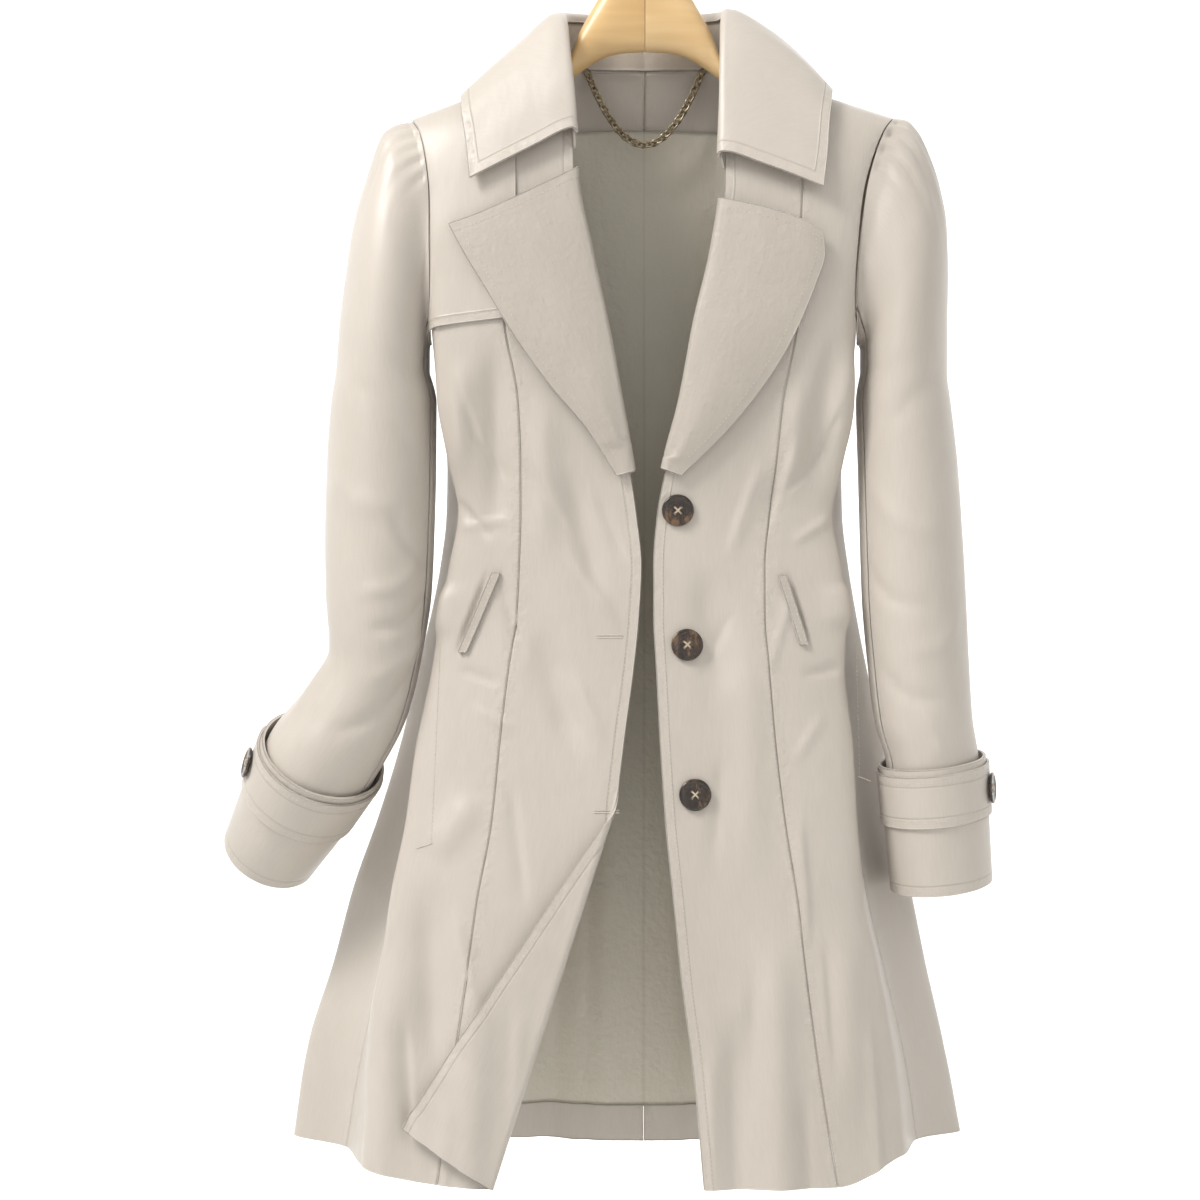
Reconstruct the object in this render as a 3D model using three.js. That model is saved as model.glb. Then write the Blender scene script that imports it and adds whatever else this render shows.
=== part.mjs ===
import * as THREE from 'three';

// A trench coat worn open on a wooden hanger. Millimetres, +Z up, front towards -Y.
// The origin is where the rail bears, inside the top of the hanger's hook.

// Thickness of the cloth and the gap at every seam
const SHELL = 1.6;
const LAYERED = 2.4;
const LINING = 1;
const SEAM = 0.3;

// Heights
const BUST_Z = -310;
const HEM_Z = -1040;
const UNDERARM_Z = -385;
const HEM_BEND_Z = -950;

// Length down the cloth from the shoulder seam: to the bust, underarm and hem
const BUST_V = 170;
const UNDERARM_V = BUST_V + BUST_Z - UNDERARM_Z;
const HEM_V = BUST_V + BUST_Z - HEM_Z;

// Places across one half of the coat, from the front edge round to the centre back
const EDGE = 0;
const PRINCESS = 90;
const SIDE = 150;
const GULLY = 185;
const FLANK = 230;
const BACK_ARM = 260;
const BACK_SIDE = 315;
const NECK_SIDE = 362;
const NECK_BEND = 378;
const NECK_CURVE = 404;
const CENTRE = 442;
const COLUMNS = [
  EDGE, PRINCESS, SIDE, GULLY, FLANK, BACK_ARM, BACK_SIDE, NECK_SIDE, NECK_BEND, NECK_CURVE, CENTRE,
];

// The neck and the shoulder line
const NECK_HALF = 68;
const NECK_Z = -160;
const BACK_NECK_Z = -157;

// Rows down the cloth. Above the bust, drop is the share of the way from shoulder line to bust.
const ROWS = [
  { v: 0, drop: 0 },
  { v: 20, drop: 0.04 },
  { v: 40, drop: 0.13 },
  { v: 75, drop: 0.35 },
  { v: 120, drop: 0.65 },
  { v: 170, drop: 1 },
  { v: 231 },
  { v: 290 },
  { v: 340 },
  { v: 380 },
  { v: 420 },
  { v: 460 },
  { v: 500 },
  { v: 560 },
  { v: 620 },
  { v: 680 },
  { v: 740 },
  { v: 810 },
  { v: 900 },
];
const ROW_V = ROWS.map((row) => row.v);
const DROPS = ROWS.filter((row) => row.drop !== undefined).map((row) => row.drop);

// Distance of each landmark from the middle, by row: edge, princess, side, gully, flank,
// back of the arm, back side
const WIDTHS = {
  R: [
    [68, 108, 186, 186, 186, 186, 120],
    [66, 109, 184, 185, 185, 183, 122],
    [65, 110, 179, 182, 182, 178, 123],
    [58, 112, 173, 178, 179, 172, 124],
    [57, 113, 169, 175, 177, 168, 124],
    [47, 113, 168, 173, 173, 166, 122],
    [34, 110, 166, 170, 170, 163, 120],
    [23, 100, 164, 160, 166, 153, 114],
    [14, 98, 154, 149, 160, 147, 108],
    [8, 98, 148, 145, 161, 146, 106],
    [4, 99, 155, 149, 166, 152, 108],
    [6, 101, 162, 154, 174, 160, 111],
    [10, 107, 168, 160, 184, 168, 116],
    [18, 114, 180, 172, 198, 180, 122],
    [24, 120, 188, 182, 216, 193, 129],
    [25, 131, 200, 196, 237, 207, 137],
    [27, 139, 207, 210, 253, 218, 144],
    [29, 149, 214, 226, 274, 232, 152],
    [33, 161, 221, 238, 285, 240, 160],
  ],
  L: [
    [68, 112, 198, 198, 198, 198, 124],
    [67, 116, 196, 197, 197, 194, 124],
    [66, 120, 190, 193, 193, 187, 124],
    [62, 122, 180, 186, 187, 177, 124],
    [62, 122, 171, 178, 180, 169, 124],
    [55, 120, 166, 172, 172, 165, 122],
    [41, 117, 162, 168, 168, 161, 119],
    [30, 107, 163, 158, 164, 151, 113],
    [17, 102, 155, 149, 160, 147, 107],
    [9, 97, 147, 144, 161, 146, 105],
    [6, 93, 154, 148, 166, 152, 107],
    [6, 93, 158, 152, 173, 159, 110],
    [8, 96, 156, 152, 181, 166, 114],
    [11, 101, 162, 160, 194, 176, 119],
    [15, 108, 165, 166, 204, 184, 125],
    [21, 117, 170, 176, 217, 194, 132],
    [27, 124, 182, 190, 229, 204, 138],
    [36, 133, 193, 206, 244, 216, 145],
    [44, 147, 199, 216, 257, 226, 152],
  ],
};

// Distance in front of (-) or behind (+) the shoulder seam, by row, for all eleven landmarks
const DEPTHS = [
  [-0.15, -0.15, -0.15, 0, 0, 0.15, 0.15, 0.15, 15, 32, 40],
  [-20, -20, -14, -8, 7, 14, 18, 22, 29, 39, 43],
  [-34, -34, -26, -14, 12, 24, 31, 35, 40, 45, 47],
  [-47, -47, -38, -18, 14, 34, 43, 47, 49, 51, 51],
  [-55, -55, -44, -18, 14, 40, 50, 53, 54, 54, 54],
  [-58, -59, -48, -18, 12, 41, 54, 56, 56, 55, 55],
  [-59, -61, -46, -16, 15, 40, 53, 55, 55, 54, 54],
  [-57, -57, -42, -14, 28, 40, 49, 51, 51, 50, 49],
  [-54, -52, -37, -12, 31, 39, 45, 47, 47, 46, 45],
  [-53, -49, -34, -12, 34, 40, 44, 46, 46, 45, 44],
  [-55, -51, -36, -12, 37, 43, 47, 48, 48, 47, 46],
  [-58, -54, -39, -12, 40, 47, 50, 51, 51, 50, 49],
  [-61, -58, -42, -12, 43, 51, 54, 55, 54, 53, 52],
  [-66, -63, -46, -12, 46, 55, 59, 60, 59, 58, 57],
  [-71, -68, -50, -12, 46, 58, 63, 64, 63, 62, 61],
  [-76, -73, -54, -12, 44, 61, 67, 68, 67, 66, 65],
  [-80, -77, -58, -12, 42, 63, 70, 71, 71, 70, 69],
  [-85, -82, -62, -12, 38, 65, 73, 75, 75, 74, 73],
  [-91, -88, -66, -12, 36, 67, 77, 79, 79, 78, 77],
];

// Past the back side landmark the widths are shares of it, but at the neck they follow the neckline
const INNER_SHARE = [0.56, 0.46, 0.31, 0];
const NECKLINE_X = [NECK_HALF, 63, 40, 0];

// Height of the hem at each landmark
const HEM_HEIGHTS = {
  R: [-1043, -1036, -1026, -1022, -1021, -1026, -1030, -1032, -1033, -1034, -1034],
  L: [-1040, -1038, -1018, -1016, -1018, -1024, -1029, -1032, -1033, -1034, -1034],
};

const SHOULDER_TIP = {
  R: { x: 186, z: -204.6 },
  L: { x: 198, z: -201.4 },
};
const SIGN = { R: -1, L: 1 };

// The largest folds: start and end in the front view, half width, and height (a trough is below zero)
const FRONT_FOLDS = {
  R: [
    { x0: -144, z0: -392, x1: -146, z1: -500, width: 9, height: 5 },
    { x0: -119, z0: -376, x1: -116, z1: -545, width: 10, height: -6 },
    { x0: -82, z0: -420, x1: -76, z1: -560, width: 12, height: 5 },
    { x0: -62, z0: -480, x1: -34, z1: -592, width: 9, height: -5 },
    { x0: -88, z0: -605, x1: -50, z1: -715, width: 12, height: -5 },
    { x0: -163, z0: -570, x1: -166, z1: -620, width: 16, height: 4 },
    { x0: -130, z0: -735, x1: -166, z1: -790, width: 12, height: 4 },
    { x0: -172, z0: -800, x1: -164, z1: -960, width: 13, height: -8 },
    { x0: -198, z0: -850, x1: -206, z1: -1040, width: 14, height: 7 },
    { x0: -128, z0: -860, x1: -138, z1: -1040, width: 14, height: 6 },
  ],
  L: [
    { x0: 150, z0: -370, x1: 128, z1: -510, width: 10, height: -6 },
    { x0: 158, z0: -388, x1: 145, z1: -476, width: 9, height: 4 },
    { x0: 122, z0: -405, x1: 107, z1: -515, width: 9, height: 4 },
    { x0: 44, z0: -560, x1: 60, z1: -670, width: 12, height: -4 },
    { x0: 154, z0: -570, x1: 158, z1: -612, width: 16, height: 4 },
    { x0: 80, z0: -590, x1: 80, z1: -830, width: 14, height: 4 },
    { x0: 98, z0: -830, x1: 104, z1: -1040, width: 14, height: 7 },
    { x0: 70, z0: -900, x1: 68, z1: -1040, width: 12, height: -6 },
    { x0: 150, z0: -820, x1: 160, z1: -1000, width: 15, height: 5 },
  ],
};
const BACK_FOLDS = {
  R: [
    { x0: -60, z0: -640, x1: -78, z1: -1040, width: 20, height: 7 },
    { x0: -105, z0: -700, x1: -128, z1: -1040, width: 16, height: -6 },
    { x0: -160, z0: -720, x1: -190, z1: -1040, width: 20, height: 7 },
    { x0: -120, z0: -380, x1: -60, z1: -500, width: 12, height: -4 },
    { x0: -70, z0: -470, x1: -140, z1: -545, width: 10, height: 3 },
  ],
  L: [
    { x0: 52, z0: -660, x1: 66, z1: -1040, width: 18, height: 6 },
    { x0: 92, z0: -690, x1: 116, z1: -1040, width: 16, height: -6 },
    { x0: 148, z0: -720, x1: 178, z1: -1040, width: 20, height: 7 },
    { x0: 118, z0: -390, x1: 66, z1: -490, width: 12, height: -4 },
    { x0: 60, z0: -480, x1: 132, z1: -550, width: 10, height: 3 },
  ],
};

// The right front's lower corner, turned out along a line
const TURN_TOP = { x: -27, z: -753 };
const TURN_FOOT = { x: -109, z: -1007 };
const TURN_RADIUS = 3;

// Buttons on the left front, and their size
const FRONT_BUTTONS = [
  { x: 25, z: -517 },
  { x: 32, z: -622 },
  { x: 38, z: -738 },
];
const BUTTON = { radius: 12.5, thickness: 3, holeRadius: 1.3, holeSpread: 2.6 };

// General helpers

function lerp(a, b, t) {
  return a + (b - a) * t;
}

function clamp01(t) {
  return Math.min(1, Math.max(0, t));
}

function smooth(t) {
  const c = clamp01(t);
  return c * c * (3 - 2 * c);
}

function radians(degrees) {
  return (degrees * Math.PI) / 180;
}

// Smooth curve through values at uneven knots, with no overshoot. value(k) gives the kth.
function spline(knots, value, t) {
  const last = knots.length - 1;
  const at = Math.min(knots[last], Math.max(knots[0], t));
  let i = 0;
  while (i < last - 1 && at > knots[i + 1]) i += 1;
  const near = [i - 1, i, i + 1, i + 2].map((k) => (k < 0 || k > last ? null : value(k)));
  const rise = (k) => (near[k + 1] - near[k]) / (knots[i + k] - knots[i + k - 1]);
  const slope = (k) => {
    if (near[k - 1] === null) return rise(k);
    if (near[k + 1] === null) return rise(k - 1);
    const left = rise(k - 1);
    const right = rise(k);
    if (left * right <= 0) return 0;
    const before = knots[i + k - 1] - knots[i + k - 2];
    const after = knots[i + k] - knots[i + k - 1];
    const leftWeight = before + 2 * after;
    const rightWeight = 2 * before + after;
    return (leftWeight + rightWeight) / (leftWeight / left + rightWeight / right);
  };
  const h = knots[i + 1] - knots[i];
  const f = (at - knots[i]) / h;
  const f2 = f * f;
  const f3 = f2 * f;
  return (
    near[1] * (2 * f3 - 3 * f2 + 1) +
    slope(1) * h * (f3 - 2 * f2 + f) +
    near[2] * (3 * f2 - 2 * f3) +
    slope(2) * h * (f3 - f2)
  );
}

function splinePoint(knots, point, t) {
  return new THREE.Vector3(
    spline(knots, (k) => point(k).x, t),
    spline(knots, (k) => point(k).y, t),
    spline(knots, (k) => point(k).z, t),
  );
}

function steps(from, to, count) {
  return Array.from({ length: count + 1 }, (_, i) => lerp(from, to, i / count));
}

// Normal of a surface by small steps in both directions
function surfaceNormal(surface, u, v, flip, du, dv) {
  const across = surface(u + du, v).sub(surface(u - du, v));
  const down = surface(u, v + dv).sub(surface(u, v - dv));
  const normal = across.cross(down).normalize();
  return flip ? normal.negate() : normal;
}

function makeMesh(name, positions, indices, material) {
  const geometry = new THREE.BufferGeometry();
  geometry.setAttribute('position', new THREE.Float32BufferAttribute(positions, 3));
  geometry.setIndex(indices);
  geometry.computeVertexNormals();
  const mesh = new THREE.Mesh(geometry, material);
  mesh.name = name;
  return mesh;
}

function signedVolume(positions, indices) {
  const a = new THREE.Vector3();
  const b = new THREE.Vector3();
  const c = new THREE.Vector3();
  let volume = 0;
  for (let i = 0; i < indices.length; i += 3) {
    a.fromArray(positions, indices[i] * 3);
    b.fromArray(positions, indices[i + 1] * 3);
    c.fromArray(positions, indices[i + 2] * 3);
    volume += a.dot(b.cross(c)) / 6;
  }
  return volume;
}

function quad(indices, a, b, c, d) {
  indices.push(a, b, c, a, c, d);
}

// Closed wall of cloth between two grids of points. A ring joins its last column to its first.
function closedWall(name, outer, inner, ring, material) {
  const rows = outer.length;
  const columns = outer[0].length;
  const positions = [];
  for (const grid of [outer, inner]) {
    for (const row of grid) row.forEach((p) => positions.push(p.x, p.y, p.z));
  }
  const size = rows * columns;
  const at = (j, i) => j * columns + (i % columns);
  const indices = [];
  const spans = ring ? columns : columns - 1;
  for (let j = 0; j < rows - 1; j += 1) {
    for (let i = 0; i < spans; i += 1) {
      quad(indices, at(j, i), at(j + 1, i), at(j + 1, i + 1), at(j, i + 1));
      quad(indices, size + at(j, i), size + at(j, i + 1), size + at(j + 1, i + 1), size + at(j + 1, i));
    }
  }
  for (let i = 0; i < spans; i += 1) {
    quad(indices, at(0, i), at(0, i + 1), size + at(0, i + 1), size + at(0, i));
    quad(indices, at(rows - 1, i + 1), at(rows - 1, i), size + at(rows - 1, i), size + at(rows - 1, i + 1));
  }
  if (!ring) {
    const end = columns - 1;
    for (let j = 0; j < rows - 1; j += 1) {
      quad(indices, at(j + 1, 0), at(j, 0), size + at(j, 0), size + at(j + 1, 0));
      quad(indices, at(j, end), at(j + 1, end), size + at(j + 1, end), size + at(j, end));
    }
  }
  if (signedVolume(positions, indices) < 0) indices.reverse();
  return makeMesh(name, positions, indices, material);
}

// Wall whose outer face is a surface(u, v), u across and v down. options.cut changes a rim's normal,
// and options.normalAt gives the place across where it is taken.
function cloth(name, surface, us, vs, thickness, material, options = {}) {
  const du = options.du ?? 0.002;
  const dv = options.dv ?? 0.002;
  const lift = options.lift ?? 0;
  const outer = [];
  const inner = [];
  for (const v of vs) {
    const outerRow = [];
    const innerRow = [];
    for (const u of us) {
      const point = surface(u, v);
      const normalU = options.normalAt ? options.normalAt(u) : u;
      let normal = surfaceNormal(surface, normalU, v, options.flip, du, dv);
      if (options.cut) normal = options.cut(normal, u, v);
      outerRow.push(point.clone().addScaledVector(normal, lift));
      innerRow.push(point.clone().addScaledVector(normal, lift - thickness));
    }
    outer.push(outerRow);
    inner.push(innerRow);
  }
  return closedWall(name, outer, inner, options.ring, material);
}

// The body of the coat

function shoulderHeight(side, x) {
  const tip = SHOULDER_TIP[side];
  const across = Math.abs(x);
  if (across < NECK_HALF) return lerp(BACK_NECK_Z, NECK_Z, (across / NECK_HALF) ** 2);
  return NECK_Z + ((across - NECK_HALF) * (tip.z - NECK_Z)) / (tip.x - NECK_HALF);
}

function rowWidths(side, index) {
  const widths = WIDTHS[side][index];
  const inner = index === 0 ? NECKLINE_X : INNER_SHARE.map((share) => share * widths[6]);
  return widths.concat(inner).map((x) => SIGN[side] * x);
}

const ROW_WIDTHS = {
  R: ROWS.map((_, index) => rowWidths('R', index)),
  L: ROWS.map((_, index) => rowWidths('L', index)),
};

function rowHeight(side, index, x) {
  const row = ROWS[index];
  if (row.drop === undefined) return BUST_Z - (row.v - BUST_V);
  return lerp(shoulderHeight(side, x), BUST_Z, row.drop);
}

function hemHeight(side, s, z) {
  if (z > HEM_BEND_Z) return z;
  const hem = spline(COLUMNS, (k) => HEM_HEIGHTS[side][k], s);
  return z + ((hem - HEM_Z) * (HEM_BEND_Z - z)) / (HEM_BEND_Z - HEM_Z);
}

// Point of the unfolded body: s across from the front edge to the centre back, v down
function smoothBody(side, s, v) {
  const width = (row) => spline(COLUMNS, (k) => ROW_WIDTHS[side][row][k], s);
  const depth = (row) => spline(COLUMNS, (k) => DEPTHS[row][k], s);
  const x = spline(ROW_V, width, v);
  const z = spline(ROW_V, (row) => rowHeight(side, row, width(row)), v);
  return new THREE.Vector3(x, spline(ROW_V, depth, v), hemHeight(side, s, z));
}

// A fold fades in and out over this share of its length
const FOLD_FADE = 0.35;

function foldHeight(fold, x, z) {
  const dx = fold.x1 - fold.x0;
  const dz = fold.z1 - fold.z0;
  const length2 = dx * dx + dz * dz;
  const along = ((x - fold.x0) * dx + (z - fold.z0) * dz) / length2;
  const length = Math.sqrt(length2);
  const across = Math.abs((x - fold.x0) * dz - (z - fold.z0) * dx) / length;
  const reachesHem = fold.z1 <= HEM_Z;
  const start = smooth(along / FOLD_FADE);
  const end = reachesHem ? 1 : smooth((1 - along) / FOLD_FADE);
  return fold.height * start * end * Math.exp(-((across / fold.width) ** 2));
}

// Folds fade out towards the side seam, the front edge and the centre back, in steps across
const FRONT_FADE = { from: 4, to: 2, over: 22 };
const BACK_FADE = { from: 4, over: 40, centreOver: 30 };

function foldWeight(s) {
  if (s <= GULLY) {
    const start = smooth((s - FRONT_FADE.from) / FRONT_FADE.over);
    return start * smooth((GULLY - FRONT_FADE.to - s) / FRONT_FADE.over);
  }
  return smooth((s - GULLY - BACK_FADE.from) / BACK_FADE.over) * smooth((CENTRE - s) / BACK_FADE.centreOver);
}

function body(side, s, v) {
  const point = smoothBody(side, s, v);
  const folds = s <= GULLY ? FRONT_FOLDS[side] : BACK_FOLDS[side];
  const weight = foldWeight(s);
  if (weight === 0) return point;
  const height = folds.reduce((sum, fold) => sum + foldHeight(fold, point.x, point.z), 0);
  const normal = surfaceNormal((a, b) => smoothBody(side, a, b), s, v, side === 'L', 0.5, 0.5);
  return point.addScaledVector(normal, height * weight);
}

// Place across the front for a given x, by halving
function acrossFront(side, x, v, base) {
  let low = EDGE;
  let high = GULLY;
  for (let i = 0; i < 18; i += 1) {
    const middle = (low + high) / 2;
    const beyond = Math.abs(base(side, middle, v).x) > Math.abs(x);
    if (beyond && middle < SIDE + 12) high = middle;
    else if (middle >= SIDE + 12) high = middle;
    else low = middle;
  }
  return (low + high) / 2;
}

// Depth of the front at a place in the front view
function frontDepth(side, x, z, base = body) {
  const sided = SIGN[side] * Math.max(SIGN[side] * x, 0);
  let v = BUST_V + BUST_Z - z;
  if (z > BUST_Z) {
    const drop = (shoulderHeight(side, sided) - z) / (shoulderHeight(side, sided) - BUST_Z);
    v = spline(DROPS, (k) => ROW_V[k], drop);
  }
  v = Math.min(HEM_V, Math.max(0, v));
  const edge = base(side, EDGE, v);
  if (Math.abs(sided) <= Math.abs(edge.x) || SIGN[side] * edge.x < 0) return edge.y;
  return base(side, acrossFront(side, sided, v, base), v).y;
}

// No step across counts as narrower than this, in mm
const LEAST_STEP = 0.2;

// Share of a seam's half gap, as a step across
function halfSeam(side, s, v) {
  const width = body(side, s + 0.5, v).distanceTo(body(side, s - 0.5, v));
  return SEAM / 2 / Math.max(width, LEAST_STEP);
}

// The armhole: above the bust it runs down the side landmark, then round to the underarm
function armholeReach(v) {
  if (v <= BUST_V) return 0;
  if (v >= UNDERARM_V) return 1;
  const q = (v - BUST_V) / (UNDERARM_V - BUST_V);
  return 1 - Math.sqrt(1 - q * q);
}

function frontArmEdge(v) {
  return lerp(SIDE, GULLY, armholeReach(v));
}

function backArmEdge(v) {
  return lerp(BACK_ARM, GULLY, armholeReach(v));
}

// Panels of the body

const PANEL_ROWS = [
  0, 9, 20, 40, 68, 100, 134, 170, 198, 220, 236, 245, 275, 312, 348, 382, 416, 452, 492, 536, 584,
  632, 684, 740, 796, 850, 900,
];

function seamedPanel(name, side, from, to, us, thickness, material, extra = {}) {
  const surface = (u, v) => {
    const a = from(v);
    const b = to(v);
    return body(side, lerp(a, b, u), Math.max(0, Math.min(HEM_V, v)));
  };
  // At the shoulder the rim is cut upright, and at the centre back square to the middle
  const cut = (normal, u, v) => {
    const result = normal.clone();
    if (v === 0) result.y = 0;
    if (extra.centre && u === 1) result.x = 0;
    return result.divideScalar(result.lengthSq());
  };
  return cloth(name, surface, us, PANEL_ROWS, thickness, material, {
    flip: side === 'L',
    du: 0.004,
    dv: 0.5,
    cut,
  });
}

const SIDE_COLUMNS = [0, 0.2, 0.4, 0.58, 0.73, 0.87, 1];

function frontSide(side, material) {
  return seamedPanel(
    `front_side_${side}`,
    side,
    (v) => PRINCESS + halfSeam(side, PRINCESS, v),
    (v) => frontArmEdge(v) - (v >= UNDERARM_V ? halfSeam(side, GULLY, v) : 0),
    SIDE_COLUMNS,
    SHELL,
    material,
  );
}

const BACK_SPANS = 9;

function backPanel(side, material) {
  return seamedPanel(
    `back_${side}`,
    side,
    (v) => backArmEdge(v) + (v >= UNDERARM_V ? halfSeam(side, GULLY, v) : 0),
    (v) => CENTRE - halfSeam(side, CENTRE - 1, v),
    steps(0, 1, BACK_SPANS),
    SHELL,
    material,
    { centre: true },
  );
}

function frontCentreL(material) {
  return seamedPanel(
    'front_centre_L',
    'L',
    () => EDGE,
    (v) => PRINCESS - halfSeam('L', PRINCESS, v),
    steps(0, 1, 6),
    SHELL,
    material,
  );
}

// The right front's centre panel. Its columns gather at the edge, where the corner is turned out.
const TURN_DX = TURN_FOOT.x - TURN_TOP.x;
const TURN_DZ = TURN_FOOT.z - TURN_TOP.z;
const TURN_LENGTH = Math.hypot(TURN_DX, TURN_DZ);
const TURN_DIRECTION = { x: TURN_DX / TURN_LENGTH, z: TURN_DZ / TURN_LENGTH };
// Square to the turning line, towards the front edge
const TURN_ACROSS = { x: -TURN_DIRECTION.z, z: TURN_DIRECTION.x };

// Distance past the turning line, towards the front edge
function pastTurn(point) {
  const dx = point.x - TURN_TOP.x;
  const dz = point.z - TURN_TOP.z;
  return dx * TURN_ACROSS.x + dz * TURN_ACROSS.z + TURN_RADIUS;
}

// The turned corner springs forward a little beyond the fold
const TURN_SPRING = { rise: 2.5, over: 40 };

function turnedOut(point) {
  const past = pastTurn(point);
  if (past <= 0) return point;
  const foot = {
    x: point.x - TURN_ACROSS.x * past,
    z: point.z - TURN_ACROSS.z * past,
  };
  const arc = Math.PI * TURN_RADIUS;
  const angle = Math.min(past, arc) / TURN_RADIUS;
  const across = TURN_RADIUS * Math.sin(angle) - Math.max(0, past - arc);
  const forward = TURN_RADIUS * (1 - Math.cos(angle));
  const x = foot.x + TURN_ACROSS.x * across;
  const z = foot.z + TURN_ACROSS.z * across;
  const flat = across > 0 ? frontDepth('R', foot.x, foot.z) : frontDepth('R', x, z);
  const beyond = Math.max(0, past - arc);
  return new THREE.Vector3(x, flat - forward - TURN_SPRING.rise * smooth(beyond / TURN_SPRING.over), z);
}

// Step across at which the turning line is met on a row, at least a little past the edge
const TURN_LEAST = 12;

// Columns of the right front: the first three spans lie flat, the next four go round the fold
const TURN_COLUMNS = { arc: 3, turn: 7, last: 12 };

// Where the columns beyond the turn lie when they are not moved by it
function turnedColumn(index) {
  return lerp(TURN_LEAST, PRINCESS, (index - TURN_COLUMNS.turn) / (TURN_COLUMNS.last - TURN_COLUMNS.turn));
}

function turnColumn(v) {
  const least = TURN_LEAST;
  if (pastTurn(body('R', least, v)) < 0) return least;
  let low = least;
  let high = PRINCESS;
  for (let i = 0; i < 16; i += 1) {
    const middle = (low + high) / 2;
    if (pastTurn(body('R', middle, v)) > 0) low = middle;
    else high = middle;
  }
  return Math.min(low, PRINCESS - 6);
}

// The fold itself takes a little over its own arc, but leaves the edge some width of its own
const ARC_SHARE = { over: 1.05, least: 0.35 };

function arcColumn(v, turn) {
  const width = body('R', turn, v).distanceTo(body('R', turn - 1, v));
  const arc = (Math.PI * TURN_RADIUS) / Math.max(width, LEAST_STEP);
  return Math.max(turn - arc * ARC_SHARE.over, turn * ARC_SHARE.least);
}

function frontCentreR(material) {
  const turns = new Map(PANEL_ROWS.map((v) => [v, turnColumn(v)]));
  const columnAt = (u, v) => {
    const turn = turns.get(v) ?? turnColumn(v);
    const arc = arcColumn(v, turn);
    const end = PRINCESS - halfSeam('R', PRINCESS, v);
    const { arc: first, turn: second, last } = TURN_COLUMNS;
    if (u <= first) return lerp(EDGE, arc, u / first);
    if (u <= second) return lerp(arc, turn, (u - first) / (second - first));
    return lerp(turn, end, (u - second) / (last - second));
  };
  // The grid's own normals would smear over the turn, so they are taken on the body, then turned
  const outer = [];
  const inner = [];
  for (const v of PANEL_ROWS) {
    const outerRow = [];
    const innerRow = [];
    for (let u = 0; u <= TURN_COLUMNS.last; u += 1) {
      const s = columnAt(u, v);
      const flatSurface = (a, b) => turnedOut(body('R', a, Math.max(0, Math.min(HEM_V, b))));
      const point = flatSurface(s, v);
      const normal = surfaceNormal(flatSurface, s, v, false, 0.4, 0.4);
      if (v === 0) {
        normal.y = 0;
        normal.divideScalar(normal.lengthSq());
      }
      outerRow.push(point);
      innerRow.push(point.clone().addScaledVector(normal, -SHELL));
    }
    outer.push(outerRow);
    inner.push(innerRow);
  }
  return closedWall('front_centre_R', outer, inner, false, material);
}

// Lining of the back, on the inside, where the open front shows it. It has the back's own columns.
const LINING_ROWS = [68, 100, 170, 198, 245, 275, 312, 382, 452, 492, 536, 584, 632, 684, 740, 796, 850];
const LINING_FOOT_V = 868;
const LINING_CLEAR = 2.6;

function backLining(material) {
  const first = 3;
  const surface = (u, v) => {
    const side = u < 0 ? 'R' : 'L';
    const s = lerp(backArmEdge(v), CENTRE, 1 - Math.abs(u) / BACK_SPANS);
    return body(side, s, v);
  };
  const half = steps(BACK_SPANS - first, 1, BACK_SPANS - first - 1);
  const us = [...half.map((u) => -u), 0, ...half.reverse()];
  return cloth('lining_back', surface, us, [...LINING_ROWS, LINING_FOOT_V], LINING, material, {
    du: 0.05,
    dv: 0.5,
    lift: -SHELL - LINING_CLEAR,
    cut: (normal, u) => (u === 0 ? normal.setX(0).normalize() : normal),
  });
}

// Pieces laid on the front

// Storm flap of the right front, on the panels' own columns and rows, its lower edge free
const FLAP_ROWS = [9, 20, 40, 68, 100, 134, 170, 198, 220, 236];
const FLAP_FOOT = { inner: 0.45, outer: 1 };

function stormFlap(material) {
  const innerColumn = turnedColumn(11);
  const last = FLAP_ROWS.length - 1;
  const place = (u, v) => {
    const s = u < 0 ? lerp(PRINCESS, innerColumn, -u) : lerp(PRINCESS, frontArmEdge(v), u);
    return body('R', s, v);
  };
  const surface = (u, j) => {
    const row = Math.min(last - 1, Math.max(0, Math.floor(j)));
    const foot = lerp(FLAP_FOOT.inner, FLAP_FOOT.outer, clamp01(u));
    const share = row === last - 1 ? (j - row) * foot : j - row;
    return place(u, FLAP_ROWS[row]).lerp(place(u, FLAP_ROWS[row + 1]), share);
  };
  const us = [-1, ...SIDE_COLUMNS.slice(0, -1), 0.97];
  return cloth('storm_flap', surface, us, FLAP_ROWS.map((_, j) => j), SHELL, material, {
    lift: SEAM + SHELL + 0.1,
    du: 0.02,
    dv: 0.05,
  });
}

// Slanted welts at the waist, seen from the front
const WELTS = {
  R: { x0: -117, z0: -566, x1: -143, z1: -628 },
  L: { x0: 106, z0: -568, x1: 123, z1: -622 },
};
const WELT_WIDTH = 6.5;
const WELT_CLEAR = 0.3;

function pocketWelt(side, material) {
  const { x0, z0, x1, z1 } = WELTS[side];
  const surface = (u, v) => {
    const x = lerp(x0, x1, v) + SIGN[side] * u * WELT_WIDTH;
    const z = lerp(z0, z1, v);
    return new THREE.Vector3(x, frontDepth(side, x, z), z);
  };
  return cloth(`pocket_welt_${side}`, surface, [-0.5, 0, 0.5], steps(0, 1, 6), LAYERED, material, {
    flip: side === 'L',
    lift: SEAM + LAYERED + WELT_CLEAR,
    du: 0.1,
    dv: 0.02,
  });
}

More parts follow.
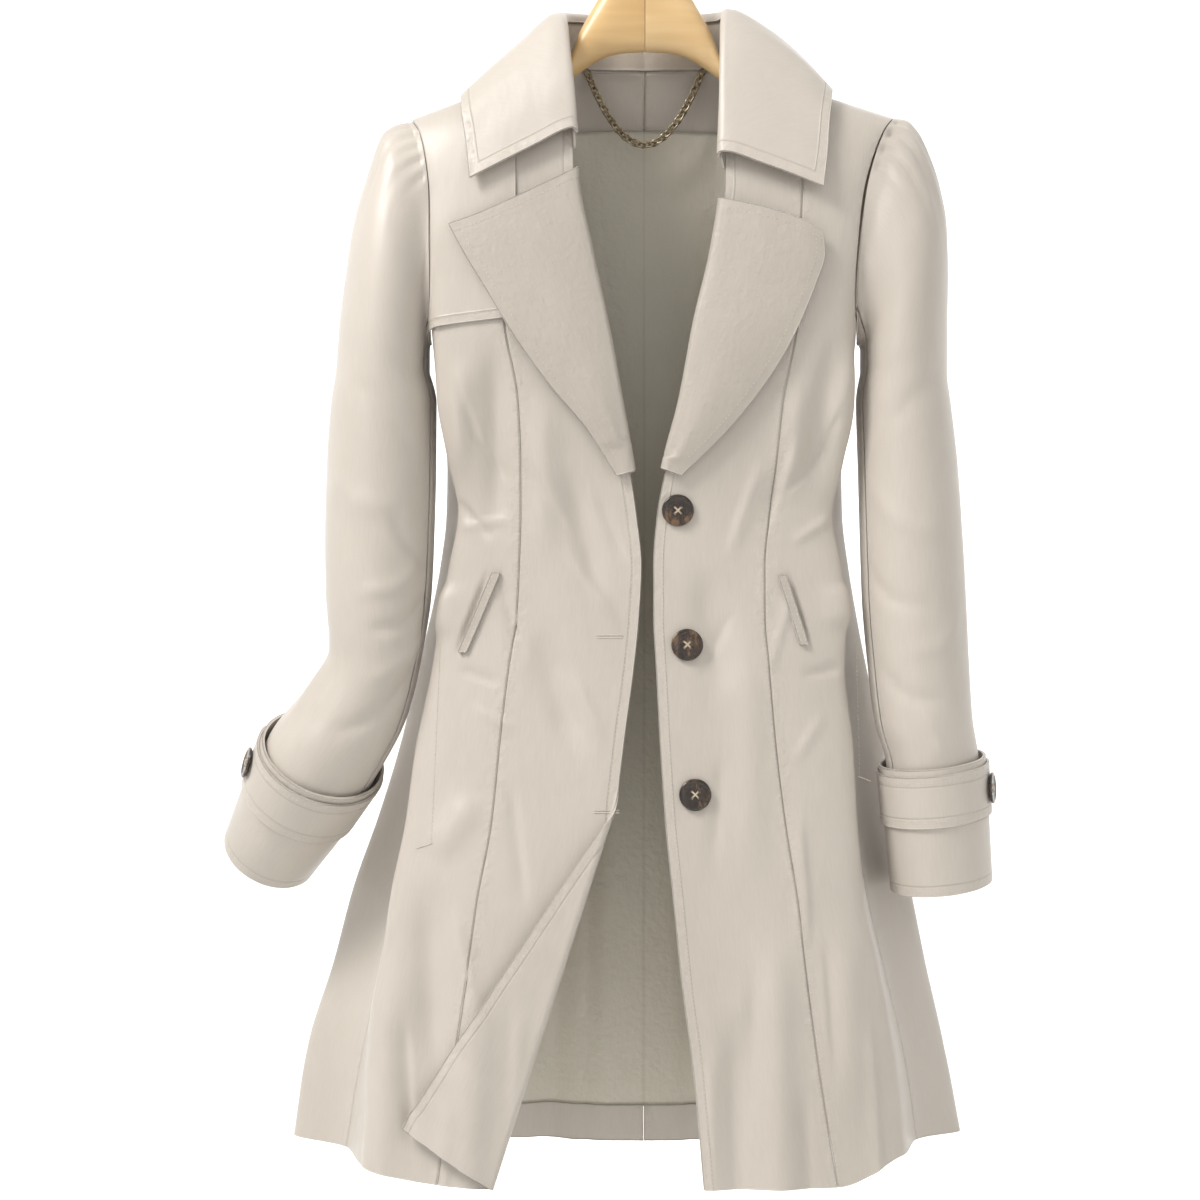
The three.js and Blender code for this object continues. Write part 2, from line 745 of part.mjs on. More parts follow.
// Lapels: from the front edge, round the roll line and out to the free edge.
// Each row holds the height on the roll line and the place of the free edge.
const LAPEL_ROWS = {
  R: [
    { roll: -250, x: -154, z: -294 },
    { roll: -285, x: -141, z: -318 },
    { roll: -322, x: -124, z: -346 },
    { roll: -362, x: -101, z: -384 },
    { roll: -402, x: -74, z: -421 },
    { roll: -442, x: -46, z: -454 },
    { roll: -486, x: -23, z: -490 },
  ],
  L: [
    { roll: -274, x: 137, z: -300 },
    { roll: -300, x: 138.5, z: -318 },
    { roll: -330, x: 131, z: -342 },
    { roll: -364, x: 112, z: -386 },
    { roll: -402, x: 88, z: -424 },
    { roll: -442, x: 58, z: -460 },
    { roll: -484, x: 27, z: -490 },
  ],
};
// The roll line lies this far in from the front edge
const ROLL_SET_IN = 5;
// Bow of the top edge of each lapel, down or up
const LAPEL_BOW = { R: -8, L: 9 };
const LAPEL_KNOTS = steps(0, 1, 6);
// Section over the roll: distance out from the roll line and forward of the front, both in mm
const ROLL_SECTION = [
  [3.7, -1.4],
  [1.4, -0.4],
  [0, 2.6],
  [1.8, 6.6],
  [7, 8.6],
];
const LAPEL_SWELL = 11.5;
const LAPEL_EDGE = 8;
const LAPEL_FULL_WIDTH = 40;
const LAPEL_NARROW = 24;
const ROLL_FLATTEN = 0.8;
// Beyond the roll: share of the width out, and forward of the front on a narrow and a full lapel
const LAPEL_MIDDLE = { narrowOut: 0.5, fullOut: 0.45, narrow: 6.8, full: LAPEL_SWELL };
const LAPEL_NEAR = { out: 0.78, narrow: 6.6, full: LAPEL_SWELL - 1.5 };
const LAPEL_FREE = { narrow: 6.2, full: LAPEL_EDGE };
const LAPEL_TIP = { out: 9.5, forward: 6.6 };

function lapelSection(width) {
  const scale = Math.min(1, width / LAPEL_FULL_WIDTH);
  const roll = ROLL_SECTION.map(([out, forward]) => {
    return [out, forward > 0 ? forward * lerp(ROLL_FLATTEN, 1, scale) : forward];
  });
  if (width <= LAPEL_NARROW) return [...roll, [Math.max(width, LAPEL_TIP.out), LAPEL_TIP.forward]];
  const middleOut = lerp(LAPEL_MIDDLE.narrowOut, LAPEL_MIDDLE.fullOut, scale) * width;
  const middle = [middleOut, lerp(LAPEL_MIDDLE.narrow, LAPEL_MIDDLE.full, scale)];
  const near = [LAPEL_NEAR.out * width, lerp(LAPEL_NEAR.narrow, LAPEL_NEAR.full, scale)];
  const edge = [width, lerp(LAPEL_FREE.narrow, LAPEL_FREE.full, scale)];
  return [...roll, middle, near, edge];
}

function lapel(side, material) {
  const rows = LAPEL_ROWS[side];
  const row = (t, key) => spline(LAPEL_KNOTS, (k) => rows[k][key], t);
  const surface = (u, t) => {
    const rollZ = row(t, 'roll');
    const v = rollZ > BUST_Z ? spline(DROPS, (k) => ROW_V[k], dropAt(side, rollZ)) : BUST_V + BUST_Z - rollZ;
    const edge = smoothBody(side, EDGE, v);
    const roll = { x: edge.x - SIGN[side] * ROLL_SET_IN, z: edge.z };
    const freeX = row(t, 'x');
    const freeZ = row(t, 'z') + LAPEL_BOW[side] * Math.sin(Math.PI * clamp01(u)) * smooth(1 - 4 * t);
    const width = Math.hypot(freeX - roll.x, freeZ - roll.z);
    const section = lapelSection(width);
    const last = section.length - 1;
    const share = clamp01(u) * last;
    const index = section.map((_, i) => i);
    const out = spline(index, (k) => section[k][0], share);
    const forward = spline(index, (k) => section[k][1], share);
    const x = lerp(roll.x, freeX, out / width);
    const z = lerp(roll.z, freeZ, out / width);
    return new THREE.Vector3(x, frontDepth(side, x, z, smoothBody) - forward, z);
  };
  const across = [0, 0.14, 0.28, 0.43, 0.57, 0.71, 0.86, 1];
  return cloth(`lapel_${side}`, surface, across, steps(0, 1, 13), LAYERED, material, {
    flip: side === 'L',
    du: 0.006,
    dv: 0.01,
  });
}

// Share of the drop from shoulder to bust for a height on the front edge
function dropAt(side, z) {
  const top = shoulderHeight(side, SIGN[side] * NECK_HALF);
  return (top - z) / (top - BUST_Z);
}

// The collar's foot stands this far clear of the neckline
const NECK_CLEAR = { inward: 0.6, over: 20, up: 0.45 };

// Collar. Stations run from the right front end, round the back of the neck, to the left front end.
// neck is the place on the neckline: below zero it runs down the front edge, above zero round the
// back. fold is the top of the stand, free the outer edge of the leaf.
const COLLAR_STATIONS = [
  { side: 'R', neck: -98, fold: [-57, -57, -223], free: [-137, -62, -259], swell: 1 },
  { side: 'R', neck: -77, fold: [-60, -48, -187], free: [-140, -52, -232], swell: 2 },
  { side: 'R', neck: -41, fold: [-63.5, -31, -152], free: [-144, -40, -205], swell: 3 },
  { side: 'R', neck: -20, fold: [-65.5, -16, -131], free: [-145, -18, -188], swell: 3 },
  { side: 'R', neck: 0, fold: [-66.5, 1, -123], free: [-143, 6, -184], swell: 3 },
  { side: 'R', neck: 16, fold: [-61, 20, -119], free: [-126, 38, -193], swell: 5 },
  { side: 'R', neck: 42, fold: [-40, 38, -116.5], free: [-75, 58, -200], swell: 6 },
  { side: 'L', neck: 80, fold: [0, 46, -115], free: [0, 64, -203], swell: 6 },
  { side: 'L', neck: 42, fold: [40, 38, -116.5], free: [75, 58, -200], swell: 6 },
  { side: 'L', neck: 16, fold: [61, 20, -118], free: [128, 38, -188], swell: 7 },
  { side: 'L', neck: 0, fold: [64.5, 1, -120], free: [146, 6, -179], swell: 8 },
  { side: 'L', neck: -20, fold: [63.5, -16, -131], free: [147, -18, -183], swell: 8 },
  { side: 'L', neck: -41, fold: [62.5, -31, -155], free: [144, -43, -203], swell: 6 },
  { side: 'L', neck: -77, fold: [61, -48, -200], free: [141, -55, -236], swell: 4 },
  { side: 'L', neck: -114, fold: [59, -60, -242], free: [137, -65, -266], swell: 2 },
].map((station) => ({ ...station, foot: necklineFoot(station.side, station.neck) }));
const COLLAR_KNOTS = COLLAR_STATIONS.map((_, i) => i);
const BACK_STATION = 7;
const STAND_THICKNESS = 2;
const FOLD_RADIUS = 4;

// Place just clear of the neckline, on which the stand's lower edge lies
function necklineFoot(side, neck) {
  const point = neck < 0 ? smoothBody(side, EDGE, -neck) : smoothBody(side, NECK_SIDE + neck, 0);
  const clear = neck < 0 ? NECK_CLEAR.inward * smooth(-neck / NECK_CLEAR.over) : 0;
  return [point.x - SIGN[side] * clear, point.y, point.z + NECK_CLEAR.up];
}

function collarFoot(u) {
  const side = u <= BACK_STATION ? 'R' : 'L';
  const neck = spline(COLLAR_KNOTS, (k) => COLLAR_STATIONS[k].neck, u);
  return new THREE.Vector3(...necklineFoot(side, neck));
}

function collarPlace(key, u) {
  if (key === 'foot') return collarFoot(u);
  const at = (axis) => spline(COLLAR_KNOTS, (k) => COLLAR_STATIONS[k][key][axis], u);
  return new THREE.Vector3(at(0), at(1), at(2));
}

// Outer face of the stand, from the neckline up to just short of the fold
function standSurface(u, v) {
  return collarPlace('foot', u).lerp(collarPlace('fold', u), v);
}

function collarStand(material) {
  const us = steps(0, COLLAR_STATIONS.length - 1, 28);
  const vs = [0, 0.33, 0.66, LEAF.standShare];
  return cloth('collar_stand', standSurface, us, vs, STAND_THICKNESS, material, {
    flip: true,
    du: 0.05,
    dv: 0.02,
  });
}

// Section of the leaf, in mm: its gap above the stand, the crest and the shoulder of the fold, and
// how much more than its swell it stands off between the fold and the free edge
const LEAF = {
  standShare: 0.93,
  gap: 0.7,
  rise: { towards: 0.75, up: 0.6, back: 1 },
  crestOut: 1.2,
  shoulder: { up: 0.75, out: 6.5 },
  third: { at: 0.36, more: 2.5 },
  late: { at: 0.7, share: 0.8, more: 1 },
};
const LEAF_KNOTS = [0, 0.06, 0.13, 0.22, 0.48, 0.75, 1];

// Visible face of the leaf: up from the stand, over the fold and down to its free edge
function leafSurface(u, v) {
  const foot = collarPlace('foot', u);
  const fold = collarPlace('fold', u);
  const free = collarPlace('free', u);
  const up = fold.clone().sub(foot).normalize();
  const fall = free.clone().sub(fold);
  const out = fall.clone().addScaledVector(up, -fall.dot(up)).normalize();
  const swell = spline(COLLAR_KNOTS, (k) => COLLAR_STATIONS[k].swell, u);
  const away = fall.clone().normalize();
  const lift = up.clone().addScaledVector(away, -up.dot(away)).normalize();
  const stand = foot.distanceTo(fold);
  const start = foot.clone().addScaledVector(up, LEAF.standShare * stand + LEAF.gap);
  start.addScaledVector(out, -STAND_THICKNESS);
  const crest = fold.clone().addScaledVector(up, FOLD_RADIUS).addScaledVector(out, LEAF.crestOut);
  const shoulder = fold.clone().addScaledVector(up, FOLD_RADIUS * LEAF.shoulder.up);
  shoulder.addScaledVector(out, LEAF.shoulder.out);
  const below = fold.clone().addScaledVector(up, FOLD_RADIUS * LEAF.rise.up);
  const rise = start.clone().lerp(below, LEAF.rise.towards).addScaledVector(out, -LEAF.rise.back);
  const third = fold.clone().lerp(free, LEAF.third.at).addScaledVector(lift, swell + LEAF.third.more);
  const late = fold.clone().lerp(free, LEAF.late.at);
  late.addScaledVector(lift, swell * LEAF.late.share + LEAF.late.more);
  const points = [start, rise, crest, shoulder, third, late, free];
  return splinePoint(LEAF_KNOTS, (k) => points[k], v);
}

function collarLeaf(material) {
  const us = steps(0, COLLAR_STATIONS.length - 1, 28);
  const vs = [0, 0.06, 0.13, 0.22, 0.35, 0.5, 0.66, 0.83, 1];
  return cloth('collar_leaf', leafSurface, us, vs, LAYERED, material, {
    flip: true,
    du: 0.05,
    dv: 0.008,
  });
}

// Sleeves

// Rings from the armhole fan round the underarm, then follow the arm. drop is how far each ring's
// inner end lies below the underarm.
const UNDERARM_EASE = 0.95;
const UNDERARM = { x: 172, y: 0, z: UNDERARM_Z + 3 };
const HEAD_RINGS = {
  R: [
    { angle: 8, radius: 175, half: 50, drop: 1, blend: 0.25 },
    { angle: 14, radius: 172, half: 54, drop: 3, blend: 0.6 },
    { angle: 21, radius: 144, half: 57, drop: 6, blend: 1 },
    { angle: 31, radius: 119, half: 59, drop: 9.5, blend: 1 },
    { angle: 45, radius: 95, half: 60, drop: 13.5, blend: 1 },
    { angle: 64, radius: 80, half: 60, drop: 18, blend: 1 },
    { angle: 90, radius: 75, half: 59, drop: 23, blend: 1 },
  ],
  L: [
    { angle: 11, radius: 178, half: 50, drop: 1, blend: 0.25 },
    { angle: 16, radius: 173, half: 54, drop: 3, blend: 0.6 },
    { angle: 25, radius: 148, half: 57, drop: 6, blend: 1 },
    { angle: 34, radius: 123, half: 59, drop: 9.5, blend: 1 },
    { angle: 46, radius: 97, half: 60, drop: 13.5, blend: 1 },
    { angle: 64, radius: 77, half: 60, drop: 18, blend: 1 },
    { angle: 90, radius: 69, half: 59, drop: 23, blend: 1 },
  ],
};
// Below the underarm: centre, half width and half depth, lean outwards and back, in degrees
const ARM_RINGS = {
  R: [
    { x: -208.5, y: -4, z: -430, wide: 42, deep: 57, lean: 0, back: 0 },
    { x: -210, y: -8, z: -478, wide: 43.5, deep: 55, lean: 0, back: 2 },
    { x: -211, y: -13, z: -530, wide: 43.5, deep: 52, lean: 0, back: 2 },
    { x: -211.5, y: -17, z: -580, wide: 42, deep: 50, lean: 0, back: 3 },
    { x: -213.5, y: -20, z: -626, wide: 37, deep: 48, lean: 4, back: 6 },
    { x: -229, y: -23, z: -668, wide: 42, deep: 47, lean: 14, back: 18 },
    { x: -255, y: -22, z: -709, wide: 45, deep: 47, lean: 26, back: 32 },
    { x: -279, y: 2, z: -750, wide: 41, deep: 43, lean: 30, back: 32 },
    { x: -303, y: 28, z: -790, wide: 36, deep: 39.5, lean: 30, back: 32 },
  ],
  L: [
    { x: 206, y: -4, z: -430, wide: 37.5, deep: 57, lean: 0, back: 0 },
    { x: 209, y: -8, z: -478, wide: 39.5, deep: 55, lean: 0, back: 1 },
    { x: 211, y: -13, z: -530, wide: 40.5, deep: 53, lean: 2, back: 2 },
    { x: 213, y: -17, z: -585, wide: 41, deep: 51, lean: 2, back: 2 },
    { x: 216, y: -20, z: -635, wide: 40, deep: 49, lean: 4, back: 3 },
    { x: 220, y: -22, z: -680, wide: 38.5, deep: 47, lean: 5, back: 5 },
    { x: 227, y: -22, z: -713, wide: 36.5, deep: 45, lean: 7, back: 6 },
    { x: 231, y: -19, z: -763, wide: 37, deep: 44, lean: 7, back: 6 },
    { x: 235, y: -15, z: -812, wide: 37.5, deep: 43.5, lean: 7, back: 6 },
  ],
};
const HEAD_COUNT = HEAD_RINGS.R.length;
const RIM_RING = HEAD_COUNT + 7;
const LAST_RING = HEAD_COUNT + 9;
const ARM_V = steps(0, LAST_RING, LAST_RING);

// Share of the armhole that runs down to the bust. The rest goes round to the underarm.
const BUST_SHARE = 0.78;

// Point on the armhole of the body, by angle round it: 0 at the shoulder, 90 front, 180 underarm
function armholePoint(side, theta) {
  const turn = ((theta % 360) + 360) % 360;
  const front = turn <= 180;
  const share = front ? turn / 180 : (360 - turn) / 180;
  const round = radians(90 * clamp01((share - BUST_SHARE) / (1 - BUST_SHARE)));
  const above = share <= BUST_SHARE;
  const v = above ? (BUST_V * share) / BUST_SHARE : BUST_V + (UNDERARM_V - BUST_V) * Math.sin(round);
  const reach = above ? 0 : 1 - Math.cos(round);
  const s = lerp(front ? SIDE : BACK_ARM, GULLY, reach);
  return body(side, s, v);
}

// The sleeve's own edge there: a seam's gap away at the shoulder, a little more at the underarm
function armholeSeam(side, theta) {
  const seam = armholePoint(side, theta);
  seam.x += SIGN[side] * (SEAM + 0.1 + UNDERARM_EASE * (1 - Math.cos(radians(theta))));
  return seam;
}

// The head sags forward by this much at the underarm, and its seam end stands out by a share
const HEAD_SAG = 2;
const HEAD_OUT = 0.35;

function headRing(side, ring, theta) {
  const angle = radians(ring.angle);
  const out = new THREE.Vector3(SIGN[side] * Math.sin(angle), 0, Math.cos(angle));
  const pivot = new THREE.Vector3(SIGN[side] * UNDERARM.x, UNDERARM.y, UNDERARM.z - ring.drop);
  const half = ring.radius / 2;
  const turn = radians(theta);
  const ellipse = pivot
    .addScaledVector(out, half + half * Math.cos(turn))
    .add(new THREE.Vector3(0, -ring.half * Math.sin(turn) - HEAD_SAG * (1 - Math.cos(turn)), 0));
  if (ring.blend === 1) return ellipse;
  const seam = armholeSeam(side, theta);
  seam.x += SIGN[side] * ring.radius * Math.sin(angle) * HEAD_OUT * (0.5 + 0.5 * Math.cos(turn));
  return seam.lerp(ellipse, ring.blend);
}

// Axes of a tilted ring: outwards and forwards
function ringAxes(side, ring) {
  const lean = radians(ring.lean);
  const back = radians(ring.back);
  const down = new THREE.Vector3(
    SIGN[side] * Math.sin(lean) * Math.cos(back),
    Math.sin(back),
    -Math.cos(lean) * Math.cos(back),
  );
  const wide = new THREE.Vector3(SIGN[side] * Math.cos(lean), 0, Math.sin(lean));
  const deep = new THREE.Vector3().crossVectors(wide, down).normalize();
  if (deep.y > 0) deep.negate();
  return { down, wide, deep };
}

function armRing(side, ring, theta, grow = 0) {
  const { wide, deep } = ringAxes(side, ring);
  const turn = radians(theta);
  return new THREE.Vector3(ring.x, ring.y, ring.z)
    .addScaledVector(wide, (ring.wide + grow) * Math.cos(turn))
    .addScaledVector(deep, (ring.deep + grow) * Math.sin(turn));
}

function sleeveRing(side, index, theta) {
  if (index === 0) {
    return armholeSeam(side, theta);
  }
  if (index <= HEAD_COUNT) return headRing(side, HEAD_RINGS[side][index - 1], theta);
  return armRing(side, ARM_RINGS[side][index - HEAD_COUNT - 1], theta);
}

// Gathers of the sleeve head: they fade down the sleeve and away from the shoulder
const GATHERS = { first: -72, last: 72, pitch: 18, height: 2.4, start: 0.6, reach: 3.4 };

function sleeveSurface(side, theta, w) {
  return splinePoint(ARM_V, (k) => sleeveRing(side, k, theta), w);
}

function gatherHeight(theta, w) {
  if (theta < GATHERS.first || theta > GATHERS.last) return 0;
  const fade = smooth(1 - w / GATHERS.reach) * smooth(w / GATHERS.start);
  const turn = (2 * Math.PI * (theta - GATHERS.first)) / GATHERS.pitch;
  return -GATHERS.height * fade * (0.5 - 0.5 * Math.cos(turn));
}

const FRONT_SEAM_ANGLE = 158;
const BACK_SEAM_ANGLE = 208;
const SLEEVE_ROWS = [0, 0.5, 1.1, 1.8, 2.6, 3.5, 4.5, 5.6, 6.8, 8, 9, 10, 11, 12, 12.7, 13.4, 14, 15, 16];

const SEAM_NEAR = 3;

function sleevePiece(name, side, angles, material) {
  const surface = (theta, w) => sleeveSurface(side, theta, Math.max(0, Math.min(LAST_RING, w)));
  const shaped = (theta, w) => {
    const point = surface(theta, w);
    const height = gatherHeight(theta, w);
    if (height === 0) return point;
    return point.addScaledVector(surfaceNormal(surface, theta, w, side === 'R', 1, 0.05), height);
  };
  // Both pieces take the same normal at a seam, so their rims lie parallel
  const seams = [FRONT_SEAM_ANGLE, BACK_SEAM_ANGLE, BACK_SEAM_ANGLE - 360];
  return cloth(name, shaped, angles, SLEEVE_ROWS, SHELL, material, {
    flip: side === 'R',
    du: 1,
    dv: 0.04,
    normalAt: (theta) => seams.find((seam) => Math.abs(theta - seam) < SEAM_NEAR) ?? theta,
  });
}

const SLEEVE_SEAM_EASE = 0.35;

function seamAngle(side, theta) {
  const width = sleeveSurface(side, theta + 0.5, 8).distanceTo(sleeveSurface(side, theta - 0.5, 8));
  return (SEAM + SLEEVE_SEAM_EASE) / width;
}

function sleeveUpper(side, material) {
  const from = BACK_SEAM_ANGLE - 360 + seamAngle(side, BACK_SEAM_ANGLE);
  const to = FRONT_SEAM_ANGLE - seamAngle(side, FRONT_SEAM_ANGLE);
  const head = steps(GATHERS.first, GATHERS.last, 16);
  const angles = [from, -130, -108, -88, ...head, 88, 108, 130, to];
  return sleevePiece(`sleeve_upper_${side}`, side, angles, material);
}

function sleeveUnder(side, material) {
  const from = FRONT_SEAM_ANGLE + seamAngle(side, FRONT_SEAM_ANGLE);
  const to = BACK_SEAM_ANGLE - seamAngle(side, BACK_SEAM_ANGLE);
  const angles = [0, 0.24, 0.5, 0.78, 1].map((share) => lerp(from, to, share));
  return sleevePiece(`sleeve_under_${side}`, side, angles, material);
}

// Cuffs stand proud of the sleeve at the rim and close on it at the foot
const CUFF_PROUD = { rim: 3.2, foot: 0.8 };

function cuffSurface(side, theta, t) {
  const rings = ARM_RINGS[side];
  const first = RIM_RING - HEAD_COUNT - 1;
  const grow = lerp(CUFF_PROUD.rim, CUFF_PROUD.foot, t) + LAYERED;
  const stations = [0, 1, 2].map((i) => armRing(side, rings[first + i], theta, grow));
  return splinePoint([0, 0.5, 1], (k) => stations[k], t);
}

function cuff(side, material) {
  const angles = steps(0, 360, 24).slice(0, -1);
  return cloth(`cuff_${side}`, (a, t) => cuffSurface(side, a, t), angles, steps(0, 1, 4), LAYERED, material, {
    flip: side === 'R',
    ring: true,
    du: 1,
    dv: 0.02,
  });
}

// Strap round the upper half of the cuff, from the inner side across the front to a pointed end
const STRAP = { from: 205, to: -24, top: 0.05, foot: 0.45, point: 0.096, narrowing: 0.8, thickness: 2 };
const LAID_CLEAR = 0.25;

function strapSurface(side, u, v) {
  const theta = lerp(STRAP.from, STRAP.to, u);
  const middle = (STRAP.top + STRAP.foot) / 2;
  const taper = 1 - STRAP.narrowing * smooth((u - 1 + STRAP.point) / STRAP.point) ** 2;
  const half = ((STRAP.foot - STRAP.top) / 2) * taper;
  return cuffSurface(side, theta, middle + (v * 2 - 1) * half);
}

function cuffStrap(side, material) {
  const surface = (u, v) => strapSurface(side, u, v);
  const us = [...steps(0, 0.9, 13), 0.94, 0.97, 1];
  return cloth(`cuff_strap_${side}`, surface, us, [0, 0.5, 1], STRAP.thickness, material, {
    flip: side === 'L',
    lift: SEAM + STRAP.thickness + LAID_CLEAR,
    du: 0.004,
    dv: 0.02,
  });
}

// Hard pieces

function circle(x, y, radius, sides) {
  return Array.from({ length: sides }, (_, i) => {
    const turn = (2 * Math.PI * i) / sides;
    return new THREE.Vector2(x + radius * Math.cos(turn), y + radius * Math.sin(turn));
  });
}

// Four-hole button, its back at the origin, facing +Z
function buttonGeometry() {
  const disc = new THREE.Shape(circle(0, 0, BUTTON.radius, 18));
  for (const [x, y] of [[1, 1], [-1, 1], [-1, -1], [1, -1]]) {
    const { holeSpread, holeRadius } = BUTTON;
    disc.holes.push(new THREE.Path(circle(x * holeSpread, y * holeSpread, holeRadius, 6).reverse()));
  }
  return new THREE.ExtrudeGeometry(disc, { depth: BUTTON.thickness, bevelEnabled: false });
}

// Place a button so that its back just clears the surface under it
function placeButton(name, centre, normal, samples, material) {
  const up = new THREE.Vector3(0, 0, 1);
  const height = Math.max(...samples.map((p) => p.clone().sub(centre).dot(normal)));
  const mesh = new THREE.Mesh(buttonGeometry(), material);
  mesh.name = name;
  mesh.quaternion.setFromUnitVectors(up, normal);
  mesh.position.copy(centre).addScaledVector(normal, height + SEAM);
  return mesh;
}

function around(point, reach) {
  const places = [point(0, 0)];
  for (const share of [0.5, 1]) {
    for (let i = 0; i < 12; i += 1) {
      const turn = (i * Math.PI) / 6;
      places.push(point(Math.cos(turn) * reach * share, Math.sin(turn) * reach * share));
    }
  }
  return places;
}

function frontButton(index, material) {
  const { x, z } = FRONT_BUTTONS[index];
  const at = (dx, dz) => new THREE.Vector3(x + dx, frontDepth('L', x + dx, z + dz), z + dz);
  const normal = at(8, 0).sub(at(-8, 0)).cross(at(0, 8).sub(at(0, -8))).normalize();
  return placeButton(`button_${index + 1}`, at(0, 0), normal, around(at, BUTTON.radius), material);
}

const CUFF_BUTTON = { theta: 20, t: 0.25 };

function cuffButton(side, material) {
  const lift = SEAM + STRAP.thickness + LAID_CLEAR;
  const surface = (theta, t) => cuffSurface(side, theta, t);
  const centre = surface(CUFF_BUTTON.theta, CUFF_BUTTON.t);
  const normal = surfaceNormal(surface, CUFF_BUTTON.theta, CUFF_BUTTON.t, side === 'R', 1, 0.02);
  const samples = around(
    (a, b) => surface(CUFF_BUTTON.theta + a, CUFF_BUTTON.t + b / 100).addScaledVector(normal, lift),
    BUTTON.radius,
  );
  return placeButton(`cuff_button_${side}`, centre, normal, samples, material);
}

// Wooden hanger: sections along each arm, from the middle out to the tip
const HANGER_SECTIONS = [
  { x: 0.15, top: -75, foot: -149, half: 11 },
  { x: 14, top: -77, foot: -149.5, half: 11 },
  { x: 28, top: -90, foot: -152, half: 11 },
  { x: 38, top: -107, foot: -156, half: 10.5 },
  { x: 46, top: -121, foot: -161, half: 10 },
  { x: 53, top: -134, foot: -166, half: 9.5 },
  { x: 58, top: -147, foot: -170, half: 9.5 },
  { x: 62, top: -158, foot: -173, half: 9.5 },
  { x: 66, top: -162.6, foot: -176, half: 10 },
];
// Beyond the neck the arm lies just under the shoulder seam
const ARM_SECTIONS = [
  { x: 70, height: 19, half: 10.5 },
  { x: 95, height: 24, half: 12 },
  { x: 125, height: 26, half: 13 },
  { x: 152, height: 26, half: 13 },
  { x: 170, height: 21, half: 11 },
  { x: 178, height: 11, half: 6 },
];
const HANGER_SIDES = 14;
// The arm lies under the sloping shoulder: the cloth's height there, and a little more clear
const HANGER_FIT = { slope: 1.08, clear: 0.35 };

function hangerSections(side) {
  const arm = ARM_SECTIONS.map(({ x, height, half }) => {
    const top = shoulderHeight(side, x) - SHELL * HANGER_FIT.slope - SEAM - HANGER_FIT.clear;
    return { x, top, foot: top - height, half };
  });
  return [...HANGER_SECTIONS, ...arm];
}

function hangerHalf(name, side, material) {
  const sections = hangerSections(side);
  const positions = [];
  const indices = [];
  for (const { x, top, foot, half } of sections) {
    for (let i = 0; i < HANGER_SIDES; i += 1) {
      const turn = (2 * Math.PI * i) / HANGER_SIDES + Math.PI / 2;
      const y = half * Math.cos(turn);
      const z = (top + foot) / 2 + ((top - foot) / 2) * Math.sin(turn);
      positions.push(SIGN[side] * x, y, z);
    }
  }
  const at = (j, i) => j * HANGER_SIDES + (i % HANGER_SIDES);
  for (let j = 0; j < sections.length - 1; j += 1) {
    for (let i = 0; i < HANGER_SIDES; i += 1) {
      quad(indices, at(j, i), at(j + 1, i), at(j + 1, i + 1), at(j, i + 1));
    }
  }
  const last = sections.length - 1;
  for (let i = 1; i < HANGER_SIDES - 1; i += 1) {
    indices.push(at(0, 0), at(0, i), at(0, i + 1));
    indices.push(at(last, 0), at(last, i + 1), at(last, i));
  }
  if (signedVolume(positions, indices) < 0) indices.reverse();
  return makeMesh(name, positions, indices, material);
}

// Rod of round section along a curve
function rod(name, points, radius, count, sides, material) {
  const curve = new THREE.CatmullRomCurve3(points.map(([x, y, z]) => new THREE.Vector3(x, y, z)));
  const section = new THREE.Shape();
  section.absarc(0, 0, radius, 0, 2 * Math.PI);
  const geometry = new THREE.ExtrudeGeometry(section, {
    steps: count,
    curveSegments: sides / 2,
    extrudePath: curve,
  });
  const mesh = new THREE.Mesh(geometry, material);
  mesh.name = name;
  return mesh;
}

const HOOK_RADIUS = 2;
const HOOK_BEND = 22;

function hook(material) {
  const top = HOOK_RADIUS - HOOK_BEND;
  const points = [];
  for (let angle = 205; angle >= -45; angle -= 25) {
    const turn = radians(angle);
    points.push([HOOK_BEND * Math.cos(turn), 0, top + HOOK_BEND * Math.sin(turn)]);
  }
  points.push([6.5, 0, -45], [1.2, 0, -53], [0, 0, -61], [0, 0, HANGER_SECTIONS[0].top + SEAM]);
  return rod('hook', points, HOOK_RADIUS, 20, 8, material);
}

// Chain loop at the back neck, as a plain cord along its hang
const LOOP = { half: 46, sag: 58, radius: 3, top: -161, y: 24.3 };

function hangerLoop(material) {
  const points = steps(-1, 1, 8).map((u) => [LOOP.half * u, LOOP.y, LOOP.top - LOOP.sag * (1 - u * u)]);
  return rod('hanger_loop', points, LOOP.radius, 16, 8, material);
}

const coat = new THREE.Group();
coat.name = 'trench_coat';

function finish(color, roughness, metalness = 0) {
  return () => new THREE.MeshStandardMaterial({ color, roughness, metalness });
}
const shell = finish(0xd8cfc4, 0.62);
const liningFinish = finish(0xe4dccb, 0.5);
const horn = finish(0x3a2c20, 0.35);
const darkWood = finish(0xc9a268, 0.5);
const lightWood = finish(0xdcb982, 0.5);
const steel = finish(0xb9b9b9, 0.25, 1);
const chainMetal = finish(0x8d7f68, 0.4, 1);

